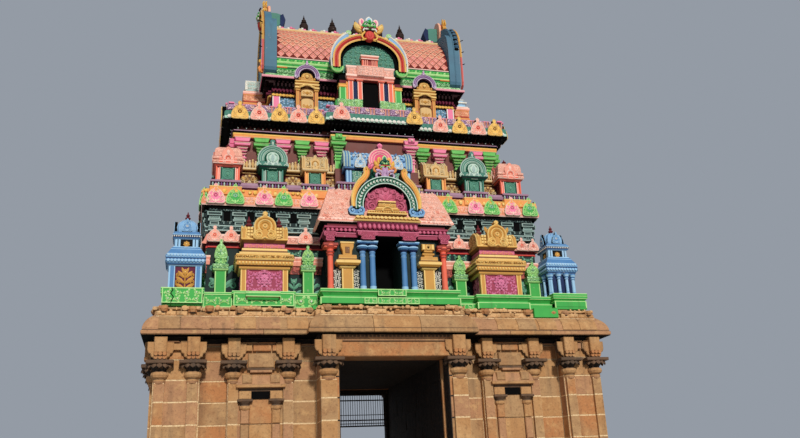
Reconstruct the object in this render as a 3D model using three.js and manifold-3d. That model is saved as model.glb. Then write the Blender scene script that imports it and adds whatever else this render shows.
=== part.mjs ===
// Gopuram: a temple gate tower with a stone base, two stucco storeys and a
// barrel roof. Millimetres, +Z up, the front faces -Y, the ground is z = 0 and
// the origin is the middle of the footprint.
import * as THREE from "three";
import Module from "manifold-3d";
import { mergeVertices } from "three/addons/utils/BufferGeometryUtils.js";

const wasm = await Module();
wasm.setup();

// Stone base.
const PASSAGE_HALF = 1420;
const LINTEL_HALF = 1570;
const LINTEL_Z = 4720;
const BASE_X = 5880;
const BASE_Y_CORNER = 3320;
const BASE_Y_MID = 3150;
const BASE_Y_RECESS = 3000;
const BASE_Y_CENTRE = 3650;
const BASE_BREAK_OUT = 4800;
const BASE_BREAK_IN = 1900;
const PLINTH_Z = 1150;
const CAPITAL_Z = 4180;
const ABACUS_Z = 4720;
const FLOOR_Z = 150;
const ARCHITRAVE_Z = 5110;
const KAPOTA_Z = 5280;
const FRIEZE_Z = 5820;
const LEDGE_Z = 6150;
// Storey 1.
const T1_Z = 6550;
const T1_X = 4720;
const T1_Y = 2400;
const T1_HOLE_X = 3600;
const T1_HOLE_Y = 1350;
const CORNICE1_Z = 9000;
const PORCH_FRONT = 3470;
const BLUE_FRONT = PORCH_FRONT + 40;
const DOOR_HALF = 360;
const DOOR_Z = 8020;
const PORCH_BEAM_Z = 7810;
const PORCH_BEAM_TOP = 8300;
const CANOPY_BACK = 2930;
// Storey 2.
const T2_Z = 9550;
const T2_X = 4000;
const T2_Y = 1700;
const T2_HOLE_X = 3400;
const T2_HOLE_Y = 1100;
const LEDGE2_Z = 9780;
const CORNICE2_Z = 11860;
const CENTRE_BAY_HALF = 1250;
const CENTRE_BAY_FRONT = 2000;
// Top storey and roof.
const T3_Z = 12450;
const T3_X = 2950;
const T3_Y = 1200;
const T3_WALL = 320;
const EAVE_Z = 13700;
const ROOF_Z = 13890;
const ROOF_X = 2820;
const RIDGE_Z = 16260;
const GABLE_OUT_X = 3270;
const GABLE_TOP_Z = 17280;
const TOP_DOOR_HALF = 280;
const TOP_DOOR_Z = 13430;
const TOP_SHRINE_FRONT = 2120;
// Longer than anything here, for blocks that cut right through.
const FAR = 9000;

const group = new THREE.Group();

// Closed solid from a three.js geometry.
function solid(geometry) {
  geometry.deleteAttribute("normal");
  geometry.deleteAttribute("uv");
  const merged = mergeVertices(geometry, 0.001);
  return new wasm.Manifold(
    new wasm.Mesh({
      numProp: 3,
      vertProperties: new Float32Array(merged.attributes.position.array),
      triVerts: new Uint32Array(merged.index.array),
    }),
  );
}

function box(x0, x1, y0, y1, z0, z1) {
  const geometry = new THREE.BoxGeometry(x1 - x0, y1 - y0, z1 - z0);
  geometry.translate((x0 + x1) / 2, (y0 + y1) / 2, (z0 + z1) / 2);
  return solid(geometry);
}

function union(pieces) {
  return pieces.reduce((sum, piece) => sum.add(piece));
}

function shapeOf(points) {
  return new THREE.Shape(points.map(([a, b]) => new THREE.Vector2(a, b)));
}

function extrude(points, depth) {
  return new THREE.ExtrudeGeometry(shapeOf(points), { depth, bevelEnabled: false });
}

// Prism of an outline drawn in the X-Z plane, running from y0 to y1.
function prismXZ(points, y0, y1) {
  const geometry = extrude(points, y1 - y0);
  geometry.rotateX(Math.PI / 2);
  geometry.translate(0, y1, 0);
  return solid(geometry);
}

// Prism of an outline drawn in the Y-Z plane, running from x0 to x1.
function prismYZ(points, x0, x1) {
  const geometry = extrude(points, x1 - x0);
  geometry.rotateX(Math.PI / 2);
  geometry.rotateZ(Math.PI / 2);
  geometry.translate(x0, 0, 0);
  return solid(geometry);
}

// Turned piece on the vertical axis through (x, y), profile as [radius, z].
function turned(profile, x, y, segments = 8) {
  const points = profile.map(([r, z]) => new THREE.Vector2(r, z));
  const geometry = new THREE.LatheGeometry(points, segments);
  geometry.rotateX(Math.PI / 2);
  geometry.translate(x, y, 0);
  return solid(geometry);
}

// Moves each corner of a right-angled outline (anticlockwise) outward by d.
function grown(outline, d) {
  const n = outline.length;
  return outline.map((p, i) => {
    const a = outline[(i + n - 1) % n];
    const b = outline[(i + 1) % n];
    const out = (u, v) => [Math.sign(v[1] - u[1]), -Math.sign(v[0] - u[0])];
    const [ax, ay] = out(a, p);
    const [bx, by] = out(p, b);
    return [p[0] + d * (ax + bx), p[1] + d * (ay + by)];
  });
}

// Moulding: a right-angled outline swept up through levels of [z, offset].
function moulding(outline, levels) {
  const n = outline.length;
  const positions = [];
  for (const [z, d] of levels) {
    for (const [x, y] of grown(outline, d)) {
      positions.push(x, y, z);
    }
  }
  const index = [];
  for (let k = 0; k + 1 < levels.length; k++) {
    for (let i = 0; i < n; i++) {
      const j = (i + 1) % n;
      const [a, b] = [k * n + i, k * n + j];
      index.push(a, b, b + n, a, b + n, a + n);
    }
  }
  const bottom = grown(outline, levels[0][1]).map(([x, y]) => new THREE.Vector2(x, y));
  const top = grown(outline, levels.at(-1)[1]).map(([x, y]) => new THREE.Vector2(x, y));
  const last = (levels.length - 1) * n;
  for (const [a, b, c] of THREE.ShapeUtils.triangulateShape(bottom, [])) {
    index.push(a, c, b);
  }
  for (const [a, b, c] of THREE.ShapeUtils.triangulateShape(top, [])) {
    index.push(last + a, last + b, last + c);
  }
  const geometry = new THREE.BufferGeometry();
  geometry.setAttribute("position", new THREE.Float32BufferAttribute(positions, 3));
  geometry.setIndex(index);
  return solid(geometry);
}

function rect(x0, x1, y0, y1) {
  return [[x0, y0], [x1, y0], [x1, y1], [x0, y1]];
}

// Plan outline from its front right quarter, given as [x, depth] steps that
// run from the middle to the corner and then along the side to the middle.
function plan(steps) {
  const front = steps.map(([x, d]) => [x, -d]);
  const right = front.concat(steps.map(([x, d]) => [x, d]).reverse());
  const left = right.map(([x, y]) => [-x, y]).reverse();
  return right.concat(left);
}

const mirrorX = (piece) => piece.mirror([1, 0, 0]);
const mirrorY = (piece) => piece.mirror([0, 1, 0]);

function add(name, piece, color) {
  const mesh = piece.getMesh();
  const geometry = new THREE.BufferGeometry();
  geometry.setAttribute("position", new THREE.BufferAttribute(mesh.vertProperties, 3));
  geometry.setIndex(new THREE.BufferAttribute(mesh.triVerts, 1));
  geometry.computeVertexNormals();
  const material = new THREE.MeshStandardMaterial({ color, flatShading: true });
  const node = new THREE.Mesh(geometry, material);
  node.name = name;
  group.add(node);
}

// Arch-shaped plate outline: legs of the given foot height, round head.
function horseshoe(cx, footZ, centreZ, radius, tipZ, steps = 8, spread = 1) {
  const points = [[cx + radius * 0.92, footZ]];
  for (let i = 0; i <= steps; i++) {
    const a = (Math.PI * i) / steps;
    const lift = i === steps / 2 ? tipZ - centreZ - radius : 0;
    points.push([cx + spread * radius * Math.cos(a), centreZ + radius * Math.sin(a) + lift]);
  }
  points.push([cx - radius * 0.92, footZ]);
  return points;
}

// Guardian mask standing on an arch, as a plate outline.
function mask(cx, z0, halfWidth, z1) {
  const h = z1 - z0;
  const right = [
    [0.45, 0], [0.85, 0.12], [1, 0.38], [0.86, 0.6], [0.55, 0.72], [0.28, 0.9],
  ];
  const half = right.map(([a, b]) => [cx + a * halfWidth, z0 + b * h]);
  const other = half.map(([x, z]) => [2 * cx - x, z]).reverse();
  return half.concat([[cx, z1]], other);
}

function finial(x, y, z0, z1, r) {
  const h = z1 - z0;
  return turned(
    [
      [0, z0], [r * 0.7, z0], [r, z0 + h * 0.25], [r * 0.45, z0 + h * 0.48],
      [r * 0.7, z0 + h * 0.6], [r * 0.3, z0 + h * 0.8], [0, z1],
    ],
    x, y, 8,
  );
}

// Outline of the stone base, seen from above.
const BASE = plan([
  [BASE_BREAK_IN, BASE_Y_CENTRE],
  [BASE_BREAK_IN, BASE_Y_MID],
  [BASE_BREAK_OUT, BASE_Y_MID],
  [BASE_BREAK_OUT, BASE_Y_CORNER],
  [BASE_X, BASE_Y_CORNER],
]);

// The roll cornice and the frieze run straight over the recesses of the wall.
const ROLL = plan([
  [BASE_BREAK_IN, BASE_Y_CENTRE],
  [BASE_BREAK_IN, BASE_Y_CORNER],
  [BASE_X, BASE_Y_CORNER],
]);

const RIGHT_HALF = box(PASSAGE_HALF, FAR, -FAR, FAR, -100, 2 * FAR);

function basePlinth() {
  const body = moulding(BASE, [
    [0, 300], [230, 300], [260, 230], [470, 230], [520, 150], [560, 230],
    [700, 270], [830, 200], [860, 90], [980, 90], [1010, 160], [PLINTH_Z, 160],
  ]);
  return body.intersect(RIGHT_HALF);
}

// Engaged stone pilaster on a wall that faces -Y at depth y.
function pilaster(x, y, width) {
  const h = width / 2;
  const pieces = [
    box(x - h, x + h, y - 80, y + 60, PLINTH_Z, CAPITAL_Z),
    moulding(rect(x - h, x + h, y - 80, y + 60), [
      [CAPITAL_Z, 0], [4330, 60], [4440, 40], [4620, 190], [ABACUS_Z, 190],
    ]),
    prismYZ(
      [
        [y + 60, ABACUS_Z], [y - 120, ABACUS_Z], [y - 250, 4950],
        [y - 250, ARCHITRAVE_Z], [y + 60, ARCHITRAVE_Z],
      ],
      x - h - 40,
      x + h + 40,
    ),
  ];
  return union(pieces);
}

function niche(x, y) {
  return union([
    box(x - 530, x - 230, y - 90, y + 40, 2050, 3960),
    box(x + 230, x + 530, y - 90, y + 40, 2050, 3960),
    box(x - 560, x + 560, y - 130, y + 40, 1850, 2050),
    moulding(rect(x - 500, x + 500, y - 90, y + 40), [
      [3960, 0], [4010, 100], [4130, 100], [4440, 0],
    ]),
    box(x - 340, x + 340, y - 60, y + 40, 4440, 4900),
  ]);
}

// Pilasters of the right half of the front, as [x, depth of the wall, width].
const FRONT_PILASTERS = [
  [5730, BASE_Y_CORNER, 220],
  [4960, BASE_Y_CORNER, 220],
  [3990, BASE_Y_MID, 270],
  [2650, BASE_Y_MID, 270],
  [1700, BASE_Y_CENTRE, 400],
];
const SIDE_PILASTERS = [-2650, -1850, -800, 800, 1850, 2650];
const SIDE_PILASTER_WIDTH = 240;
const NICHE_X = 3320;
// The wall steps back between the bays, up to the underside of the cornice, as [x, x].
const RECESSES = [[BASE_BREAK_IN, 2515], [4125, BASE_BREAK_OUT]];

function baseWall() {
  const recesses = union(
    RECESSES.map(([a, b]) => box(a, b, -FAR, -BASE_Y_RECESS, PLINTH_Z, KAPOTA_Z + 10)),
  );
  const core = moulding(BASE, [
    [PLINTH_Z, 0], [ARCHITRAVE_Z, 0], [ARCHITRAVE_Z, 60], [KAPOTA_Z, 60],
  ])
    .intersect(RIGHT_HALF)
    .subtract(recesses)
    .subtract(mirrorY(recesses));
  const front = union([
    ...FRONT_PILASTERS.map(([x, depth, width]) => pilaster(x, -depth, width)),
    niche(NICHE_X, -BASE_Y_MID),
  ]);
  const side = union(SIDE_PILASTERS.map((x) => pilaster(x, -BASE_X, SIDE_PILASTER_WIDTH)))
    .rotate([0, 0, 90]);
  // The niche slot is cut 160 mm into the wall above its slab.
  const slot = (y) => box(NICHE_X - 200, NICHE_X + 200, y - 160, y + 160, 3760, 3960);
  const jamb = box(PASSAGE_HALF - 60, PASSAGE_HALF + 60, -3050, -2960, FLOOR_Z, LINTEL_Z);
  return core
    .add(front)
    .add(mirrorY(front))
    .add(side)
    .subtract(slot(-BASE_Y_MID))
    .subtract(slot(BASE_Y_MID))
    .subtract(box(-LINTEL_HALF, LINTEL_HALF, -FAR, FAR, LINTEL_Z, KAPOTA_Z + 10))
    .subtract(box(-PASSAGE_HALF, PASSAGE_HALF, -FAR, FAR, 0, LINTEL_Z + 5))
    .add(jamb.subtract(box(0, FAR, -FAR, FAR, 0, PLINTH_Z)));
}

const plinthRight = basePlinth();
const wallRight = baseWall();
add("plinth_right", plinthRight, 0xb0805a);
add("plinth_left", mirrorX(plinthRight), 0xb0805a);
add("base_wall_right", wallRight, 0xb0825a);
add("base_wall_left", mirrorX(wallRight), 0xb0825a);

add(
  "passage_floor",
  box(-PASSAGE_HALF, PASSAGE_HALF, -3950, 3950, 0, FLOOR_Z),
  0xa87c58,
);

const CEILING_HALF = 3000;
const lintel = union([
  box(-LINTEL_HALF, LINTEL_HALF, -3710, -CEILING_HALF, LINTEL_Z, 5180),
  box(-LINTEL_HALF, LINTEL_HALF, -3740, -CEILING_HALF, 5180, KAPOTA_Z),
]);
add("lintel_front", lintel, 0xb88a60);
add("lintel_back", mirrorY(lintel), 0xb88a60);
add(
  "passage_ceiling",
  box(-LINTEL_HALF, LINTEL_HALF, -CEILING_HALF, CEILING_HALF, LINTEL_Z, KAPOTA_Z),
  0x9a7452,
);

// Inner portal at the back of the passage, which holds the iron transom.
const PORTAL_HALF = 1330;
const PORTAL_Z = 4600;
add(
  "rear_portal",
  box(-PASSAGE_HALF, PASSAGE_HALF, 3250, 3500, FLOOR_Z, LINTEL_Z).subtract(
    box(-PORTAL_HALF, PORTAL_HALF, 3000, 4000, 0, PORTAL_Z),
  ),
  0xa07855,
);

const TRANSOM_Z = 3520;
const TRANSOM_Y = 3350;
const TRANSOM_RAILS = [[TRANSOM_Z, 50], [3720, 40], [4370, 40], [PORTAL_Z - 60, 60]];
const STILE = 40;
const BARS = 16;
const BAR_HALF = 9;

function transom() {
  const pieces = [];
  for (const [z, h] of TRANSOM_RAILS) {
    pieces.push(box(-PORTAL_HALF, PORTAL_HALF, TRANSOM_Y, TRANSOM_Y + 30, z, z + h));
  }
  for (const x of [-PORTAL_HALF, PORTAL_HALF - STILE]) {
    pieces.push(box(x, x + STILE, TRANSOM_Y, TRANSOM_Y + 30, TRANSOM_Z, PORTAL_Z));
  }
  for (let i = 1; i < BARS; i++) {
    const x = -PORTAL_HALF + (2 * PORTAL_HALF * i) / BARS;
    pieces.push(
      box(x - BAR_HALF, x + BAR_HALF, TRANSOM_Y + 6, TRANSOM_Y + 24, TRANSOM_Z + 10, PORTAL_Z - 20),
    );
  }
  return union(pieces);
}
add("transom_grille", transom(), 0x3a3230);

add(
  "stone_cornice",
  moulding(ROLL, [
    [KAPOTA_Z, 80], [5310, 300], [5310, 330], [5390, 330], [5540, 280], [5680, 190],
    [5780, 80], [FRIEZE_Z, 60],
  ]),
  0xa87850,
);
add(
  "stone_frieze",
  moulding(ROLL, [
    [FRIEZE_Z, -60], [5860, -20], [5910, -60], [6000, -60], [6070, -30], [LEDGE_Z, -30],
  ]),
  0xa88060,
);

// Painted plinth with its flat table over each bay.
const LEDGE = plan([
  [1850, 3700],
  [1850, 3100],
  [2500, 3100],
  [2500, 3290],
  [4050, 3290],
  [4050, 3100],
  [4800, 3100],
  [4800, 3260],
  [5780, 3260],
  [5780, 2150],
  [5640, 2150],
  [5640, 850],
  [5780, 850],
]);
add(
  "painted_plinth",
  moulding(LEDGE, [
    [LEDGE_Z, 0], [6200, 0], [6230, -40], [6460, -40], [6490, 0], [T1_Z, 0],
  ]),
  0x46be5f,
);

// Small cornice beside the gold shrines, as [z, offset].
const SMALL_CORNICE = [
  [7980, 0], [8000, 130], [8040, 140], [8160, 60], [8260, 0],
];

// Green pilaster with a pinnacle, on a wall that faces -Y at depth y.
function leafPilaster(x, y, half, capZ, tipZ) {
  return union([
    box(x - half, x + half, y - 230, y + 50, T1_Z, capZ),
    moulding(rect(x - half, x + half, y - 230, y + 50), [
      [capZ, 0], [capZ + 30, 60], [capZ + 110, 70], [capZ + 130, 10], [capZ + 200, 10],
    ]),
    prismXZ(mask(x, capZ + 180, half * 1.15, tipZ), y - 200, y + 50),
  ]);
}

// Stretches of the front wall that carry the small cornice, as [x, x].
const SMALL_CORNICE_RUNS = [[4220, T1_X], [1820, 2440]];
const BRACKET_BAND = { x: 1960, proud: 70, z0: 8480, z1: 8860 };

function storeyOneWall() {
  const outline = plan([[T1_X, T1_Y]]);
  let body = moulding(outline, [[T1_Z, 0], [CORNICE1_Z, 0]]);
  const band = BRACKET_BAND;
  const front = union([
    ...SMALL_CORNICE_RUNS.map(([a, b]) => {
      return moulding(rect(a, b, -T1_Y - 5, -T1_Y + 100), SMALL_CORNICE);
    }),
    leafPilaster(4360, -T1_Y, 165, 7110, 7930),
    leafPilaster(2120, -T1_Y, 150, 7090, 7800),
    box(band.x, T1_X, -T1_Y - band.proud, -T1_Y + 50, band.z0, band.z1),
  ]);
  const strip = box(1660, T1_X + 140, -FAR, FAR, T1_Z, CORNICE1_Z);
  const quarter = front.intersect(strip);
  body = body
    .add(quarter)
    .add(mirrorX(quarter))
    .add(mirrorY(quarter))
    .add(mirrorX(mirrorY(quarter)));
  return body
    .subtract(box(-T1_HOLE_X, T1_HOLE_X, -T1_HOLE_Y, T1_HOLE_Y, 0, FAR + 500))
    .subtract(box(-DOOR_HALF, DOOR_HALF, -FAR, FAR, 0, DOOR_Z));
}
add("storey1_wall", storeyOneWall(), 0x46826e);

// Square domed shrine centred on (x, y).
function domedShrine(x, y, d) {
  const half = (r) => rect(x - r, x + r, y - r, y + r);
  return union([
    moulding(half(d.body), [
      [d.z0, 0], [d.bodyZ, 0], [d.bodyZ + 30, d.over * 0.8], [d.bodyZ + d.cornice * 0.4, d.over],
      [d.bodyZ + d.cornice * 0.6, d.over], [d.bodyZ + d.cornice, -d.body * 0.18],
    ]),
    box(x - d.neck, x + d.neck, y - d.neck, y + d.neck, d.bodyZ + d.cornice - 20, d.neckZ + 10),
    moulding(half(d.neck), [[d.neckZ, 0], [d.neckZ + 30, 75], [d.neckZ + 120, 75], [d.domeZ, 20]]),
    turned(
      [
        [0, d.domeZ - 10], [d.neck * 0.92, d.domeZ - 10], [d.neck * 1.04, d.domeZ + d.dome * 0.3],
        [d.neck * 0.85, d.domeZ + d.dome * 0.7], [d.neck * 0.3, d.domeZ + d.dome], [0, d.domeZ + d.dome],
      ],
      x, y, d.sides,
    ),
    finial(x, y, d.domeZ + d.dome - 15, d.tipZ, d.neck * 0.26),
  ]);
}

// Oblong shrine with a barrel roof, on a wall that faces -Y at depth y.
function barrelShrine(x, y, d) {
  const front = y - d.depth;
  const plate = (r, grow) => rect(x - r - grow, x + r + grow, front - grow, y);
  const rise = d.roofZ - d.barrelZ;
  const mid = (front + y) / 2 + 20;
  const r = (y - front) / 2 - 60;
  const arch = [];
  for (let i = 0; i <= 6; i++) {
    const a = (Math.PI * i) / 6;
    arch.push([mid + r * Math.cos(a), d.barrelZ + rise * (0.25 + 0.75 * Math.sin(a))]);
  }
  arch.push([mid - r * 0.94, d.barrelZ - 10], [mid + r * 0.94, d.barrelZ - 10]);
  const pieces = [
    moulding(plate(d.half, 0), [
      [d.z0, 0], [d.bodyZ, 0], [d.bodyZ + 30, d.over * 0.8], [d.bodyZ + d.cornice * 0.4, d.over],
      [d.bodyZ + d.cornice * 0.6, d.over], [d.bodyZ + d.cornice, -60],
    ]),
    box(x - d.half + 40, x + d.half - 40, front + 80, y, d.bodyZ + d.cornice - 20, d.barrelZ + 10),
    prismYZ(arch, x - d.half + 10, x + d.half - 10),
    prismXZ(
      horseshoe(x, d.barrelZ - 40, d.barrelZ + d.nasi * 0.75, d.nasi, d.tipZ, 6),
      front - 40,
      mid,
    ),
  ];
  for (const side of d.finialX ? [-1, 1] : []) {
    pieces.push(finial(x + side * d.finialX, mid, d.roofZ - 30, d.finialZ, 70));
  }
  return union(pieces).intersect(box(x - FAR, x + FAR, -FAR, y, 0, 2 * FAR));
}

const CORNER1 = {
  z0: T1_Z, body: 410, bodyZ: 7130, over: 72, cornice: 510, neck: 300,
  neckZ: 7840, domeZ: 8080, dome: 340, tipZ: 8750, sides: 12,
};
const corner1 = domedShrine(5215, -2690, CORNER1);
add("corner_shrine_front_right", corner1, 0x4b8cc8);
add("corner_shrine_front_left", mirrorX(corner1), 0x4b8cc8);
add("corner_shrine_back_right", mirrorY(corner1), 0x4b8cc8);
add("corner_shrine_back_left", mirrorX(mirrorY(corner1)), 0x4b8cc8);

const SALA1 = {
  z0: T1_Z, half: 615, depth: 850, bodyZ: 7040, over: 165, cornice: 550,
  barrelZ: 7900, roofZ: 8320, nasi: 285, tipZ: 8640, finialX: 380, finialZ: 8560,
};
const sala1 = barrelShrine(3265, -T1_Y, SALA1);
add("gold_shrine_front_right", sala1, 0xd7a546);
add("gold_shrine_front_left", mirrorX(sala1), 0xd7a546);
add("gold_shrine_back_right", mirrorY(sala1), 0xd7a546);
add("gold_shrine_back_left", mirrorX(mirrorY(sala1)), 0xd7a546);
const sideSala1 = barrelShrine(0, -T1_X, SALA1).rotate([0, 0, 90]);
add("gold_shrine_side_right", sideSala1, 0xd7a546);
add("gold_shrine_side_left", mirrorX(sideSala1), 0xd7a546);

// Porch with its columns, pilasters and beam.
function porch() {
  const back = -T1_Y;
  const face = -PORCH_FRONT + 120;
  const inWall = face + 50;
  const column = ([x0, x1], front, top) => box(x0, x1, -front, inWall, T1_Z, top);
  const coral = [1490, 1680];
  const gold = [980, 1290];
  const goldCapital = 7070;
  const blue = [[630, 780], [370, 530]];
  const blueCapital = 7520;
  const half = [
    box(0, 1560, face, back, T1_Z, PORCH_BEAM_Z),
    column(coral, PORCH_FRONT, PORCH_BEAM_Z),
    column(gold, PORCH_FRONT, goldCapital),
    moulding(rect(gold[0], gold[1], -PORCH_FRONT, inWall), [
      [goldCapital, 0], [7100, 150], [7200, 170], [7330, 100], [7460, 0],
    ]),
    prismXZ(
      [[1050, 7440], [1220, 7440], [1310, PORCH_BEAM_Z], [960, PORCH_BEAM_Z]],
      -PORCH_FRONT,
      inWall,
    ),
    ...blue.map((run) => column(run, BLUE_FRONT, PORCH_BEAM_Z)),
    box(340, 810, -BLUE_FRONT - 20, inWall, T1_Z, T1_Z + 110),
    box(340, 820, -BLUE_FRONT - 40, inWall, blueCapital, PORCH_BEAM_Z),
    moulding(rect(-10, 1620, -PORCH_FRONT, back), [
      [PORCH_BEAM_Z, 0], [8020, 0], [8060, 40], [8200, 40], [8240, 80], [PORCH_BEAM_TOP, 80],
    ]),
    moulding(rect(-10, 830, -PORCH_FRONT - 100, -PORCH_FRONT + 50), [
      [PORCH_BEAM_Z, 0], [8060, 0], [8200, 30], [PORCH_BEAM_TOP, 30],
    ]),
  ];
  const one = union(half).intersect(box(0, FAR, -FAR, back, 0, 2 * FAR));
  return one.add(mirrorX(one)).subtract(box(-DOOR_HALF, DOOR_HALF, -FAR, back + 10, 0, DOOR_Z));
}
add("porch_front", porch(), 0xe66e55);
add("porch_back", mirrorY(porch()), 0xe66e55);

// Carved canopy above the porch with its horseshoe gable and crest.
function porchRoof() {
  const back = -CANOPY_BACK;
  const stack = (rows, yBack) => {
    const pieces = [];
    for (let i = 0; i + 1 < rows.length; i++) {
      pieces.push(frustum(rows[i], rows[i + 1], yBack));
    }
    return union(pieces);
  };
  const lower = stack(
    [
      [PORCH_BEAM_TOP, 1640, -3500], [8400, 1900, -3520], [8560, 1880, -3500], [8800, 1770, -3420],
      [CORNICE1_Z, 1680, -3340],
    ],
    -T1_Y,
  );
  const upper = stack(
    [
      [8600, 1860, -3490], [8800, 1770, -3420], [CORNICE1_Z, 1680, -3340], [9250, 1590, -3220],
      [9440, 1530, -3120],
    ],
    back,
  );
  const outer = horseshoe(0, 8480, 8760, 1070, 9860, 16, 1);
  const inner = horseshoe(0, 8200, 8760, 640, 9400, 16, 1);
  const arch = prismXZ(outer, -3560, back).subtract(prismXZ(inner, -3700, -3440));
  const feet = box(820, 1130, -3560, -3300, 8470, 8700);
  return union([
    lower,
    upper,
    arch,
    feet,
    mirrorX(feet),
    box(-930, 930, -3620, -3400, PORCH_BEAM_TOP, 8560),
    box(-700, 700, -3600, -3400, 8560, 8940),
    prismXZ(mask(0, 9620, 380, 10430), -3560, -3140),
    prismXZ(horseshoe(0, 9700, 10300, 370, 10820, 10), -3180, back),
  ]);
}

// Block between two levels [z, half width, front y] that share a back plane.
function frustum(a, b, back) {
  const positions = [];
  for (const [z, half, front] of [a, b]) {
    positions.push(-half, front, z, half, front, z, half, back, z, -half, back, z);
  }
  const geometry = new THREE.BufferGeometry();
  geometry.setAttribute("position", new THREE.Float32BufferAttribute(positions, 3));
  const index = [0, 2, 1, 0, 3, 2, 4, 5, 6, 4, 6, 7];
  for (let i = 0; i < 4; i++) {
    const j = (i + 1) % 4;
    index.push(i, j, j + 4, i, j + 4, i + 4);
  }
  geometry.setIndex(index);
  return solid(geometry);
}
add("porch_roof_front", porchRoof(), 0xeb9682);
add("porch_roof_back", mirrorY(porchRoof()), 0xeb9682);

const CORNICE1 = plan([[1350, 2700], [1350, T1_Y], [T1_X, T1_Y]]);
add(
  "cornice1",
  moulding(CORNICE1, [
    [CORNICE1_Z, 0], [9020, 180], [9080, 210], [9300, 190], [9480, 110], [T2_Z, 30],
  ]).subtract(box(-T2_HOLE_X, T2_HOLE_X, -T2_HOLE_Y, T2_HOLE_Y, 0, 2 * FAR)),
  0xeb9682,
);

// Capitals and beam of storey 2, as [z, offset].
const BEAM2 = [
  [11150, 0], [11170, 90], [11320, 90], [11320, 60], [11530, 60], [11550, 0],
];
// The centre bay starts above the long shrine that hides its foot.
const CENTRE_BAY_Z = 10960;
// Blocks with a row of fingers, in the gaps between small shrines, as [x, x].
const FINGER_BLOCKS = [[3430, 3845], [2205, 2550], [1260, 1425]];

// Wall with a beam, a centre bay and blocks between the small shrines.
function storeyTwoWall() {
  const outline = plan([[T2_X, T2_Y]]);
  const body = moulding(outline, [[T2_Z, 0], ...BEAM2, [CORNICE2_Z, 0]]);
  const bay = moulding(
    rect(-CENTRE_BAY_HALF, CENTRE_BAY_HALF, -CENTRE_BAY_FRONT, -T2_Y + 20),
    [[CENTRE_BAY_Z, 0], ...BEAM2, [CORNICE2_Z, 0]],
  );
  const blocks = FINGER_BLOCKS.map(([a, b]) => box(a, b, -T2_Y - 400, -T2_Y + 20, 10180, 10600));
  const right = union(blocks);
  const half = box(-FAR, FAR, -FAR, -T2_Y + 20, 0, 2 * FAR);
  const front = union([bay, right, mirrorX(right)]).intersect(half);
  return body
    .add(front)
    .add(mirrorY(front))
    .subtract(box(-T2_HOLE_X, T2_HOLE_X, -T2_HOLE_Y, T2_HOLE_Y, 0, 2 * FAR));
}
add("storey2_wall", storeyTwoWall(), 0x783c32);

const CORNER2 = {
  z0: LEDGE2_Z, body: 345, bodyZ: 10130, over: 65, cornice: 210, neck: 240,
  neckZ: 10380, domeZ: 10500, dome: 200, tipZ: 10850, sides: 8,
};
const SALA2 = {
  z0: LEDGE2_Z, half: 320, depth: 760, bodyZ: 10140, over: 60, cornice: 230,
  barrelZ: 10450, roofZ: 10700, nasi: 170, tipZ: 10860, finialX: 0,
};
const CENTRE2 = {
  z0: LEDGE2_Z, half: 950, depth: 1060, bodyZ: 10160, over: 70, cornice: 240,
  barrelZ: 10480, roofZ: 10790, nasi: 240, tipZ: 10860, finialX: 620, finialZ: 10950,
};
const SIDE2 = { ...SALA2, half: 480, depth: 620 };

// Upright shrine with a horseshoe front, on a wall that faces -Y at depth y.
function archShrine(x, y, half, front, z0, tipZ) {
  return union([
    box(x - half * 0.8, x + half * 0.8, y - front + 60, y, z0, z0 + 480),
    moulding(rect(x - half * 0.8, x + half * 0.8, y - front + 60, y + 200), [
      [z0 + 420, 0], [z0 + 450, 60], [z0 + 540, 60], [z0 + 620, 0],
    ]),
    prismXZ(horseshoe(x, z0 + 560, z0 + 800, half, tipZ, 8), y - front, y),
  ]).intersect(box(-FAR, FAR, -FAR, y, 0, 2 * FAR));
}

// Ledge with the row of small shrines, on the front of storey 2.
function frontString() {
  const ledge = moulding(
    [
      [-4700, -2500], [-1250, -2500], [-1250, -2790], [1250, -2790], [1250, -2500], [4700, -2500],
      [4700, -T2_Y], [-4700, -T2_Y],
    ],
    [[T2_Z, -20], [9600, -20], [9620, -50], [9720, -50], [9740, -20], [LEDGE2_Z, -20]],
  ).intersect(box(-FAR, FAR, -FAR, -T2_Y, 0, 2 * FAR));
  const right = union([
    domedShrine(4265, -T2_Y - 412, CORNER2),
    archShrine(2990, -T2_Y, 430, 800, LEDGE2_Z, 11130),
    barrelShrine(1815, -T2_Y, SALA2),
  ]);
  return union([ledge, right, mirrorX(right), barrelShrine(0, -T2_Y, CENTRE2)]);
}
add("parapet_front", frontString(), 0x6e4b7d);
add("parapet_back", mirrorY(frontString()), 0x6e4b7d);

// The same row on the right side, made on the front and turned.
function sideString() {
  const ledge = moulding(
    rect(-T2_Y, T2_Y, -4680, -T2_X),
    [[T2_Z, 0], [9600, 0], [9620, -30], [9720, -30], [9740, 0], [LEDGE2_Z, 0]],
  );
  return union([
    ledge.intersect(box(-T2_Y, T2_Y, -FAR, -T2_X, 0, 2 * FAR)),
    barrelShrine(0, -T2_X, SIDE2),
    archShrine(-1080, -T2_X, 330, 560, LEDGE2_Z, 10900),
    archShrine(1080, -T2_X, 330, 560, LEDGE2_Z, 10900),
  ])
    .intersect(box(-T2_Y, T2_Y, -FAR, -T2_X, 0, 2 * FAR))
    .rotate([0, 0, 90]);
}
add("parapet_right", sideString(), 0x6e4b7d);
add("parapet_left", mirrorX(sideString()), 0x6e4b7d);

const CORNICE2 = plan([[1090, 2040], [1090, T2_Y], [T2_X, T2_Y]]);
add(
  "cornice2",
  moulding(CORNICE2, [
    [CORNICE2_Z, 0], [11880, 340], [11930, 375], [12180, 350], [12370, 240], [12400, 200],
    [T3_Z, 200],
  ]),
  0xb996b9,
);

const T3_ROOM = box(
  -T3_X + T3_WALL, T3_X - T3_WALL, -T3_Y + T3_WALL, T3_Y - T3_WALL, T3_Z - 450, ROOF_Z + 110,
);

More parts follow.
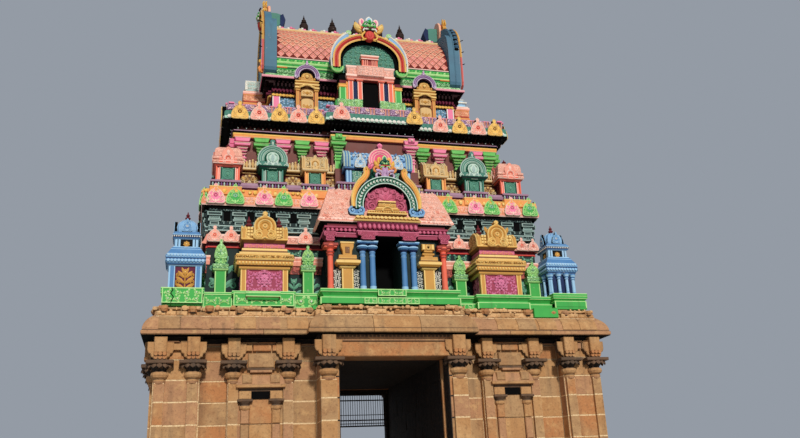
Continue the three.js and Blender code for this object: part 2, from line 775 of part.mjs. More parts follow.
// Neck of the tower, with arched niches and end pilasters.
function topWall() {
  const outline = plan([[T3_X, T3_Y]]);
  const back = -T3_Y + 20;
  const x = 1885;
  const head = 13800;
  const quarter = union([
    box(x - 355, x + 355, -1560, back, T3_Z, 13420),
    moulding(rect(x - 325, x + 325, -1540, back), [[13420, 0], [13450, 60], [13540, 60], [13600, 0]]),
    box(x - 245, x + 245, -1580, back, 13560, 13690),
    prismXZ(horseshoe(x, 13560, head, 385, 14210, 8), -1640, -1540).subtract(
      prismXZ(horseshoe(x, 13400, head, 235, 14035, 8), -1700, -1590),
    ),
    box(2680, 2960, -T3_Y - 90, back, T3_Z, EAVE_Z),
  ]);
  return moulding(outline, [[T3_Z, 0], [EAVE_Z, 0]])
    .add(quarter)
    .add(mirrorX(quarter))
    .add(mirrorY(quarter))
    .add(mirrorX(mirrorY(quarter)))
    .subtract(T3_ROOM)
    .subtract(box(-TOP_DOOR_HALF, TOP_DOOR_HALF, -FAR, FAR, 0, TOP_DOOR_Z));
}
add("top_wall", topWall(), 0x4a6ea8);

const EAVE = plan([[T3_X, T3_Y]]);
add(
  "eave",
  moulding(EAVE, [[EAVE_Z, 0], [13720, 310], [13790, 330], [13860, 330], [ROOF_Z, 300]])
    .subtract(T3_ROOM),
  0xf0a0a8,
);

const VAULT = [
  [1380, ROOF_Z], [1400, 14000], [1350, 14060], [1430, 14200], [1390, 14360],
  [1380, 14600], [1310, 14950], [1150, 15300], [930, 15620], [660, 15900], [370, 16110],
  [150, RIDGE_Z],
];

function vaultOutline(inset) {
  const half = VAULT.map(([y, z]) => [Math.max(y - inset, 20), z - (z > 14700 ? inset * 0.75 : 0)]);
  return half.concat(half.map(([y, z]) => [-y, z]).reverse());
}

function roof() {
  const outer = prismYZ(vaultOutline(0), -ROOF_X, ROOF_X);
  const smooth = [
    [1160, ROOF_Z - 50], [1160, 14600], [1090, 14900], [940, 15220], [740, 15500],
    [500, 15730], [250, 15900], [60, 15980],
  ];
  const room = smooth.concat(smooth.map(([y, z]) => [-y, z]).reverse());
  return outer.subtract(prismYZ(room, -ROOF_X - 10, ROOF_X + 10));
}
add("barrel_roof", roof(), 0xeb9678);

// Horseshoe wall at the end of the barrel roof, with its crest.
function gable() {
  const half = [
    [1330, ROOF_Z], [1480, 14050], [1500, 14600], [1500, 15300], [1420, 15750], [1220, 16150],
    [900, 16450], [500, 16650], [220, 16720],
  ];
  const outline = half.concat(half.map(([y, z]) => [-y, z]).reverse());
  const plate = prismYZ(outline, ROOF_X, GABLE_OUT_X);
  const crest = [
    [420, 16560], [460, 16800], [330, 17000], [150, 17100], [0, GABLE_TOP_Z],
    [-150, 17100], [-330, 17000], [-460, 16800], [-420, 16560],
  ];
  // The hook leans in over the ridge behind the crest.
  const hook = [
    [2480, 16800], [2560, 16600], [2840, 16500], [3000, 16550], [3000, 17090], [2800, 17080],
    [2600, 16980],
  ];
  return union([plate, prismYZ(crest, 2980, 3420), prismXZ(hook, -160, 160)]);
}
add("gable_right", gable(), 0x3c6982);
add("gable_left", mirrorX(gable()), 0x3c6982);

const RIDGE_CAP_Z = 16340;
const FINIAL_X = [-1680, -840, 0, 840, 1680];

function ridge() {
  return union([
    box(-ROOF_X, ROOF_X, -130, 130, RIDGE_Z, RIDGE_CAP_Z),
    ...FINIAL_X.map((x) => finial(x, 0, RIDGE_CAP_Z - 10, 17030, 150)),
  ]);
}
add("ridge_finials", ridge(), 0x4a3530);

// Door shrine of the top storey, with the big horseshoe dormer above it.
function topShrine() {
  const face = -TOP_SHRINE_FRONT;
  const eaveFront = -T3_Y - 331;
  const half = [
    box(0, 1040, face + 60, -T3_Y, T3_Z, 12780),
    box(0, 940, face + 90, -T3_Y, T3_Z, 13420),
    box(570, 740, face, face + 200, T3_Z, 13420),
    box(310, 460, face, face + 200, T3_Z, 13420),
    box(770, 980, face + 40, face + 200, T3_Z, 13420),
    moulding(rect(-10, 780, face, eaveFront), [
      [13420, 0], [13500, 60], [13640, 60], [13700, 20], [13950, 20],
    ]).intersect(box(-10, FAR, -FAR, eaveFront, 0, 2 * FAR)),
    box(0, 290, face - 20, eaveFront, 13950, 14370),
  ];
  const one = union(half).intersect(box(0, FAR, -FAR, FAR, 0, 2 * FAR));
  const body = one
    .add(mirrorX(one))
    .subtract(box(-TOP_DOOR_HALF, TOP_DOOR_HALF, -FAR, 10, 0, TOP_DOOR_Z));
  const outer = horseshoe(0, 13880, 14180, 1130, 15330, 16);
  const inner = horseshoe(0, 13700, 14180, 560, 14760, 16);
  const dormer = prismXZ(outer, face + 60, -200)
    .subtract(prismXZ(inner, -3000, face + 260))
    .subtract(box(-FAR, FAR, eaveFront, 0, T3_Z, ROOF_Z));
  const foot = box(820, 1250, face + 40, eaveFront, 13850, 14020);
  const head = prismXZ(mask(0, 14980, 480, 15940), face + 40, face + 420);
  return union([body, dormer, foot, mirrorX(foot), head])
    .subtract(prismYZ(vaultOutline(-0.6), -4000, 4000));
}
add("top_shrine_front", topShrine(), 0xeb9682);
add("top_shrine_back", mirrorY(topShrine()), 0xeb9682);

// Shrine below each gable.
function sideShrine() {
  return union([
    box(-500, 500, -3780, -T3_X, T3_Z, 13420),
    moulding(rect(-460, 460, -3740, -T3_X - 331), [
      [13420, 0], [13450, 60], [13560, 60], [13640, 20], [13700, 20], [14080, 0],
    ]).intersect(box(-FAR, FAR, -FAR, -T3_X - 331, 0, 2 * FAR)),
  ]).rotate([0, 0, 90]);
}
add("side_shrine_right", sideShrine(), 0xe66e55);
add("side_shrine_left", mirrorX(sideShrine()), 0xe66e55);

export default group;
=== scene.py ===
# %% [markdown]
# # A painted temple gate tower
#
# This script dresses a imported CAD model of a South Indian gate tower, a gopuram. The real tower
# has a granite base with a passage, and above it storeys of brick covered in stucco, which is
# carved while wet and then painted in bright enamel colours. The CAD model already has every main
# form in its right place, so the script never moves it. It hides a plain node and puts a carved
# one in the same place, or it gives a node whose shape is right a better surface.

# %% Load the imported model
import bpy
import math
import random
import numpy as np
from mathutils import Matrix, Vector


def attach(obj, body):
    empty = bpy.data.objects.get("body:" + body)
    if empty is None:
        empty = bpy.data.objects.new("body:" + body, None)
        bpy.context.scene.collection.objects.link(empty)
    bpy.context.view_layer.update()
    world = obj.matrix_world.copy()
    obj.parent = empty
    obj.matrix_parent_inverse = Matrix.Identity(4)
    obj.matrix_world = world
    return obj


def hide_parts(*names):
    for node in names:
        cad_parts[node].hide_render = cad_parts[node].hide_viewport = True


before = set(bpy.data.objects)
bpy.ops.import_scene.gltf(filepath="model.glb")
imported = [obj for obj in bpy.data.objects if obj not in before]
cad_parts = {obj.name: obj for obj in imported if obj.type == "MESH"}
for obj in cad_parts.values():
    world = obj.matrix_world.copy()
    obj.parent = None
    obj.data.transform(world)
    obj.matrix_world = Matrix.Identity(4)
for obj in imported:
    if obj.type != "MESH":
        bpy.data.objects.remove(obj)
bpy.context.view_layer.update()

# %% [markdown]
# ## The camera
#
# The picture of the tower was taken from the road, at eye level and left of the middle, looking
# up. A camera is solved from edges whose direction is known: what is upright, what runs along the
# front and what runs back. The three turns below, and the lens, come from such a fit. Depth of
# field stays off, so every storey is sharp.

# %% Camera at the place of the photographer
PHOTO_WIDTH = 800  # pixels
FOCAL_LENGTH = 780.518  # pixels
EYE = Vector((-4.826, -23.022, 1.55))
TURN, TILT, BANK = -14.884, 18.980, 2.7325  # degrees

scene = bpy.context.scene
lens = bpy.data.cameras.new("camera")
lens.sensor_width = 36
lens.lens = FOCAL_LENGTH / PHOTO_WIDTH * lens.sensor_width
camera = bpy.data.objects.new("camera", lens)
scene.collection.objects.link(camera)
scene.camera = camera
facing = (
    Matrix.Rotation(math.radians(TURN), 3, "Z")
    @ Matrix.Rotation(math.radians(TILT), 3, "X")
    @ Matrix.Rotation(math.radians(BANK), 3, "Y")
)
right, forward, up = (facing.col[i] for i in range(3))
turned = Matrix((right, up, -forward)).transposed()
camera.matrix_world = Matrix.LocRotScale(EYE, turned, Vector((1, 1, 1)))
print("camera stands", round(-camera.location.y, 1), "m before the middle of the tower")

# %% [markdown]
# ## Floor and light
#
# A pale floor and a pale room keep the colours honest. The main light is one broad lamp in front,
# not very high and a little to the right: on the real tower the edge of the eave's shadow falls
# straight back. Each cornice throws a short soft shadow, and the room itself fills in the shade.
# The plain colour transform shows paint as bright as it is mixed.

# %% Floor, lamp and room
scene.view_settings.view_transform = "Standard"


def lit(red, green, blue):
    """Screen colour, 0 to 255, as the linear numbers that a shader wants."""
    channels = [c / 255 for c in (red, green, blue)]
    return tuple(c / 12.92 if c < 0.04045 else ((c + 0.055) / 1.055) ** 2.4 for c in channels) + (1,)


floor_mesh = bpy.data.meshes.new("floor")
REACH = 60
corners = [(-REACH, -REACH, 0), (REACH, -REACH, 0), (REACH, REACH, 0), (-REACH, REACH, 0)]
floor_mesh.from_pydata(corners, [], [(0, 1, 2, 3)])
floor = bpy.data.objects.new("floor", floor_mesh)
scene.collection.objects.link(floor)

world = bpy.data.worlds.new("room")
scene.world = world
world.use_nodes = True
sky = world.node_tree.nodes["Background"].inputs
sky["Color"].default_value = lit(214, 224, 238)
sky["Strength"].default_value = 0.44

lamp = bpy.data.objects.new("key", bpy.data.lights.new("key", "SUN"))
lamp.data.energy = 2.75
lamp.data.angle = math.radians(6)
lamp.data.color = (1.0, 0.95, 0.87)
SUNBEAM = Vector((-0.05, 0.88, -0.46))  # the way its light goes
lamp.rotation_euler = SUNBEAM.to_track_quat("-Z", "Y").to_euler()
scene.collection.objects.link(lamp)
print("room and lamp are ready")

# %% [markdown]
# ## Shaders written as sums
#
# A painted surface is mostly arithmetic: how much dirt, how much pale paint on a ridge. A small
# class wraps a socket, so that `1 - dirt * 0.5` adds the Math nodes by itself. Every other node
# comes from one method, which sets the node's settings before its sockets.

# %% The class that wraps a socket
class Wire:
    """One output of a node; sums on it add Math nodes."""

    def __init__(self, sheet, socket):
        self.sheet = sheet
        self.socket = socket

    def sum(self, operation, first, second=0.0):
        return self.sheet.node("ShaderNodeMath", {"operation": operation}, {0: first, 1: second})

    def __add__(self, other):
        return self.sum("ADD", self, other)

    def __sub__(self, other):
        return self.sum("SUBTRACT", self, other)

    def __rsub__(self, other):
        return self.sum("SUBTRACT", other, self)

    def __mul__(self, other):
        return self.sum("MULTIPLY", self, other)

    __radd__ = __add__
    __rmul__ = __mul__

    def sine(self):
        return self.sum("SINE", self)


print("sockets can be added and multiplied")


# %% The sheet that holds one material
class Sheet:
    """The node tree of one material, around a Principled shader."""

    def __init__(self, name, metallic=0.0):
        self.material = bpy.data.materials.new(name)
        self.material.use_nodes = True
        self.tree = self.material.node_tree
        self.tree.nodes.clear()
        self.shader = self.tree.nodes.new("ShaderNodeBsdfPrincipled")
        end = self.tree.nodes.new("ShaderNodeOutputMaterial")
        self.tree.links.new(self.shader.outputs["BSDF"], end.inputs["Surface"])
        self.shader.inputs["Metallic"].default_value = metallic
        self.place = self.node("ShaderNodeTexCoord", output="Object")

    def node(self, kind, settings=None, sockets=None, output=0):
        made = self.tree.nodes.new(kind)
        for key, value in (settings or {}).items():
            setattr(made, key, value)
        for key, value in (sockets or {}).items():
            self.fill(made.inputs[key], value)
        return Wire(self, made.outputs[output])

    def fill(self, socket, value):
        if isinstance(value, Wire):
            self.tree.links.new(value.socket, socket)
        else:
            socket.default_value = value

    def finish(self, colour, roughness, bump=None, depth=0.004):
        self.fill(self.shader.inputs["Base Color"], colour)
        self.fill(self.shader.inputs["Roughness"], roughness)
        if bump is not None:
            sockets = {"Height": bump, "Distance": depth, "Strength": 1.0}
            self.fill(self.shader.inputs["Normal"], self.node("ShaderNodeBump", None, sockets))
        return self.material

    def noise(self, scale, detail=3.0, stretch=None, distortion=0.0):
        place = self.place
        if stretch:
            place = self.node("ShaderNodeVectorMath", {"operation": "MULTIPLY"}, {0: place, 1: stretch})
        sockets = {"Vector": place, "Scale": scale, "Detail": detail, "Distortion": distortion}
        return self.node("ShaderNodeTexNoise", None, sockets)

    def between(self, value, low, high):
        """0 below low, 1 above high, and a smooth step in between."""
        sockets = {"Value": value, "From Min": low, "From Max": high}
        return self.node("ShaderNodeMapRange", {"interpolation_type": "SMOOTHSTEP"}, sockets)

    def mix(self, share, first, second):
        settings = {"data_type": "RGBA"}
        return self.node("ShaderNodeMix", settings, {0: share, 6: first, 7: second}, output=2)

    def facing_up(self):
        normal = self.node("ShaderNodeNewGeometry", output="Normal")
        return self.node("ShaderNodeSeparateXYZ", None, {0: normal}, output=2)


print("a sheet makes nodes, noise and mixes")

# %% [markdown]
# ## Stone and paint
#
# The stone is a warm granite gneiss, never one colour: each block leans to ochre, rose or grey,
# with dark grains and a film of soot that runs down from every ledge. The stucco is lime plaster
# under enamel paint. Its carving is too fine to model line by line, so the flat of a carved
# surface gets rings around scattered points, bent by noise, which read as leaf scrolls. Ridges
# take the pale paint, because painters there pick out the ridges with a nearly dry brush, and the
# hollows take a darker tone of the body colour as painted shade.

# %% Stone
def stone(name, body, second, soot=0.35, light=(212, 170, 116)):
    sheet = Sheet(name)
    patches = sheet.between(sheet.noise(1.3, 4, distortion=0.6), 0.38, 0.68)
    grain = sheet.noise(38, 5)
    cloud = sheet.noise(5.5, 5)
    colour = sheet.mix(patches, lit(*body), lit(*second))
    colour = sheet.mix(sheet.between(cloud, 0.5, 0.78) * 0.55, colour, lit(*light))
    colour = sheet.mix(sheet.between(grain, 0.56, 0.75) * 0.5, colour, lit(84, 62, 48))
    blotch = sheet.noise(15, 4, distortion=0.4)
    colour = sheet.mix(sheet.between(blotch, 0.52, 0.72) * 0.4, colour, lit(112, 76, 48))
    runs = sheet.between(sheet.noise(1.0, 5, stretch=(4.5, 4.5, 0.55)), 0.52, 0.74)
    colour = sheet.mix(runs * soot, colour, lit(70, 58, 50))
    top = sheet.between(sheet.facing_up(), 0.6, 1.0)
    colour = sheet.mix(top * 0.45, colour, lit(104, 92, 78))
    relief = cloud * 0.9 + blotch * 0.5 + grain * 0.35
    return sheet.finish(colour, 0.78 + grain * 0.2, relief, 0.02)


STONES = {
    "stone_ochre": stone("stone ochre", (180, 132, 84), (192, 148, 100)),
    "stone_rose": stone("stone rose", (174, 128, 92), (186, 138, 98)),
    "stone_orange": stone("stone orange", (184, 124, 76), (178, 132, 88)),
    # painted light: a paler stone for the frieze, lighter to make up for the shade it stands in
    "stone_sun": stone("stone sun", (214, 168, 116), (222, 180, 130)),
    "stone_buff": stone("stone buff", (178, 140, 98), (164, 122, 82)),
    "stone_dark": stone("stone dark", (104, 78, 58), (86, 68, 52), 0.7, (140, 108, 76)),
    # soot and painted shade: a near-black stone for the inside of the passage, the undersides of the roll
    # and capitals, and hollows
    "stone_soot": stone("stone soot", (22, 18, 15), (30, 25, 20), 0.3, (44, 37, 29)),
}
print(len(STONES), "kinds of stone")


# %% Lime mortar and iron
def mortar():
    sheet = Sheet("lime mortar")
    crumbs = sheet.noise(30, 4)
    colour = sheet.mix(sheet.between(crumbs, 0.4, 0.7), lit(232, 204, 160), lit(190, 154, 112))
    return sheet.finish(colour, 0.9 + crumbs * 0.1, crumbs, 0.01)


def iron():
    sheet = Sheet("rusty iron", metallic=0.3)
    rust = sheet.between(sheet.noise(14, 5), 0.45, 0.7)
    colour = sheet.mix(rust, lit(46, 36, 34), lit(96, 58, 40))
    return sheet.finish(colour, 0.6 + rust * 0.3, rust, 0.002)


STONES["mortar"] = mortar()
STONES["iron"] = iron()
print("mortar and iron are mixed")


# %% Painted stucco
DARK = 200  # pots below this sum of red, green and blue have faded to a matt film


def stucco(name, body, pale=None, carved=0.0, cell=0.10, shade=0.48, dirt=0.3, gloss=0.55):
    """Enamel paint on plaster; carved is how strongly the scroll relief shows."""
    sheet = Sheet(name)
    sheet.shader.inputs["Specular IOR Level"].default_value = 0.5 if sum(body) > DARK else 0.1
    # deep is the body colour darkened by shade, painted below into the hollows of the carving
    deep = tuple(c * shade for c in body)
    pale = pale or tuple(min(255, c * 0.55 + 118) for c in body)
    wash = sheet.noise(2.6, 4)
    fine = sheet.noise(46, 4)
    colour = sheet.mix(sheet.between(wash, 0.35, 0.72) * 0.32, lit(*body), lit(*pale))
    height = fine * 0.25
    if carved:
        bend = sheet.node("ShaderNodeTexNoise", None, {"Vector": sheet.place, "Scale": 5.0}, output=1)
        place = sheet.node(
            "ShaderNodeVectorMath", {"operation": "MULTIPLY_ADD"}, {0: bend, 1: (0.11,) * 3, 2: sheet.place}
        )
        rings = sheet.node("ShaderNodeTexVoronoi", None, {"Vector": place, "Scale": 1 / cell})
        ridge = (rings * 11.0).sine() * 0.5 + 0.5
        # painted shade in the hollows of the carved relief, then pale dry-brush paint on its ridges
        colour = sheet.mix(sheet.between(1 - ridge, 0.45, 0.95) * carved, colour, lit(*deep))
        colour = sheet.mix(sheet.between(ridge, 0.5, 0.9) * carved, colour, lit(*pale))
        height = ridge * 4.0 * carved + height
    runs = sheet.between(sheet.noise(1.2, 5, stretch=(6.0, 6.0, 0.7)), 0.54, 0.80)
    colour = sheet.mix(runs * dirt, colour, lit(62, 54, 46))
    dust = sheet.between(sheet.facing_up(), 0.55, 1.0) * sheet.between(wash, 0.3, 0.6)
    colour = sheet.mix(dust * dirt * 1.6, colour, lit(128, 112, 92))
    worn = sheet.between(sheet.noise(9.0, 6), 0.66, 0.76)
    colour = sheet.mix(worn * dirt, colour, lit(206, 196, 176))
    return sheet.finish(colour, gloss + wash * 0.25, height, 0.005)


print("the stucco mixer is ready")

# %% [markdown]
# ## The paint box
#
# Each colour of the tower is one pot of paint, named for its place. Pots that end in `carved` are
# for surfaces covered in fine ornament. The pale pots are for the ridges that are real geometry
# here: borders, ropes, beads and petals.

# %% Plain pots
POTS = {
    "green": ((46, 164, 66), (86, 190, 88)),
    "mint": ((168, 222, 136), (206, 238, 180)),
    "blue": ((70, 124, 178), (118, 166, 210)),
    "sky": ((150, 196, 230), (196, 222, 242)),
    "powder": ((122, 170, 214), (160, 200, 232)),
    "navy": ((34, 46, 82), (58, 76, 118)),
    "gold": ((198, 142, 60), (222, 172, 86)),
    "straw": ((240, 200, 118), (250, 222, 154)),
    "brass": ((122, 78, 34), (156, 104, 48)),
    "magenta": ((150, 44, 76), (186, 78, 108)),
    "rose": ((204, 98, 128), (226, 142, 166)),
    "orchid": ((214, 118, 158), (232, 160, 188)),
    "pearl": ((220, 206, 226), (238, 230, 242)),
    "plum": ((96, 40, 62), (120, 58, 82)),
    "wine": ((96, 30, 52), (130, 52, 76)),
    "salmon": ((238, 150, 128), (250, 192, 172)),
    "blush": ((252, 208, 192), (255, 228, 216)),
    "coral": ((234, 100, 74), (246, 144, 116)),
    "brick": ((152, 52, 44), (184, 84, 70)),
    "teal": ((54, 122, 106), (96, 158, 138)),
    "bottle": ((24, 84, 66), (48, 112, 88)),
    "jade": ((168, 206, 186), (206, 226, 212)),
    "leaf": ((98, 160, 134), (134, 188, 162)),
    "slate": ((36, 49, 50), (60, 77, 76)),
    "silver": ((164, 192, 186), (200, 218, 212)),
    "oxblood": ((112, 54, 46), (132, 72, 62)),
    "lilac": ((190, 152, 192), (216, 188, 216)),
    "purple": ((112, 76, 132), (150, 112, 168)),
    "peacock": ((62, 106, 130), (92, 140, 160)),
    "lagoon": ((44, 82, 108), (66, 110, 136)),
    "pink": ((238, 120, 160), (246, 168, 194)),
    "hot_pink": ((222, 62, 108), (236, 108, 146)),
    "yellow": ((240, 186, 82), (250, 216, 130)),
    "orange": ((234, 146, 72), (244, 182, 116)),
    "white": ((232, 230, 218), (246, 244, 236)),
    "cream": ((226, 204, 158), (240, 226, 194)),
    "sand": ((216, 176, 112), (238, 206, 148)),
    "grass": ((92, 186, 82), (150, 214, 128)),
    "ice": ((186, 208, 194), (214, 230, 220)),
    "mauve": ((158, 120, 144), (194, 160, 182)),
    "red": ((206, 50, 42), (228, 96, 80)),
    "maroon": ((104, 38, 46), (136, 66, 72)),
    "black": ((17, 15, 15), (28, 25, 24)),
    "finial": ((46, 34, 32), (70, 54, 48)),
    "tile": ((232, 168, 138), (244, 196, 168)),
    "tile_low": ((228, 146, 128), (242, 176, 156)),
    "tile_flat": ((222, 150, 118), (236, 176, 148)),
    "groove": ((112, 38, 32), (132, 54, 46)),
    "rust": ((202, 82, 70), (218, 112, 96)),
    "petal": ((226, 146, 160), (240, 184, 190)),
    "clove": ((34, 15, 18), (50, 25, 27)),
}
COATS = dict(STONES)
for pot, (body, pale) in POTS.items():
    COATS[pot] = stucco("paint " + pot, body, pale)
print(len(POTS), "plain pots")

# %% Pots for carved surfaces
# the fifth number, where given, is how much of the body colour the painted shade of the hollows keeps
CARVED = {
    "salmon_carved": ((232, 140, 120), (252, 204, 188), 0.6, 0.09, 0.72),
    "blush_carved": ((240, 168, 146), (250, 200, 180), 0.5, 0.07, 0.86),
    "green_carved": ((60, 168, 84), (184, 236, 160), 0.7, 0.09),
    "mint_carved": ((116, 192, 122), (200, 238, 182), 0.7, 0.08, 0.66),
    "apricot_carved": ((236, 142, 102), (250, 202, 158), 0.5, 0.08, 0.8),
    "teal_carved": ((48, 112, 98), (126, 182, 160), 0.7, 0.10),
    "gold_carved": ((198, 140, 54), (250, 218, 138), 0.7, 0.08),
    "sand_carved": ((206, 164, 98), (246, 220, 160), 0.6, 0.08, 0.62),
    "lilac_carved": ((178, 138, 170), (234, 206, 224), 0.7, 0.09, 0.6),
    "slate_carved": ((34, 48, 52), (132, 158, 154), 0.6, 0.10),
    "coral_carved": ((222, 104, 84), (250, 170, 146), 0.6, 0.10),
    "brick_carved": ((136, 50, 44), (214, 110, 92), 0.5, 0.10),
}
for pot, recipe in CARVED.items():
    COATS[pot] = stucco("paint " + pot.replace("_", " "), *recipe)
# painted shadow: a near-black coat put where the tower is only in shade, in deep gaps, doorways, soffits
# and under eaves
COATS["void"] = stucco("shadow black", (6, 6, 7), (11, 10, 10), dirt=0.0, gloss=0.8)
print(len(CARVED), "pots for carved surfaces")
floor_mesh.materials.append(stucco("floor", (168, 164, 158), dirt=0.05, gloss=0.7))

# %% [markdown]
# ## Carving in code
#
# A piece could be put together from many Blender objects, but a tower has thousands of petals and
# beads. Here one piece is one mesh: the faces are gathered in a list together with the name of
# their coat of paint, and each coat becomes a material slot. Ornaments are drawn once, facing the
# front, and are then stamped wherever they are needed, turned, leaned, scaled or mirrored.

# %% The carving bench
BLUEPRINTS = []


class Carving:
    """Faces of one piece, each with the name of its coat."""

    def __init__(self):
        self.points = []
        self.faces = []
        self.coats = []
        self.count = 0

    def put(self, points, faces, coats):
        self.points.append(np.asarray(points, float).reshape(-1, 3))
        start = self.count
        self.faces += [tuple(start + i for i in face) for face in faces]
        self.coats += [coats] * len(faces) if isinstance(coats, str) else coats
        self.count += len(self.points[-1])

    def stamp(self, other, where=None, coats=None):
        """Adds another carving at a place; coats swaps names of paint."""
        points = np.concatenate(other.points)
        faces = other.faces
        if where is not None:
            points = points @ where[:3, :3].T + where[:3, 3]
            if np.linalg.det(where[:3, :3]) < 0:
                faces = [face[::-1] for face in faces]
        paint = other.coats if not coats else [coats.get(c, c) for c in other.coats]
        self.put(points, faces, paint)

    def at(self, *where, **turned):
        """A new carving: this one at a spot."""
        moved = Carving()
        moved.stamp(self, spot(*where, **turned))
        return moved

    def piece(self, name, slot, *nodes):
        """Makes the Blender object that stands for these CAD nodes."""
        used = sorted(set(self.coats))
        mesh = bpy.data.meshes.new(name)
        mesh.from_pydata(np.concatenate(self.points).tolist(), [], self.faces)
        for coat in used:
            mesh.materials.append(COATS[coat])
        mesh.polygons.foreach_set("material_index", [used.index(c) for c in self.coats])
        made = bpy.data.objects.new(name, mesh)
        scene.collection.objects.link(made)
        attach(made, "root")
        if nodes:
            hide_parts(*nodes)
        triangles = sum(len(face) - 2 for face in self.faces)
        BLUEPRINTS.append((name, triangles))
        print(name, "has", triangles, "triangles in", len(used), "coats")
        return made


def spot(x=0, y=0, z=0, turn=0, lean=0, roll=0, size=1, mirror=False):
    """Where an ornament goes: rolled in its plane, leaned back, turned, moved."""
    scale = (size,) * 3 if isinstance(size, (int, float)) else size
    place = Matrix.Translation((x, y, z)) @ Matrix.Rotation(math.radians(turn), 4, "Z")
    place = place @ Matrix.Rotation(math.radians(-lean), 4, "X")
    place = place @ Matrix.Rotation(math.radians(roll), 4, "Y")
    place = place @ Matrix.Diagonal((-scale[0] if mirror else scale[0], scale[1], scale[2], 1))
    return np.array(place)


print("the bench is ready")


# %% Blocks and mouldings
def block(work, x0, x1, y0, y1, z0, z1, coat, chamfer=0.0):
    """A block; a chamfer takes its four front edges off."""
    c = chamfer
    rings = [(x0, x1, z0, z1, y1), (x0, x1, z0, z1, y0 + c), (x0 + c, x1 - c, z0 + c, z1 - c, y0)]
    if not c:
        rings.pop()
    points = []
    for a0, a1, b0, b1, y in rings:
        points += [(a0, y, b0), (a1, y, b0), (a1, y, b1), (a0, y, b1)]
    faces = [(3, 2, 1, 0)]
    for k in range(len(rings) - 1):
        for i in range(4):
            j = (i + 1) % 4
            faces.append((4 * k + i, 4 * k + j, 4 * k + 4 + j, 4 * k + 4 + i))
    last = 4 * (len(rings) - 1)
    faces.append((last, last + 1, last + 2, last + 3))
    work.put(points, faces, coat)


def sided_block(work, side, x0, x1, *rest):
    """A block drawn for the right half of a piece; side -1 puts it on the left."""
    block(work, *sorted((side * x0, side * x1)), *rest)


def grown(outline, d):
    """Moves the corners of a right-angled outline outward by d."""
    moved = []
    for i, (x, y) in enumerate(outline):
        before, after = outline[i - 1], outline[(i + 1) % len(outline)]
        sx = np.sign(y - before[1]) + np.sign(after[1] - y)
        sy = np.sign(before[0] - x) + np.sign(x - after[0])
        moved.append((x + d * float(np.sign(sx)), y + d * float(np.sign(sy))))
    return moved


def mould(work, outline, levels):
    """Sweeps a plan outline up through levels of height, offset and coat."""
    n = len(outline)
    points = [(x, y, z) for z, d, _ in levels for x, y in grown(outline, d)]
    faces, coats = [], []
    for k in range(len(levels) - 1):
        for i in range(n):
            j = (i + 1) % n
            faces.append((k * n + i, k * n + j, k * n + n + j, k * n + n + i))
            coats.append(levels[k][2])
    top = (len(levels) - 1) * n
    faces += [tuple(range(n - 1, -1, -1)), tuple(range(top, top + n))]
    coats += [levels[0][2], levels[-1][2]]
    work.put(points, faces, coats)


def rect(x0, x1, y0, y1):
    return [(x0, y0), (x1, y0), (x1, y1), (x0, y1)]


def plan(steps):
    """Whole outline from its front right quarter of x and depth steps."""
    front = [(x, -d) for x, d in steps]
    half = front + [(x, d) for x, d in reversed(steps)]
    return half + [(-x, y) for x, y in reversed(half)]


print("blocks and mouldings are ready")


# %% Turned pieces and plates
def lathe(work, profile, x=0, y=0, sides=16, ribs=0, rib=0.0):
    """Turns a profile of radius, height and coat; ribs flute its sides."""
    points = []
    for r, z, _ in profile:
        for i in range(sides):
            a = 2 * math.pi * i / sides
            flute = 1 - rib * (0.5 - 0.5 * math.cos(a * ribs)) if ribs else 1
            points.append((x + r * flute * math.cos(a), y + r * flute * math.sin(a), z))
    faces, coats = [], []
    for k in range(len(profile) - 1):
        for i in range(sides):
            j = (i + 1) % sides
            faces.append((k * sides + i, k * sides + j, k * sides + sides + j, k * sides + sides + i))
            coats.append(profile[k][2])
    top = (len(profile) - 1) * sides
    faces += [tuple(range(sides - 1, -1, -1)), tuple(range(top, top + sides))]
    coats += [profile[0][2], profile[-1][2]]
    work.put(points, faces, coats)


def inset(outline, d):
    """Moves the corners of an anticlockwise outline inward by about d."""
    moved = []
    for i, (x, z) in enumerate(outline):
        a, b = outline[i - 1], outline[(i + 1) % len(outline)]
        e = np.array((x - a[0], z - a[1])) / (math.hypot(x - a[0], z - a[1]) or 1)
        f = np.array((b[0] - x, b[1] - z)) / (math.hypot(b[0] - x, b[1] - z) or 1)
        n = np.array((-e[1] - f[1], e[0] + f[0]))
        n /= max(0.7, float(n @ n) / 2)
        moved.append((x + d * n[0], z + d * n[1]))
    return moved


def plate(work, outline, front, back, coat, side=None, bevel=0.0):
    """Upright plate from an outline in x and z, anticlockwise from the front."""
    n = len(outline)
    rings = [(outline, back), (outline, front + bevel)]
    if bevel:
        rings.append((inset(outline, bevel), front))
    points = [(x, y, z) for ring, y in rings for x, z in ring]
    faces, coats = [tuple(range(n - 1, -1, -1))], [side or coat]
    for k in range(len(rings) - 1):
        for i in range(n):
            j = (i + 1) % n
            faces.append((k * n + i, k * n + j, k * n + n + j, k * n + n + i))
            coats.append(coat if k else side or coat)
    last = n * (len(rings) - 1)
    faces.append(tuple(range(last, last + n)))
    work.put(points, faces, coats + [coat])


print("turned pieces and plates are ready")


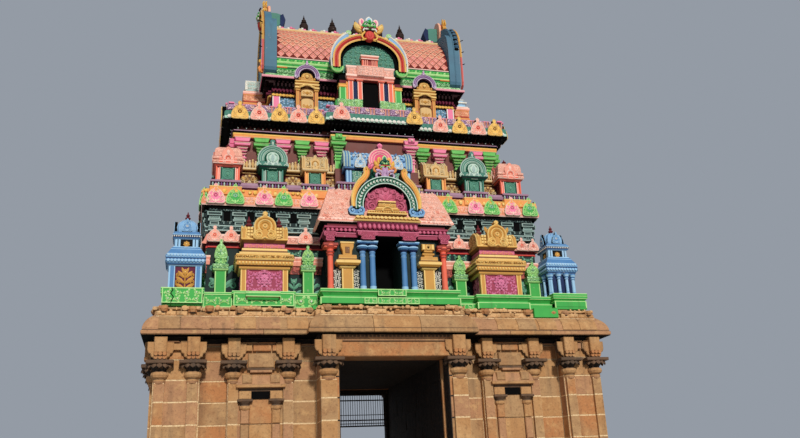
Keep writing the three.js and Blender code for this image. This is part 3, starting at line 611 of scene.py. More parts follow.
# %% Ropes, beads and leaves
def rope(work, path, r, coat, sides=5, taper=None, closed=False):
    """A round bar along a path; taper gives the radius at its end."""
    path = [np.array(p, float) for p in path]
    n = len(path)
    points, faces = [], []
    for k, p in enumerate(path):
        ahead = path[(k + 1) % n] if closed or k + 1 < n else p
        behind = path[k - 1] if closed or k else p
        t = ahead - behind
        t /= np.linalg.norm(t) or 1
        guide = np.array((0, -1.0, 0)) if abs(t[1]) < 0.9 else np.array((1.0, 0, 0))
        side = np.cross(t, guide)
        side /= np.linalg.norm(side)
        out = np.cross(side, t)
        radius = r if taper is None else r + (taper - r) * k / (n - 1)
        for i in range(sides):
            a = 2 * math.pi * i / sides + math.pi / 2
            points.append(p + radius * (math.cos(a) * side + math.sin(a) * out))
    for k in range(n if closed else n - 1):
        a0, b0 = k * sides, (k + 1) % n * sides
        for i in range(sides):
            j = (i + 1) % sides
            faces.append((a0 + j, a0 + i, b0 + i, b0 + j))
    if not closed:
        faces += [tuple(range(sides)), tuple(range(n * sides - 1, (n - 1) * sides - 1, -1))]
    work.put(points, faces, coat)


def bead(work, x, y, z, r, coat, size=(1, 1, 1), sides=6):
    rings = [(0.55, -0.83), (1.0, 0.0), (0.55, 0.83)]
    points = [(x, y, z - r * size[2])]
    for k, h in rings:
        for i in range(sides):
            a = 2 * math.pi * i / sides
            across, deep = r * k * math.cos(a) * size[0], r * k * math.sin(a) * size[1]
            points.append((x + across, y + deep, z + r * h * size[2]))
    points.append((x, y, z + r * size[2]))
    top = len(points) - 1
    faces = []
    for i in range(sides):
        j = (i + 1) % sides
        faces.append((0, 1 + j, 1 + i))
        for k in (0, 1):
            a = 1 + k * sides
            faces.append((a + i, a + j, a + sides + j, a + sides + i))
        faces.append((top, 1 + 2 * sides + i, 1 + 2 * sides + j))
    work.put(points, faces, coat)


def leaf(work, where, length, width, coat, lift=0.3, blunt=0.0):
    """A leaf or petal that points up, with a raised rib, stamped at a place."""
    w, h, t = width / 2, length, -lift * width
    tip = blunt * w
    points = [
        (-w * 0.5, 0, 0), (w * 0.5, 0, 0), (w, t * 0.2, h * 0.45), (w * 0.8, t * 0.2, h * 0.72),
        (tip, 0, h), (-tip, 0, h), (-w * 0.8, t * 0.2, h * 0.72), (-w, t * 0.2, h * 0.45),
        (0, t * 0.7, h * 0.04), (0, t, h * 0.5), (0, t * 0.7, h * 0.85),
    ]
    faces = [
        (0, 1, 8), (1, 2, 9, 8), (2, 3, 10, 9), (3, 4, 10), (4, 5, 10), (5, 6, 10),
        (6, 7, 9, 10), (7, 0, 8, 9), (7, 6, 5, 4, 3, 2, 1, 0),
    ]
    points = np.array(points) @ where[:3, :3].T + where[:3, 3]
    if np.linalg.det(where[:3, :3]) < 0:
        faces = [face[::-1] for face in faces]
    work.put(points, faces, coat)


print("ropes, beads and leaves are ready")


# %% Lines to carve along
def arc(cx, cz, r, start, end, steps, y=0.0):
    """Points on an arc in the front plane; angles in degrees from +x."""
    turns = [math.radians(start + (end - start) * i / steps) for i in range(steps + 1)]
    return [(cx + r * math.cos(a), y, cz + r * math.sin(a)) for a in turns]


CORE = 0.25  # inner radius of a curl, as a share of its outer one


def curl(cx, cz, r, start, turns, steps=12, y=0.0):
    """A spiral that winds in to its centre."""
    points = []
    for i in range(steps + 1):
        t = i / steps
        a = math.radians(start) + 2 * math.pi * turns * t
        radius = r * (1 - (1 - CORE) * t)
        points.append((cx + radius * math.cos(a), y, cz + radius * math.sin(a)))
    return points


def coil(work, side, x, z, r, turns, steps, y, *rest):
    """A curl of rope from its top inward, drawn for the right half; side -1 mirrors it."""
    rope(work, curl(side * x, z, r, 90, side * turns, steps, y), *rest)


def bent(points, steps=4):
    """A smooth line through points in x and z, as a list of x, z pairs."""
    smooth = []
    n = len(points)
    for i in range(n - 1):
        p0, p1, p2, p3 = (points[min(max(i + k, 0), n - 1)] for k in (-1, 0, 1, 2))
        for s in range(steps):
            t = s / steps
            smooth.append(tuple(
                0.5 * (2 * b + (c - a) * t + (2 * a - 5 * b + 4 * c - d) * t * t
                       + (3 * b - a - 3 * c + d) * t ** 3)
                for a, b, c, d in zip(p0, p1, p2, p3)
            ))
    return smooth + [tuple(points[-1])]


def both(half):
    """Closes a right half outline, drawn upward, with its mirror image."""
    return half + [(-x, z) for x, z in reversed(half) if x > 1e-6]


def along(line, spacing):
    """Evenly spaced points on a line, each with its direction in degrees."""
    found, left = [], spacing / 2
    for (x0, z0), (x1, z1) in zip(line, line[1:]):
        span = math.hypot(x1 - x0, z1 - z0)
        while left < span:
            t = left / span
            angle = math.degrees(math.atan2(z1 - z0, x1 - x0))
            found.append((x0 + (x1 - x0) * t, z0 + (z1 - z0) * t, angle))
            left += spacing
        left -= span
    return found


print("lines to carve along are ready")

# %% [markdown]
# ## The ornaments
#
# A gate tower repeats a few signs at every size. The horseshoe window, called kudu or nasi, sits
# on every cornice. A vine of curls fills the panels. Lotus petals line the capitals. The mask of
# a guardian beast crowns the great arches. Each is built once from ropes, leaves and beads, with
# pale paint on the ridges, as the painters do it.

# %% Flower, vine and panel
def flower(r, petals, coat, heart):
    work = Carving()
    for i in range(petals):
        leaf(work, spot(roll=360 * i / petals), r, r * 5.2 / petals, coat, 0.3, 0.3)
    bead(work, 0, -r * 0.18, 0, r * 0.26, heart)
    return work


def vine(width, height, coat, heart, cell=0.22):
    """Mirrored curls and leaves that fill a panel, drawn about its middle."""
    work = Carving()
    columns = max(1, round(width / 2 / cell))
    rows = max(1, round(height / cell))
    dx, dz = width / 2 / columns, height / rows
    r = min(dx, dz) * 0.48
    for i in range(columns):
        for k in range(rows):
            x, z = (i + 0.5) * dx, (k + 0.5) * dz - height / 2
            turn = 1 if (i + k) % 2 else -1
            for side in (1, -1):
                line = curl(0, 0, r * 0.86, 90 + 70 * turn, 1.1 * turn, 9)
                path = [(side * (x + px), -r * 0.1, z + pz) for px, _, pz in line]
                rope(work, path, r * 0.22, coat, 4, r * 0.15)
                for a in (35, 160, 255):
                    ax = x + r * 0.66 * math.sin(math.radians(a * turn))
                    az = z + r * 0.66 * math.cos(math.radians(a * turn))
                    where = spot(side * ax, 0, az, roll=side * a * turn)
                    leaf(work, where, r * 0.8, r * 0.66, coat, 0.3)
                bead(work, side * x, -r * 0.1, z, r * 0.24, heart, sides=5)
    return work


def plant(width, height, coat, heart):
    """A stem with paired leaves and curls that grows from the foot of a panel."""
    work = Carving()
    foot = -height / 2
    rope(work, [(0, -0.012, foot), (0, -0.012, height * 0.25)], width * 0.035, coat, 4)
    for side in (-1, 1):
        for t, roll, size in ((0.02, 60, 0.95), (0.26, 50, 1.0), (0.50, 40, 0.9), (0.70, 22, 0.65)):
            where = spot(side * width * 0.04, 0, foot + height * t, roll=side * roll)
            leaf(work, where, width * 0.5 * size, width * 0.2 * size, coat, 0.3, 0.25)
        for t, r in ((0.30, 0.12), (0.62, 0.10)):
            path = curl(side * width * 0.33, foot + height * t, width * r, 90, -side * 1.2, 9, -0.014)
            rope(work, path, width * 0.03, coat, 4)
    work.stamp(flower(width * 0.16, 6, coat, heart), spot(z=height * 0.26))
    return work


def rosette(r, coat, heart):
    """The ring with a flower in it that is the middle of most panels."""
    work = Carving()
    rope(work, arc(0, 0, r, 0, 360, 16)[:-1], r * 0.14, coat, 4, closed=True)
    work.stamp(flower(r * 0.74, 8, coat, heart), spot(y=-r * 0.04))
    for i in range(8):
        a = i * math.pi / 4
        where = spot(r * 1.08 * math.sin(a), 0, r * 1.08 * math.cos(a), roll=45 * i)
        leaf(work, where, r * 0.42, r * 0.5, coat, 0.3)
    return work


print("vine of 1 m by 0.5 m:", len(vine(1, 0.5, "rose", "rose").faces), "faces")


# %% The horseshoe window
def kudu_outline(w, h):
    """Half bell with a curled foot and a bud on top, as wide as w."""
    half = [
        (0.0, 0.02), (0.08, 0.0), (0.34, 0.0), (0.46, 0.03), (0.5, 0.11), (0.48, 0.24), (0.44, 0.38),
        (0.36, 0.53), (0.24, 0.66), (0.12, 0.73), (0.075, 0.78), (0.11, 0.84), (0.11, 0.91), (0.06, 0.97),
        (0.0, 1.0),
    ]
    return [(x * w, z * h) for x, z in half]


SCROLLS = (
    (0.25, 0.19, 0.15, 90, -1.35), (0.12, 0.60, 0.07, 270, 1.1), (0.33, 0.38, 0.055, 250, -1.0),
)  # middle, radius, start and turns, in widths and heights of the window


def kudu(w, h, coat, rim, heart, depth=0.10, shade="void"):
    """Horseshoe window plate of a cornice, facing the front, foot at 0."""
    work = Carving()
    line = both(kudu_outline(w, h))
    # the sides of the window plate take the shade coat, painted shadow unless another coat is given
    plate(work, line, -depth * 0.6, depth, coat, shade)
    edge = [(x, -depth * 0.6, z) for x, z in inset(line, 0.026 * w)]
    rope(work, edge, w * 0.038, rim, 4, closed=True)
    face = -depth * 0.66
    for side in (1, -1):
        for x, z, r, start, turns in SCROLLS:
            start = start if side > 0 else 180 - start
            line = curl(side * w * x, h * z, w * r, start, side * turns, 10, face)
            rope(work, line, w * 0.03, rim, 4)
        leaf(work, spot(side * w * 0.09, face, h * 0.08, roll=side * 24), h * 0.13, w * 0.09, rim, 0.3)
    rope(work, arc(0, h * 0.41, w * 0.19, -25, 205, 12, face), w * 0.03, rim, 4)
    rope(work, arc(0, h * 0.41, w * 0.085, 0, 360, 8, face)[:-1], w * 0.034, heart, 4, closed=True)
    leaf(work, spot(0, face, h * 0.02), h * 0.2, w * 0.12, rim, 0.3)
    bead(work, 0, face * 0.6, h * 0.88, w * 0.06, rim)
    return work


def petal_row(work, x0, x1, y, z, height, coat, edge=None, lean=30, step=None):
    """Petals that hang side by side from x0 to x1."""
    step = step or height * 0.8
    count = max(1, round((x1 - x0) / step))
    step = (x1 - x0) / count
    for i in range(count):
        x = x0 + (i + 0.5) * step
        where = spot(x, y, z, lean=lean, roll=180)
        leaf(work, where, height, step * 0.96, coat, 0.25, 0.35)
        if edge:
            where = spot(x, y - height * 0.05, z, lean=lean, roll=180)
            leaf(work, where, height * 0.62, step * 0.5, edge, 0.35, 0.3)


def bead_row(work, x0, x1, y, z, r, coat, gap=1.25):
    count = max(1, round((x1 - x0) / (2 * r * gap)))
    step = (x1 - x0) / count
    for i in range(count):
        bead(work, x0 + (i + 0.5) * step, y, z, r, coat)


def teeth_row(work, x0, x1, y0, y1, z0, z1, coat, width, gap):
    count = max(1, round((x1 - x0) / (width + gap)))
    step = (x1 - x0) / count
    for i in range(count):
        x = x0 + (i + 0.5) * step
        block(work, x - width / 2, x + width / 2, y0, y1, z0, z1, coat)


def around(work, half_x, half_y, row):
    """Runs a row on the four faces of a rectangle; row(draft, half length, depth)."""
    for turn in (0, 90, 180, 270):
        length, depth = (half_x, half_y) if turn % 180 == 0 else (half_y, half_x)
        draft = Carving()
        row(draft, length, -depth)
        work.stamp(draft, spot(turn=turn))


print("rows of petals, beads and teeth are ready")

# %% [markdown]
# ## The granite base
#
# The base is laid in courses of squared blocks, a little over half a metre high, with wide joints
# of pale lime. A brick pattern in the shader would look flat at the corners, so every block is a
# real block here, with a chamfer and its own kind of stone, standing a few millimetres proud of a
# mortar core. The random numbers have a fixed seed, so the wall is laid alike each time.

# %% Courses of blocks
laying = random.Random(20)
COURSES = [1.15, 1.53, 2.07, 2.62, 3.17, 3.71, 4.23, 4.72]
QUARRY = ["stone_ochre"] * 4 + ["stone_rose"] * 3 + ["stone_orange"] * 2 + ["stone_buff"] * 3
SOOT_AND_SHADE = ["stone_soot"]
JOINT = 0.028
DEEP = 0.10  # how far a block goes into the wall


def pick_stone():
    return laying.choice(QUARRY)


def lay_course(work, length, z0, z1, proud=0.0, wide=(0.62, 1.25), deep=DEEP, quarry=QUARRY):
    """One course along x from 0 to length, its face towards -y."""
    x, ends = 0.0, []
    while length - x > wide[1] * 1.15:
        x += laying.uniform(*wide)
        ends.append(x)
    ends = [0.0] + [e for e in ends if length - e > 0.3] + [length]
    j = JOINT / 2
    for a, b in zip(ends, ends[1:]):
        face = -proud - laying.uniform(0.0, 0.010)
        block(work, a + j, b - j, face, deep, z0 + j, z1 - j, laying.choice(quarry), 0.008)


def lay_wall(work, outline, levels):
    """Courses on every side of a plan outline."""
    n = len(outline)
    for i, (x0, y0) in enumerate(outline):
        x1, y1 = outline[(i + 1) % n]
        length = math.hypot(x1 - x0, y1 - y0)
        turn = math.degrees(math.atan2(y1 - y0, x1 - x0))
        for z0, z1 in zip(levels, levels[1:]):
            course = Carving()
            # inside the passage the courses and their backing take the near-black soot coat: soot and
            # painted shade
            inside = abs(x0) < 1.6 and abs(x1) < 1.6
            lay_course(course, length, z0, z1, quarry=SOOT_AND_SHADE if inside else QUARRY)
            if inside:
                block(course, 0, length, 0.0, DEEP, z0, z1, "stone_soot")
            work.stamp(course, spot(x0, y0, turn=turn))


FRONT_HALF = [
    (1.42, -3.65), (1.90, -3.65), (1.90, -3.00), (2.515, -3.00), (2.515, -3.15), (4.125, -3.15),
    (4.125, -3.00), (4.80, -3.00), (4.80, -3.32), (5.88, -3.32),
]
HALF_PLAN = FRONT_HALF + [(x, -y) for x, y in reversed(FRONT_HALF)]
print("blocks will be laid in", len(COURSES) - 1, "courses")

# %% [markdown]
# A pilaster is a flat pillar that stands half out of the wall. Its head has a neck, a cushion, a
# ring of drooping lotus petals and a square plate, all black on the underside with soot and painted
# shade, and above it a bracket with a rolled lower edge carries the beam. The cushion is a turned
# piece and its back half is hidden in the wall, which is how the mason cut it as well.

# %% Pilasters of the base
NECK = 0.125


def stone_pilaster(width, proud, stretch=1.0):
    """Pilaster about x = 0 on a wall whose face is y = 0; stretch widens its head."""
    work = Carving()
    h = width / 2
    for z0, z1 in zip(COURSES[:-2], COURSES[1:-2] + [4.16]):
        block(work, -h, h, -proud, 0.05, z0 + 0.012, z1 - 0.012, pick_stone(), 0.01)
    block(work, -h + 0.004, h - 0.004, -proud + 0.004, 0.05, COURSES[0], 4.16, "mortar")
    r, mid = NECK, -proud + NECK * 0.8
    head = Carving()
    # the two rings under the petals take the soot coat: soot and painted shade
    lathe(head, [
        (r, 4.14, "stone_rose"), (r * 1.12, 4.17, "stone_rose"), (r * 1.2, 4.20, "stone_ochre"),
        (r * 1.2, 4.235, "stone_dark"), (r * 1.02, 4.25, "stone_ochre"), (r * 1.5, 4.29, "stone_ochre"),
        (r * 1.72, 4.345, "stone_ochre"), (r * 1.6, 4.405, "stone_rose"), (r * 1.15, 4.43, "stone_soot"),
        (r * 1.3, 4.47, "stone_soot"), (r * 2.1, 4.60, "stone_dark"),
    ], 0, mid, 16)
    for i in range(14):
        where = spot(0, mid, 0, turn=360 * i / 14) @ spot(0, -r * 2.2, 4.61, lean=22, roll=180)
        leaf(head, where, 0.13, r * 1.1, "stone_dark", 0.25, 0.1)
    p = 0.32
    block(head, -p, p, mid - p, 0.05, 4.60, 4.68, "stone_dark", 0.012)
    work.stamp(head, spot(size=(stretch, 1, 1)))
    return work


def stone_bracket(half, proud):
    """Cross-shaped bracket between the head of a pilaster and the roll."""
    work = Carving()
    arms = both([
        (0, 4.68), (half * 0.9, 4.68), (half * 1.1, 4.76), (half * 1.4, 4.775), (half * 1.55, 4.85),
        (half * 1.85, 4.865), (half * 2.05, 4.95), (half * 2.05, 5.14), (0, 5.14),
    ])
    plate(work, arms, -proud * 0.5, 0.05, "stone_ochre", "stone_dark", 0.02)
    block(work, -half, half, -proud, 0.05, 4.86, 5.25, "stone_ochre", 0.02)
    block(work, -half * 0.86, half * 0.86, -proud * 0.8, 0.05, 4.68, 4.86, "stone_dark", 0.01)
    for x in (-0.66, 0, 0.66):
        for y, z in ((-proud, 4.835), (-proud * 0.85, 4.755)):
            end = (x * half, y + 0.12, z)
            rope(work, [(x * half, y - 0.01, z), end], half * 0.32, "stone_orange", 7)
    return work


print("pilaster head drawn with", len(stone_pilaster(0.22, 0.1).faces), "faces")

# %% [markdown]
# Between the two middle pilasters is a small blind shrine: two thin pilasters, a cornice with a
# heavy lip, a plain block on top and a slot of shadow under the cornice. The slab that closes the
# rest of the recess is a single stone.

# %% Niche of the base
def stone_niche():
    work = Carving()
    for side in (-1, 1):
        x = side * 0.38
        for z0, z1 in zip([2.05, 2.62, 3.17], [2.62, 3.17, 3.52]):
            block(work, x - 0.10, x + 0.10, -0.10, 0.05, z0 + 0.008, z1 - 0.008, pick_stone(), 0.02)
        lathe(work, [(0.10, 3.50, "stone_ochre"), (0.135, 3.54, "stone_ochre"), (0.14, 3.60, "stone_dark"),
                     (0.10, 3.63, "stone_dark"), (0.17, 3.70, "stone_dark")], x, -0.02, 12)
        block(work, x - 0.185, x + 0.185, -0.17, 0.05, 3.70, 3.76, "stone_dark", 0.01)
        block(work, x - 0.15, x + 0.15, -0.10, 0.05, 3.76, 3.96, "stone_ochre", 0.015)
    block(work, -0.56, 0.56, -0.14, 0.05, 1.86, 2.05, "stone_rose", 0.02)
    for z0, z1 in zip([2.06, 2.62, 3.17], [2.62, 3.17, 3.76]):
        block(work, -0.27, 0.27, -0.035, 0.05, z0 + 0.01, z1 - 0.01, pick_stone(), 0.008)
        # the near-black strip beside the slab is painted shade in the gap
        block(work, 0.27, 0.30, -0.02, 0.05, z0, z1, "stone_soot")
    block(work, -0.50, 0.50, -0.06, 0.05, 3.95, 4.04, "stone_dark", 0.01)
    mould(work, rect(-0.50, 0.50, -0.09, 0.05), [
        (4.03, 0.02, "stone_ochre"), (4.04, 0.10, "stone_ochre"), (4.10, 0.105, "stone_rose"),
        (4.11, 0.085, "stone_rose"), (4.22, 0.06, "stone_rose"), (4.33, 0.01, "stone_ochre"),
        (4.40, -0.06, "stone_ochre"), (4.41, -0.08, "stone_ochre"),
    ])
    for x in (-0.34, 0.34):
        block(work, x - 0.12, x + 0.12, -0.20, -0.05, 4.13, 4.34, "stone_buff", 0.02)
    block(work, -0.27, 0.27, -0.16, 0.05, 4.40, 4.46, "stone_rose", 0.01)
    block(work, -0.34, 0.34, -0.10, 0.05, 4.46, 4.52, "stone_dark", 0.012)
    block(work, -0.32, 0.32, -0.09, 0.05, 4.53, 4.88, "stone_buff", 0.02)
    block(work, -0.23, 0.23, -0.035, 0.04, 3.77, 3.95, "void")
    return work


print("niche drawn with", len(stone_niche().faces), "faces")


# %% The two halves of the base wall
def base_wall(side):
    work = Carving()
    mould(work, HALF_PLAN, [(1.15, -0.003, "mortar"), (4.72, -0.003, "mortar")])
    lay_wall(work, HALF_PLAN, COURSES)
    above = [(1.57, -3.65)] + HALF_PLAN[1:-1] + [(1.57, 3.65)]
    mould(work, above, [(4.71, -0.003, "mortar"), (5.11, -0.003, "mortar")])
    lay_wall(work, above, [4.72, 5.10])
    # the band under the roll takes the soot coat: soot and the painted shadow of the roll
    mould(work, above, [
        (5.10, -0.01, "stone_dark"), (5.11, 0.04, "stone_rose"), (5.15, 0.05, "stone_rose"),
        (5.16, 0.01, "stone_soot"), (5.24, 0.01, "stone_soot"), (5.25, 0.05, "stone_soot"),
        (5.282, 0.06, "stone_soot"),
    ])
    for x0, x1, face in ((2.50, 4.14, 3.15), (4.80, 5.88, 3.32)):
        for sign, turn in ((-1, 0), (1, 180)):
            beam = Carving()
            a, b = (x0, x1) if turn == 0 else (-x1, -x0)
            for z0, z1, proud in ((4.93, 5.11, 0.10), (5.13, 5.165, 0.13)):
                lay_course(beam, b - a, z0, z1, proud, (0.4, 0.7), 0.05)
            work.stamp(beam, spot(turn=turn) @ spot(a, -face))
    spots = [(5.73, -3.32, 0), (4.96, -3.32, 0), (3.99, -3.15, 0), (2.65, -3.15, 0)]
    spots += [(x, -y, 180) for x, y, _ in spots]
    spots += [(5.88, y, 90) for y in (-2.65, -1.85, -0.80, 0.80, 1.85, 2.65)]
    for x, y, turn in spots:
        where = spot(x, y, turn=turn)
        work.stamp(stone_pilaster(0.24, 0.09), where)
        work.stamp(stone_bracket(0.15, 0.25), where)
    for y, turn in ((-3.65, 0), (3.65, 180)):
        where = spot(1.70, y, turn=turn)
        work.stamp(stone_pilaster(0.40, 0.09, 1.15), where)
        work.stamp(stone_bracket(0.17, 0.25), where)
    for y, turn in ((-3.15, 0), (3.15, 180)):
        work.stamp(stone_niche(), spot(3.32, y, turn=turn))
    # the inner jamb strip takes the soot coat, as painted shade at the mouth of the passage
    for y in (-3.2, -3.02):
        block(work, 1.36, 1.44, y, y + 0.09, 0.15, 4.70, "stone_orange" if y < -3.1 else "stone_soot", 0.01)
    return work.at(mirror=True) if side < 0 else work


base_wall(1).piece("stone_wall_right", "stone", "base_wall_right")
base_wall(-1).piece("stone_wall_left", "stone", "base_wall_left")

# %% [markdown]
# The mouldings below the wall, the floor of the passage, its ceiling and the portal at its
# far end already have their right shapes in the CAD model. They keep their meshes and only take a
# stone surface. The plinth courses are hidden by the lower edge of the picture. The beam over the
# passage and the iron grille of the far doorway are built anew.

# %% Stone for the CAD nodes that stay
def dress(node, coat):
    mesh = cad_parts[node].data
    mesh.materials.clear()
    mesh.materials.append(COATS[coat])


# the ceiling and the far portal of the passage take the near-black soot coat: soot and painted shade inside
# the passage
for node, coat in {
    "plinth_right": "stone_ochre", "plinth_left": "stone_rose", "passage_floor": "stone_buff",
    "passage_ceiling": "stone_soot", "rear_portal": "stone_soot",
}.items():
    dress(node, coat)


def lintel():
    """The beam over the passage, in long stones with a carved upper fillet."""
    work = Carving()
    block(work, -1.565, 1.565, -3.70, -3.0, 4.722, 5.10, "stone_orange", 0.02)
    block(work, -1.565, 1.565, -3.715, -3.0, 5.115, 5.19, "stone_rose", 0.01)
    block(work, -1.565, 1.565, -3.74, -3.0, 5.19, 5.272, "stone_rose", 0.015)
    teeth_row(work, -1.5, 1.5, -3.75, -3.70, 5.205, 5.255, "stone_dark", 0.07, 0.035)
    rope(work, [(-1.55, -3.712, 5.107), (1.55, -3.712, 5.107)], 0.012, "stone_dark", 4)
    return work


lintel().piece("stone_beam_front", "stone", "lintel_front")
lintel().at(turn=180).piece("stone_beam_back", "stone", "lintel_back")


def transom():
    """Iron grille in the head of the far doorway."""
    work = Carving()
    for z, h in ((4.55, 0.05), (4.37, 0.04), (3.90, 0.022), (3.72, 0.04), (3.62, 0.025), (3.525, 0.045)):
        block(work, -1.33, 1.33, 3.352, 3.378, z, z + h, "iron", 0.004)
    for x in (-1.31, 1.31):
        block(work, x - 0.02, x + 0.02, 3.35, 3.38, 3.52, 4.60, "iron", 0.004)
    for i in range(1, 34):
        x = -1.33 + 2.66 * i / 34
        rope(work, [(x, 3.365, 3.53), (x, 3.365, 4.58)], 0.010, "iron", 5)
    return work


transom().piece("iron_transom", "iron", "transom_grille")

# %% [markdown]
# ## Roll cornice and frieze
#
# The stone cornice is one bold roll with a thin lip. It is cut from long stones that meet in open
# joints, and blank square plates stand on its curve, where other towers have windows carved. Each
# stone is a short length of the same profile. Above it runs a frieze that has lost most of its
# carving: rubble, with the worn stumps of beast heads sticking out.

# %% A moulding cut into stones
ROLL_PLAN = plan([(1.90, 3.65), (1.90, 3.32), (5.88, 3.32)])


def cut_moulding(work, outline, profile, coats, longest, gap=0.012):
    """Lays a profile of height and offset along an outline, stone by stone."""
    n = len(outline)
    for i, (x0, y0) in enumerate(outline):
        before, (x1, y1) = outline[i - 1], outline[(i + 1) % n]
        after = outline[(i + 2) % n]
        length = math.hypot(x1 - x0, y1 - y0)
        dx, dy = (x1 - x0) / length, (y1 - y0) / length
        turn_in = (x0 - before[0]) * dy - (y0 - before[1]) * dx
        turn_out = dx * (after[1] - y1) - dy * (after[0] - x1)
        count = max(1, math.ceil(length / longest))
        shifts = [laying.uniform(-0.12, 0.12) if 0 < k < count else 0 for k in range(count + 1)]
        cuts = [length * (k + shift) / count for k, shift in enumerate(shifts)]
        for k in range(count):
            a, b = cuts[k] + gap / 2, cuts[k + 1] - gap / 2
            points = []
            for z, d in profile + [(profile[-1][0], -0.2), (profile[0][0], -0.2)]:
                s = a - (d * math.copysign(1, turn_in) if k == 0 and d > -0.2 else 0)
                e = b + (d * math.copysign(1, turn_out) if k == count - 1 and d > -0.2 else 0)
                points += [(s, -d, z), (e, -d, z)]
            m = len(points) // 2
            faces = [(2 * j, 2 * j + 1, (2 * j + 3) % (2 * m), (2 * j + 2) % (2 * m)) for j in range(m)]
            faces += [tuple(2 * j for j in range(m - 1, -1, -1)), tuple(2 * j + 1 for j in range(m))]
            draft = Carving()
            draft.put(points, faces, laying.choice(coats))
            work.stamp(draft, spot(x0, y0, turn=math.degrees(math.atan2(dy, dx))))


ROLL = [
    (5.28, 0.08), (5.285, 0.30), (5.31, 0.328), (5.385, 0.328), (5.395, 0.30), (5.46, 0.30), (5.55, 0.272),
    (5.63, 0.23), (5.70, 0.175), (5.76, 0.11), (5.80, 0.06), (5.83, 0.03),
]


def stone_roll():
    work = Carving()
    # the bottom of the roll's core takes the soot coat: soot and painted shadow under the roll
    mould(work, ROLL_PLAN, [
        (5.282, 0.29, "stone_soot"), (5.292, 0.29, "stone_soot"), (5.55, 0.20, "mortar"),
        (5.78, 0.02, "mortar"), (5.83, 0.0, "mortar"),
    ])
    # the thin near-black band at the soffit is painted shadow
    mould(work, ROLL_PLAN, [(5.274, 0.300, "void"), (5.281, 0.318, "void")])
    # a thin dark band just above the lip: painted shade of a groove
    mould(work, ROLL_PLAN, [(5.399, 0.303, "stone_dark"), (5.413, 0.303, "stone_dark")])
    cut_moulding(work, ROLL_PLAN, ROLL, ["stone_ochre", "stone_ochre", "stone_rose", "stone_buff"], 1.45)
    plates = [5.55, 5.05, 4.35, 3.75, 3.15, 2.45]
    for turn in (0, 180):
        for x in plates + [-x for x in plates]:
            depth = 3.65 if abs(x) < 1.9 else 3.32
            sign = 1 if turn == 0 else -1
            work.stamp(roll_plate(), spot(sign * x, -sign * depth, turn=turn))
    for turn, sign in ((90, 1), (270, -1)):
        for y in (-2.6, -1.7, -0.8, 0.0, 0.8, 1.7, 2.6):
            work.stamp(roll_plate(), spot(sign * 5.88, y, turn=turn))
    return work


def roll_plate():
    """Blank square plate that follows the roll."""
    work = Carving()
    line = [(5.43, 0.322), (5.54, 0.298), (5.65, 0.24), (5.77, 0.12)]
    w = 0.26
    points = [(s * w, deep - d, z) for deep in (0.0, 0.06) for z, d in line for s in (-1, 1)]
    faces = [(2 * j, 2 * j + 1, 2 * j + 3, 2 * j + 2) for j in range(3)]
    faces += [(8 + 2 * j, 10 + 2 * j, 11 + 2 * j, 9 + 2 * j) for j in range(3)]
    faces += [(0, 8, 9, 1), (6, 7, 15, 14), (0, 2, 4, 6, 14, 12, 10, 8), (1, 9, 11, 13, 15, 7, 5, 3)]
    work.put(points, faces, laying.choice(["stone_ochre", "stone_buff", "stone_rose"]))
    return work


stone_roll().piece("stone_roll_cornice", "stone", "stone_cornice")


# %% The worn frieze
def worn_course(work, length, z0, z1, deep):
    """Carved blocks along x that lost their edges, with lumps where beasts stood."""
    x = 0.0
    while x < length - 0.05:
        w = min(laying.uniform(0.16, 0.62), length - x)
        face = -laying.uniform(-0.03, 0.05)
        # painted light: most blocks take the paler stone, to make up for the shade on the frieze
        coat = "stone_ochre" if pick_stone() == "stone_rose" else "stone_sun"
        foot, top = z0 + laying.uniform(0, 0.02), z1 - laying.uniform(0, 0.05)
        block(work, x + 0.006, x + w - 0.006, face, deep, foot, top, coat, 0.022)
        for k in range(int(w / 0.13)):
            z = (z0 + top) / 2 + laying.uniform(-0.05, 0.05)
            size = (laying.uniform(0.8, 1.5), 0.5, laying.uniform(0.6, 1.2))
            bead(work, x + 0.08 + 0.13 * k, face, z, laying.uniform(0.03, 0.06), coat, size, 7)
        x += w


def beast_stump():
    """What is left of a beast's head: a rounded block with soot and painted shade in the hollow under its
    jaw.
    """
    work = Carving()
    r = laying.uniform(0.085, 0.115)
    coat = laying.choice(["stone_orange", "stone_rose", "stone_buff", "stone_ochre"])
    block(work, -r, r, -0.11, 0.05, -r * 0.7, r * 0.8, coat, 0.03)
    bead(work, laying.uniform(-0.02, 0.02), -0.10, 0.0, r, coat, (1.05, 0.8, 0.85), 8)
    # soot and painted shade under the jaw
    bead(work, 0, -0.08, -r * 0.7, r * 0.7, "stone_soot", (1.1, 0.9, 0.5), 7)
    return work


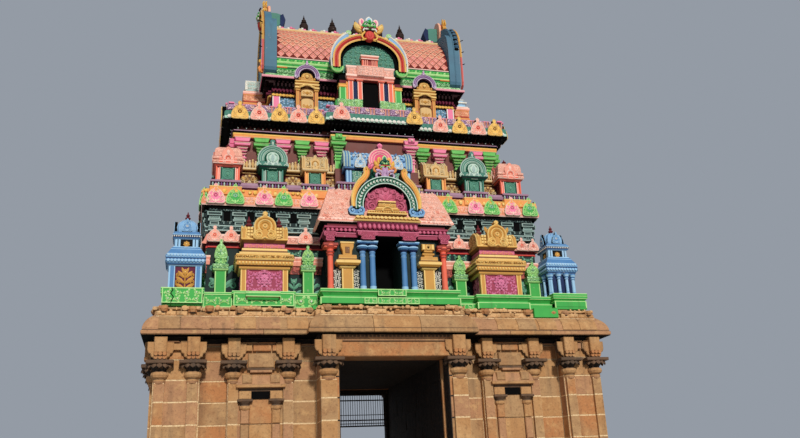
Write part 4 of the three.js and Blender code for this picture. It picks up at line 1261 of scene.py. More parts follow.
def stone_frieze():
    work = Carving()
    mould(work, ROLL_PLAN, [(5.82, -0.13, "mortar"), (6.03, -0.13, "mortar"), (6.14, -0.25, "stone_dark")])
    for i, (x0, y0) in enumerate(ROLL_PLAN):
        x1, y1 = ROLL_PLAN[(i + 1) % len(ROLL_PLAN)]
        length = math.hypot(x1 - x0, y1 - y0)
        turn = math.degrees(math.atan2(y1 - y0, x1 - x0))
        band = Carving()
        block(band, 0, length, -0.045, 0.15, 5.755, 5.785, "mortar", 0.008)
        worn_course(band, length, 5.785, 5.945, 0.15)
        worn_course(band, length, 5.945, 6.05, 0.15)
        work.stamp(band, spot(x0, y0, turn=turn) @ spot(y=-0.065))
    heads = [5.72, 5.02, 4.62, 3.88, 2.66, 2.12, 1.72]
    for turn in (0, 180):
        for x in heads + [-x for x in heads]:
            depth = 3.65 if abs(x) < 1.9 else 3.32
            sign = 1 if turn == 0 else -1
            work.stamp(beast_stump(), spot(x, -sign * depth, laying.uniform(5.93, 5.97), turn=turn))
    for turn, sign in ((90, 1), (270, -1)):
        for y in (-3.0, -2.2, -1.4, -0.6, 0.6, 1.4, 2.2, 3.0):
            work.stamp(beast_stump(), spot(sign * 5.86, y, laying.uniform(5.93, 5.97), turn=turn))
    return work


stone_frieze().piece("stone_beast_frieze", "stone", "stone_frieze")

# %% [markdown]
# ## The painted plinth
#
# Above the stone everything is brick and stucco. The first band is bright green. Each bay has a
# lower slab, a shadow groove and a flared top with pale edges. On the left the panels are flat and
# covered with white and green flower scrolls; on the right they were left plain, and both are kept.

# %% Plinth of storey one
LEDGE = plan([
    (1.85, 3.70), (1.85, 3.10), (2.50, 3.10), (2.50, 3.29), (4.05, 3.29), (4.05, 3.10), (4.80, 3.10),
    (4.80, 3.26), (5.78, 3.26), (5.78, 2.15), (5.64, 2.15), (5.64, 0.85), (5.78, 0.85),
])


def plinth_panel(x0, x1, z0, z1, cell=0.20, coat="mint"):
    """Flat green panel with a pale frame and a scroll, about its own x."""
    work = Carving()
    block(work, x0, x1, -0.03, 0.06, z0, z1, "green")
    e = 0.024
    for a, b, c, d in (
        (x0, x1, z1 - e, z1), (x0, x1, z0, z0 + e), (x0, x0 + e, z0 + e, z1 - e),
        (x1 - e, x1, z0 + e, z1 - e),
    ):
        block(work, a, b, -0.045, 0.0, c, d, coat)
    mid = (x0 + x1) / 2
    work.stamp(vine(x1 - x0 - 0.07, z1 - z0 - 0.06, coat, "white", cell), spot(mid, -0.03, (z0 + z1) / 2))
    return work


LOW = 0.085  # how much lower the bays stand than the corners


def painted_plinth():
    work = Carving()
    steps = [
        (6.165, -0.02, "green"), (6.17, 0.0, "green"), (6.315, 0.0, "mint"), (6.335, 0.0, "mint"),
        (6.345, -0.05, "green"), (6.385, -0.05, "green"), (6.45, 0.0, "green"), (6.465, 0.03, "mint"),
        (6.48, 0.035, "green"), (6.53, 0.035, "mint"), (6.55, 0.03, "green"),
    ]
    mould(work, LEDGE, [(z - LOW, d, coat) for z, d, coat in steps])
    for x0, x1 in ((4.80, 5.78), (-5.78, -4.80)):
        for y0, y1 in ((-3.27, -2.16), (2.16, 3.27)):
            mould(work, rect(x0, x1, y0, y1), [(z - 0.015, d, coat) for z, d, coat in steps])
    for x in (1.87, 2.52, 4.03, 4.82, 5.76):
        depth = 3.27 if x > 4.8 else 3.29 if x > 2.5 else 3.70
        low = 0.03 if x > 4.8 else LOW
        for side in (-1, 1):
            for turn in (0, 180):
                strip = Carving()
                x0, x1 = side * x - 0.016, side * x + 0.016
                block(strip, x0, x1, -depth - 0.006, -depth + 0.05, 6.15 - low, 6.33 - low, "mint")
                work.stamp(strip, spot(turn=turn))
    for x0, x1, y, z0, z1 in (
        (-5.78, -4.80, -3.29, 6.13, 6.52), (-4.78, -4.07, -3.12, 6.07, 6.41),
        (-4.04, -2.51, -3.31, 6.07, 6.41), (-2.48, -1.87, -3.12, 6.07, 6.41),
        (-0.75, -0.41, -3.70, 6.07, 6.23), (-0.39, 0.37, -3.70, 6.07, 6.24),
        (-0.39, 0.37, -3.735, 6.27, 6.45), (0.39, 0.72, -3.70, 6.07, 6.23),
        (2.05, 2.42, -3.10, 6.07, 6.23),
    ):
        work.stamp(plinth_panel(x0, x1, z0, z1), spot(y=y))
    for turn in (90, 270):
        work.stamp(plinth_panel(-0.8, 0.8, 6.07, 6.23), spot(5.78 if turn == 90 else -5.78, 0, turn=turn))
    mould(work, rect(-3.74, -2.87, -3.47, -3.28), [
        (6.22, -0.06, "green"), (6.27, -0.03, "brick"), (6.285, 0.0, "mint"), (6.31, 0.0, "green"),
        (6.37, 0.0, "mint"), (6.40, 0.0, "green"),
    ])
    block(work, 4.06, 4.78, -3.47, -3.0, 5.80, 6.06, "green", 0.01)
    block(work, -2.05, -1.80, -3.45, -3.0, 5.97, 6.06, "green", 0.01)
    crack = [(-5.55, 6.52), (-5.52, 6.46), (-5.57, 6.38), (-5.50, 6.28), (-5.54, 6.20), (-5.56, 6.12)]
    rope(work, [(x, -3.33, z) for x, z in crack], 0.012, "black", 4)
    return work


painted_plinth().piece("green_plinth", "green_stucco", "painted_plinth")

# %% [markdown]
# ## The wall of storey one
#
# The wall is a shell with a door, front and back, because the real one is a room that one can
# climb into. Its colour changes with height: dark panels with green foliage at the foot, a pink
# moulding, a strip of green scrolls, a small cornice with horseshoe windows, and on top a dark
# zone where bracket shapes are picked out in silver.

# %% Shafts with painted edges
def edged_shaft(work, x, half, front, back, z0, z1, coat, edge, line=0.03):
    """Square shaft with a strip of pale paint down both front corners."""
    block(work, x - half, x + half, front, back, z0, z1, coat)
    for side in (-1, 1):
        a, b = sorted((x + side * half * 1.01, x + side * (half - line)))
        block(work, a, b, front - 0.008, front + line, z0, z1, edge)


def leaf_pilaster(half, cap_z, tip_z):
    """Green pilaster that ends in a mound of leaves with a pointed tip."""
    work = Carving()
    edged_shaft(work, 0, half, -0.23, 0.05, 6.32, cap_z, "green", "mint")
    cap = rect(-half, half, -0.23, 0.05)
    mould(work, cap, [
        (cap_z, 0.0, "mint"), (cap_z + 0.02, 0.045, "mint"), (cap_z + 0.06, 0.065, "bottle"),
        (cap_z + 0.075, 0.05, "mint_carved"), (cap_z + 0.12, 0.05, "mint"),
        (cap_z + 0.14, 0.065, "mint_carved"), (cap_z + 0.19, 0.065, "mint"), (cap_z + 0.20, 0.0, "green"),
    ])
    base = cap_z + 0.2
    rise = tip_z - base
    block(work, -half * 0.98, half * 0.98, -0.21, 0.05, base, base + rise * 0.3, "green_carved", 0.01)
    work.stamp(vine(half * 1.9, rise * 0.3, "mint", "mint", 0.14), spot(0, -0.21, base + rise * 0.15))
    mound = kudu(half * 2.35, rise * 0.80, "mint_carved", "mint", "jade", 0.12, "green")
    work.stamp(mound, spot(0, -0.15, base + rise * 0.22))
    for x, z in ((0, 0.56), (0.32, 0.48), (-0.32, 0.48), (0.55, 0.56), (-0.55, 0.56)):
        where = spot(x * half, -0.235, base + rise * z, roll=x * 30)
        leaf(work, where, rise * 0.16, half * 0.4, "mint", 0.3)
    return work


print("leaf pilaster:", len(leaf_pilaster(0.145, 7.15, 8.0).faces), "faces")


# %% Silver brackets and the upper zone
def silver_bracket(width):
    """Stepped bracket in the dark zone, outlined in silver."""
    work = Carving()
    h = width / 2
    for z0, z1, k, proud in (
        (8.745, 8.85, 1.0, 0.15), (8.665, 8.735, 0.72, 0.10), (8.595, 8.66, 0.86, 0.12),
        (8.49, 8.59, 0.6, 0.09),
    ):
        block(work, -h * k, h * k, -proud, 0.03, z0, z1, "slate", 0.01)
        for z in (z0 + 0.012, z1 - 0.012):
            rope(work, [(-h * k, -proud, z), (h * k, -proud, z)], 0.015, "silver", 4)
        for x in (-1, 1):
            rope(work, [(x * h * k, -proud, z0), (x * h * k, -proud, z1)], 0.015, "silver", 4)
    return work


def bracket_zone(work, x0, x1, spots, width=0.36):
    """Dark zone on a wall face y = 0 between x0 and x1."""
    block(work, x0, x1, -0.06, 0.05, 8.47, 8.885, "slate")
    # the gaps between the brackets and the band under the frieze take the painted-shadow coat
    for a, b in zip(spots, spots[1:]):
        m, gap = (a + b) / 2, 0.09 if b - a < 0.7 else 0.05
        block(work, m - gap, m + gap, -0.07, 0.05, 8.62, 8.885, "void")
    block(work, x0, x1, -0.10, 0.05, 8.885, 8.94, "slate_carved")
    block(work, x0, x1, -0.13, 0.05, 8.94, 9.0, "void")
    for z in (8.33, 8.455):
        block(work, x0, x1, -0.085, 0.05, z, z + 0.03, "silver", 0.006)
    block(work, x0, x1, -0.075, 0.05, 8.36, 8.455, "slate_carved")
    teeth_row(work, x0, x1, -0.12, -0.09, 8.895, 8.94, "slate_carved", 0.035, 0.05)
    for x in spots:
        work.stamp(silver_bracket(width), spot(x))
    for a, b in zip(spots, spots[1:]):
        if b - a < 1.2:
            m = (a + b) / 2
            for end, turned in ((a + 0.2, m - 0.08), (b - 0.2, m + 0.08)):
                line = [(end, 8.60), (turned, 8.60), (turned, 8.53)]
                rope(work, [(x, -0.065, z) for x, z in line], 0.012, "silver", 4)


print("silver bracket:", len(silver_bracket(0.36).faces), "faces")


# %% Small cornice with its windows
def small_cornice(work, x0, x1, kudus):
    """Salmon cornice on a wall face y = 0; kudus are x, width and coat."""
    block(work, x0, x1, -0.05, 0.05, 7.86, 7.90, "red", 0.008)
    block(work, x0, x1, -0.035, 0.05, 7.90, 7.985, "maroon")
    profile = [
        (0.03, 7.97), (-0.135, 7.985), (-0.15, 8.0), (-0.145, 8.03), (-0.11, 8.06), (-0.085, 8.12),
        (-0.05, 8.20), (-0.03, 8.25), (0.03, 8.26),
    ]
    coats = ["maroon", "blush", "salmon"] + ["salmon_carved"] * 3 + ["blush", "salmon", "salmon"]
    n = len(profile)
    points = [(x, y, z) for x in (x0, x1) for y, z in profile]
    faces = [(j, (j + 1) % n, n + (j + 1) % n, n + j)[::-1] for j in range(n)]
    faces += [tuple(range(n)), tuple(range(2 * n - 1, n - 1, -1))]
    work.put(points, faces, coats + ["salmon", "salmon"])
    for x, w, coat in kudus:
        work.stamp(kudu(w, w * 1.14, coat, "blush", "coral", 0.07), spot(x, -0.13, 7.99, lean=4))


def foliage_panel(x0, x1, z0, z1, ground="slate", coat="leaf", heart="jade", cell=0.2):
    """Dark panel: upright ones hold plants side by side, low ones a running scroll."""
    work = Carving()
    block(work, x0, x1, -0.015, 0.04, z0, z1, ground)
    width, height, mid = x1 - x0, z1 - z0, (z0 + z1) / 2
    if height < 0.4:
        work.stamp(vine(width - 0.03, height - 0.02, coat, heart, cell), spot((x0 + x1) / 2, -0.015, mid))
        return work
    count = max(1, round(width / (height * 0.8)))
    for i in range(count):
        where = spot(x0 + width * (i + 0.5) / count, -0.015, mid)
        work.stamp(plant(width / count * 0.94, height * 0.96, coat, heart), where)
    return work


print("small cornice and foliage are ready")


# %% The front of storey one
def pink_string(work, x0, x1):
    """Carved red band, pink moulding and a strip of scrolls, one over another."""
    block(work, x0, x1, -0.04, 0.04, 7.16, 7.37, "brick_carved")
    mould(work, rect(x0, x1, -0.04, 0.04), [
        (7.37, 0.0, "brick"), (7.39, 0.03, "salmon"), (7.50, 0.045, "blush"), (7.52, 0.03, "salmon"),
        (7.60, 0.05, "blush"), (7.64, 0.05, "salmon"),
    ])
    work.stamp(foliage_panel(x0, x1, 7.65, 7.86))


def storey_front():
    """Front wall face at y = 0, x as on the tower."""
    work = Carving()
    for side in (-1, 1):
        a, b = (1.62, 4.72) if side > 0 else (-4.72, -1.62)
        bracket_zone(work, a, b, sorted(side * x for x in (4.56, 3.90, 3.28, 2.72, 2.14)))
        small = ((-4.54, 0.41, "salmon"), (-4.11, 0.41, "salmon"), (-2.10, 0.43, "salmon"))
        if side > 0:
            small = ((2.35, 0.38, "salmon"), (4.30, 0.36, "salmon_carved"), (4.66, 0.34, "salmon_carved"))
        small_cornice(work, a, b, small)
        for x0, x1 in ((1.66, 2.66), (3.87, 4.72)):
            p, q = sorted((side * x0, side * x1))
            pink = x0 < 2 or side > 0
            top = 7.16 if pink else 7.86
            work.stamp(foliage_panel(p, q, 6.36, top))
            if pink:
                pink_string(work, p, q)
    pilasters = (
        (-4.364, 0.143, 7.155, 8.04), (-2.047, 0.143, 7.17, 7.92), (2.295, 0.152, 7.0, 7.76),
        (4.533, 0.165, 6.98, 7.61),
    )
    for x, half, cap, tip in pilasters:
        work.stamp(leaf_pilaster(half, cap, tip), spot(x))
    return work


def storey_side():
    """Side wall face at y = 0, x along the wall from -2.4 to 2.4."""
    work = Carving()
    bracket_zone(work, -2.4, 2.4, [-2.2, -1.45, -0.7, 0.0, 0.7, 1.45, 2.2])
    small_cornice(work, -2.4, 2.4, [(x, 0.40, "salmon") for x in (-1.55, -1.0, 1.0, 1.55)])
    for a, b in ((-2.4, -0.64), (0.64, 2.4)):
        work.stamp(foliage_panel(a, b, 6.41, 7.16))
        pink_string(work, a, b)
    for x in (-1.55, 1.55):
        work.stamp(leaf_pilaster(0.145, 7.15, 7.95), spot(x))
    return work


def storey_one_wall():
    work = Carving()
    for sign in (-1, 1):
        y0, y1 = sorted((sign * 2.395, sign * 1.35))
        for a, b in ((-4.715, -0.36), (0.36, 4.715)):
            block(work, a, b, y0, y1, 6.40, 9.0, "slate")
        block(work, -0.36, 0.36, y0, y1, 8.02, 9.0, "slate")
        a, b = sorted((sign * 3.6, sign * 4.715))
        block(work, a, b, -1.35, 1.35, 6.40, 9.0, "slate")
    work.stamp(storey_front(), spot(y=-2.4))
    work.stamp(storey_front(), spot(y=2.4, turn=180))
    work.stamp(storey_side(), spot(4.72, turn=90))
    work.stamp(storey_side(), spot(-4.72, turn=270))
    return work


storey_one_wall().piece("storey_one_wall", "teal_stucco", "storey1_wall")

# %% [markdown]
# ## Corner shrines in blue
#
# Each storey carries a row of small model temples along its edge. The corner one is square with a
# ribbed dome. The left one has flat panels with gold foliage between flat pilasters, the right one
# has round columns, so they are two drawings, and the back pair repeats them.

# %% The blue corner shrine
FINIAL = (
    (0.75, 0.0), (0.8, 0.06), (0.45, 0.10), (1.0, 0.24), (0.95, 0.34), (0.4, 0.45), (0.72, 0.56),
    (0.6, 0.66), (0.25, 0.76), (0.22, 0.86),
)  # radius and height, as shares
DOME = ((0.94, 0.0), (1.02, 0.22), (1.0, 0.5), (0.82, 0.75), (0.5, 0.93), (0.2, 1.0))


def finial(work, x, y, z0, z1, r, coat):
    h = z1 - z0
    lathe(work, [(r * k, z0 + h * t, coat) for k, t in FINIAL] + [(0.004, z1, coat)], x, y, 10)


def dome_top(work, r, z0, z1, coat, rim, ribs=8):
    h = z1 - z0
    lathe(work, [(r * k, z0 + h * t, coat) for k, t in DOME], 0, 0, 32, ribs, 0.16)
    for i in range(ribs):
        a = 2 * math.pi * (i + 0.5) / ribs
        line = [(k * r * 0.86 * math.cos(a), k * r * 0.86 * math.sin(a), z0 + h * t)
                for k, t in ((0.96, 0.0), (1.04, 0.25), (1.02, 0.5), (0.84, 0.76), (0.5, 0.94))]
        rope(work, line, 0.014, rim, 4)


def corner_shrine(round_columns):
    """Blue shrine about its own axis, at its height on the tower."""
    work = Carving()
    b = 0.40
    block(work, -b + 0.03, b - 0.03, -b + 0.03, b - 0.03, 6.51, 7.16, "navy" if round_columns else "plum")

    def wall(draft, half, depth):
        if round_columns:
            for x in (-half + 0.06, -0.12, 0.12, half - 0.06):
                lathe(draft, [
                    (0.055, 6.51, "sky"), (0.055, 6.60, "blue"), (0.045, 6.62, "sky"),
                    (0.043, 6.98, "blue"), (0.062, 7.0, "sky"), (0.045, 7.03, "blue"),
                    (0.065, 7.07, "sky"), (0.085, 7.12, "blue"), (0.085, 7.16, "blue"),
                ], x, depth + (0.03 if abs(x) > 0.2 else -0.03), 10)
        else:
            for x in (-half + 0.078, half - 0.078):
                edged_shaft(draft, x, 0.07, depth, depth + 0.1, 6.52, 7.14, "blue", "sky", 0.024)
            draft.stamp(plant(half * 2 - 0.28, 0.58, "gold", "straw"), spot(0, depth + 0.025, 6.84))
    around(work, b, b, wall)
    square = rect(-b, b, -b, b)
    mould(work, square, [
        (7.14, 0.0, "sky"), (7.165, 0.03, "navy"), (7.19, 0.035, "blue"), (7.22, 0.06, "sky"),
        (7.235, 0.07, "blue"), (7.32, 0.085, "navy"), (7.345, 0.08, "blue"), (7.37, 0.09, "sky"),
        (7.385, 0.085, "blue"), (7.44, 0.07, "sky"), (7.465, 0.06, "blue"), (7.53, 0.02, "blue"),
        (7.60, -0.02, "sky"), (7.615, -0.02, "blue"), (7.66, -0.06, "sky"), (7.69, -0.08, "blue"),
        (7.70, -0.12, "blue"),
    ])

    def carving(draft, half, depth):
        petal_row(draft, -half - 0.07, half + 0.07, depth - 0.075, 7.32, 0.085, "sky", None, 15, 0.085)
        petal_row(draft, -half - 0.06, half + 0.06, depth - 0.085, 7.45, 0.07, "sky", "white", 10, 0.075)
    around(work, b, b, carving)
    n = 0.29
    block(work, -n + 0.02, n - 0.02, -n + 0.02, n - 0.02, 7.68, 7.91, "black")

    def neck(draft, half, depth):
        for x in (-half + 0.035, -half + 0.11, half - 0.11, half - 0.035):
            block(draft, x - 0.028, x + 0.028, depth - 0.005, depth + 0.06, 7.69, 7.90, "sky", 0.008)
        draft.stamp(flower(0.085, 7, "gold", "straw"), spot(0, depth + 0.015, 7.77))
    around(work, n, n, neck)
    mould(work, rect(-n, n, -n, n), [
        (7.89, 0.0, "sky"), (7.905, 0.03, "blue"), (7.93, 0.055, "navy"), (8.0, 0.06, "sky"),
        (8.02, 0.065, "blue"), (8.05, 0.05, "blue"), (8.06, 0.02, "blue"), (8.095, 0.02, "sky"),
    ])

    def pearls(draft, half, depth):
        bead_row(draft, -half - 0.05, half + 0.05, depth - 0.06, 7.965, 0.021, "white", 1.35)
    around(work, n, n, pearls)
    dome_top(work, 0.31, 8.09, 8.50, "powder", "sky")

    def windows(draft, half, depth):
        draft.stamp(kudu(0.26, 0.36, "blue", "sky", "white", 0.045), spot(0, depth - 0.015, 8.10))
    around(work, 0.285, 0.285, windows)
    finial(work, 0, 0, 8.49, 8.75, 0.072, "maroon")
    return work


for node, x, y, turn in (
    ("front_left", -5.25, -2.69, 0), ("front_right", 5.20, -2.69, 0), ("back_left", -5.20, 2.69, 180),
    ("back_right", 5.25, 2.69, 180),
):
    shrine = corner_shrine(node in ("front_right", "back_left"))
    shrine.at(x, y, turn=turn).piece("blue_shrine_" + node, "blue_stucco", "corner_shrine_" + node)

# %% [markdown]
# ## Gold oblong shrines
#
# Between the corner and the porch stands an oblong shrine with a barrel roof, all in gold, with a
# magenta panel of flowers. Its great horseshoe is drawn as a stack of arches one in another, with
# a coil at each foot.

# %% The gold shrine
def great_kudu(w, h, coat, rim, heart, flames=False):
    """Large horseshoe: nested arches, a coil at each foot and a bud on top."""
    work = Carving()
    half = [
        (0, 0.04), (0.10, 0.0), (0.34, -0.01), (0.46, 0.03), (0.5, 0.13), (0.46, 0.23), (0.45, 0.34),
        (0.46, 0.47), (0.41, 0.62), (0.30, 0.74), (0.13, 0.81), (0.07, 0.85), (0.11, 0.90), (0.09, 0.96),
        (0, 1.0),
    ]
    line = both([(x * w, z * h) for x, z in half])
    plate(work, line, -0.06, 0.12, heart, coat)
    rope(work, [(x, -0.06, z) for x, z in inset(line, 0.02)], 0.024, rim, 4, closed=True)
    for k, r in enumerate((0.36, 0.27, 0.18)):
        rope(work, arc(0, h * 0.46, w * r, -58, 238, 16, -0.07), 0.022, rim if k % 2 else coat, 4)
    rope(work, arc(0, h * 0.46, w * 0.07, 0, 360, 8, -0.075)[:-1], 0.02, rim, 4, closed=True)
    for side in (-1, 1):
        coil(work, side, w * 0.25, h * 0.165, w * 0.19, -1.7, 14, -0.08, 0.024, rim, 4)
        if flames:
            where = spot(side * w * 0.45, -0.02, h * 0.52, roll=side * 20)
            leaf(work, where, h * 0.26, w * 0.16, coat, 0.3)
    bead(work, 0, -0.04, h * 0.92, w * 0.08, rim)
    return work


def beam(work, x0, x1, profile, coat):
    """A bar along x with a profile of y and z."""
    n = len(profile)
    points = [(x, y, z) for x in (x0, x1) for y, z in profile]
    faces = [(j, (j + 1) % n, n + (j + 1) % n, n + j) for j in range(n)]
    faces += [tuple(range(n - 1, -1, -1)), tuple(range(n, 2 * n))]
    work.put(points, faces, coat)


def barrel_end(work, x0, x1, y0, y1, z0, z1, coat, rim, ribs):
    """Barrel roof along x, with raised ribs near both ends."""
    mid, r, h = (y0 + y1) / 2, (y1 - y0) / 2, z1 - z0
    turns = [math.pi * t / 10 for t in range(11)]
    line = [(mid + r * math.cos(a), z0 + h * (0.3 + 0.7 * math.sin(a))) for a in turns]
    line = [(mid + r, z0)] + line + [(mid - r, z0)]
    beam(work, x0, x1, line, coat)
    for x in ribs:
        rope(work, [(x, mid + (y - mid) * 1.03, z0 + (z - z0) * 1.03) for y, z in line], 0.026, rim, 4)


def gold_shrine(flames):
    """Gold shrine on a wall face y = 0, about x = 0."""
    work = Carving()
    half, front = 0.60, -0.80
    block(work, -half + 0.03, half - 0.03, front + 0.04, 0, 6.40, 7.08, "wine")
    for x in (-half + 0.065, half - 0.065):
        edged_shaft(work, x, 0.065, front, front + 0.14, 6.41, 7.07, "gold", "straw", 0.022)
    block(work, -0.5, 0.5, front + 0.025, front + 0.1, 6.41, 7.07, "magenta")
    work.stamp(rosette(0.15, "orchid", "orchid"), spot(0, front + 0.005, 6.84))
    work.stamp(vine(0.95, 0.64, "orchid", "rose", 0.23), spot(0, front + 0.03, 6.75))
    for side, turn in ((1, 90), (-1, 270)):
        work.stamp(
            foliage_panel(-0.3, 0.3, 6.41, 7.06, "plum", "rose", "rose"),
            spot(side * (half - 0.03), front / 2, turn=turn)
        )
        edged = Carving()
        edged_shaft(edged, 0, 0.06, 0, 0.1, 6.41, 7.07, "gold", "straw", 0.022)
        work.stamp(edged, spot(side * half, front + 0.08, turn=turn))
    body = rect(-half, half, front, 0.1)
    mould(work, body, [
        (7.06, 0.02, "straw"), (7.08, 0.055, "gold"), (7.12, 0.06, "straw"), (7.135, 0.03, "brass"),
        (7.15, 0.09, "brass"), (7.16, 0.11, "gold"), (7.26, 0.12, "brass"), (7.275, 0.115, "brass"),
        (7.29, 0.135, "straw"), (7.31, 0.145, "gold"), (7.43, 0.14, "straw"), (7.455, 0.12, "gold"),
        (7.465, 0.04, "brass"), (7.48, 0.05, "straw"), (7.52, 0.055, "gold"), (7.535, 0.0, "brass"),
        (7.585, -0.01, "straw"), (7.64, -0.015, "gold"), (7.65, -0.05, "brass"), (7.68, -0.08, "gold"),
    ])
    for turn, length in ((0, half), (90, 0.4), (270, 0.4)):
        depth, draft = -half if turn else front, Carving()
        edge = length + 0.13
        bead_row(draft, -length - 0.09, length + 0.09, depth - 0.115, 7.212, 0.036, "straw", 1.2)
        rope(draft, [(-edge, depth - 0.145, 7.32), (edge, depth - 0.145, 7.32)], 0.014, "straw", 4)
        bead_row(draft, -edge, edge, depth - 0.14, 7.375, 0.038, "gold_carved", 0.8)
        work.stamp(draft, spot(0, front / 2 if turn else 0, turn=turn))
    block(work, -0.53, 0.53, front + 0.12, 0, 7.66, 7.82, "rose")
    block(work, -0.54, 0.54, front + 0.11, 0, 7.795, 7.815, "wine")
    work.stamp(vine(0.95, 0.10, "salmon", "salmon", 0.10), spot(0, front + 0.12, 7.735))
    mould(work, rect(-0.50, 0.50, front + 0.14, 0.1), [
        (7.80, 0.0, "brass"), (7.85, 0.06, "brass"), (7.88, 0.10, "gold"), (7.905, 0.11, "straw"),
        (7.925, 0.10, "gold"), (7.93, 0.06, "gold"),
    ])
    barrel_end(
        work, -0.60, 0.60, front + 0.09, -0.06, 7.92, 8.34, "gold_carved", "straw",
        (-0.585, -0.50, 0.50, 0.585)
    )
    for x in (-0.545, 0.545):
        block(work, x - 0.045, x + 0.045, front + 0.06, -0.1, 7.92, 8.20, "gold", 0.01)
    for x in (-0.42, -0.34, 0.34, 0.42):
        for z in (8.0, 8.09, 8.18):
            block(work, x - 0.033, x + 0.033, front + 0.065, front + 0.2, z, z + 0.07, "straw", 0.01)
    work.stamp(great_kudu(0.64, 0.78, "gold", "straw", "gold", flames), spot(0, front + 0.05, 7.895))
    for x in (-0.40, 0.40):
        finial(work, x, -0.38, 8.30, 8.66, 0.095, "maroon")
    return work


for node, x, y, turn in (
    ("front_left", -3.26, -2.4, 0), ("front_right", 3.28, -2.4, 0), ("back_left", -3.28, 2.4, 180),
    ("back_right", 3.26, 2.4, 180), ("side_left", -4.72, 0, 270), ("side_right", 4.72, 0, 90),
):
    shrine = gold_shrine(x > 0).at(x, y, turn=turn)
    shrine.piece("gold_shrine_piece_" + node, "gold_stucco", "gold_shrine_" + node)

# %% [markdown]
# ## The porch
#
# In front of the door stands a shallow porch. Coral columns carry its ends, gold pilasters with a
# flared top stand next to them, and pairs of blue columns frame the door. White scrolls are
# painted on the dark strips between. Above lies a magenta beam with a row of leaves.

# %% Columns and beams of the porch
def porch_columns(s, flared):
    """Columns at one side of the door, at x on the tower, wall face y = -3.35."""
    work = Carving()
    sided_block(work, s, 1.36, 0.36, -3.36, -2.41, 6.40, 7.93, "slate")
    sided_block(work, s, 1.558, 1.34, -3.33, -2.41, 6.40, 7.93, "slate")
    sided_block(work, s, 0.362, 0.50, -3.345, -2.41, 6.40, 7.93, "navy")
    lathe(work, [
        (0.085, 6.40, "coral"), (0.085, 6.60, "coral"), (0.076, 6.62, "coral"), (0.072, 7.42, "coral"),
        (0.095, 7.43, "brick"), (0.098, 7.46, "coral"), (0.075, 7.47, "coral"), (0.075, 7.49, "coral"),
        (0.11, 7.51, "brick"), (0.11, 7.54, "coral"), (0.08, 7.55, "coral"), (0.085, 7.60, "coral"),
        (0.14, 7.64, "brick"), (0.155, 7.68, "coral"), (0.15, 7.72, "brick"), (0.10, 7.76, "coral"),
        (0.11, 7.80, "coral"),
    ], s * 1.565, -3.40, 14)
    block(work, s * 1.565 - 0.20, s * 1.565 + 0.20, -3.54, -3.2, 7.68, 7.755, "brick", 0.012)
    block(work, s * 1.565 - 0.17, s * 1.565 + 0.17, -3.51, -3.2, 7.64, 7.68, "coral", 0.01)
    x = s * 1.12
    edged_shaft(work, x, 0.148, -3.46, -3.3, 6.40, 7.08, "gold", "straw", 0.03)
    mould(work, rect(x - 0.15, x + 0.15, -3.46, -3.3), [
        (7.07, 0.0, "straw"), (7.09, 0.05, "straw"), (7.12, 0.07, "brass"), (7.14, 0.12, "gold"),
        (7.19, 0.17, "straw"), (7.255, 0.175, "straw"), (7.27, 0.15, "gold"), (7.30, 0.10, "brass"),
        (7.33, 0.085, "straw"), (7.345, 0.09, "gold"), (7.42, 0.085, "straw"), (7.435, 0.05, "gold"),
        (7.44, 0.0, "gold"),
    ])
    if flared:
        line = both([(0, 7.43), (0.12, 7.43), (0.13, 7.55), (0.175, 7.66), (0.175, 7.79), (0, 7.79)])
        plate(work, [(px + x, pz) for px, pz in line], -3.50, -3.3, "gold", "gold", 0.012)
        block(work, x - 0.19, x + 0.19, -3.52, -3.3, 7.755, 7.80, "straw", 0.01)
        block(work, x - 0.06, x + 0.06, -3.515, -3.4, 7.48, 7.66, "brass", 0.01)
    else:
        for k, z in ((0.12, 7.43), (0.17, 7.49), (0.12, 7.57)):
            block(work, x - k, x + k, -3.49, -3.3, z, z + 0.055, "gold", 0.01)
        block(work, x - 0.18, x + 0.18, -3.50, -3.3, 7.63, 7.80, "gold", 0.015)
        rope(work, arc(x, 7.705, 0.06, 0, 360, 10, -3.505)[:-1], 0.018, "straw", 4, closed=True)
        bead(work, x, -3.505, 7.705, 0.028, "black")
        for k in (-0.13, 0.13):
            block(work, x + k - 0.035, x + k + 0.035, -3.515, -3.4, 7.64, 7.79, "straw", 0.01)
    for x0, x1 in ((1.47, 1.29), (0.95, 0.80)):
        a, b = sorted((s * x0, s * x1))
        work.stamp(vine(b - a, 0.64, "white", "white", 0.09), spot((a + b) / 2, -3.362, 6.76))
    for x in (0.70, 0.435):
        lathe(work, [
            (0.088, 6.40, "sky"), (0.088, 6.60, "blue"), (0.078, 6.61, "blue"), (0.073, 7.40, "sky"),
            (0.082, 7.41, "blue"), (0.082, 7.44, "sky"), (0.073, 7.45, "blue"), (0.073, 7.50, "sky"),
            (0.086, 7.51, "blue"), (0.086, 7.54, "sky"), (0.074, 7.55, "blue"), (0.10, 7.64, "navy"),
            (0.10, 7.66, "navy"),
        ], s * x, -3.43, 16)
        lathe(work, [
            (0.08, 7.56, "navy"), (0.12, 7.62, "blue"), (0.155, 7.665, "sky"), (0.15, 7.70, "blue"),
            (0.10, 7.72, "navy"), (0.11, 7.75, "blue"), (0.16, 7.77, "sky"),
        ], s * x, -3.43, 16)
    cap = rect(*sorted((s * 0.80, s * 0.35)), -3.50, -3.3)
    mould(work, cap, [
        (7.74, 0.0, "navy"), (7.765, 0.04, "blue"), (7.80, 0.06, "sky"), (7.83, 0.06, "blue"),
        (7.845, 0.0, "blue"),
    ])
    return work


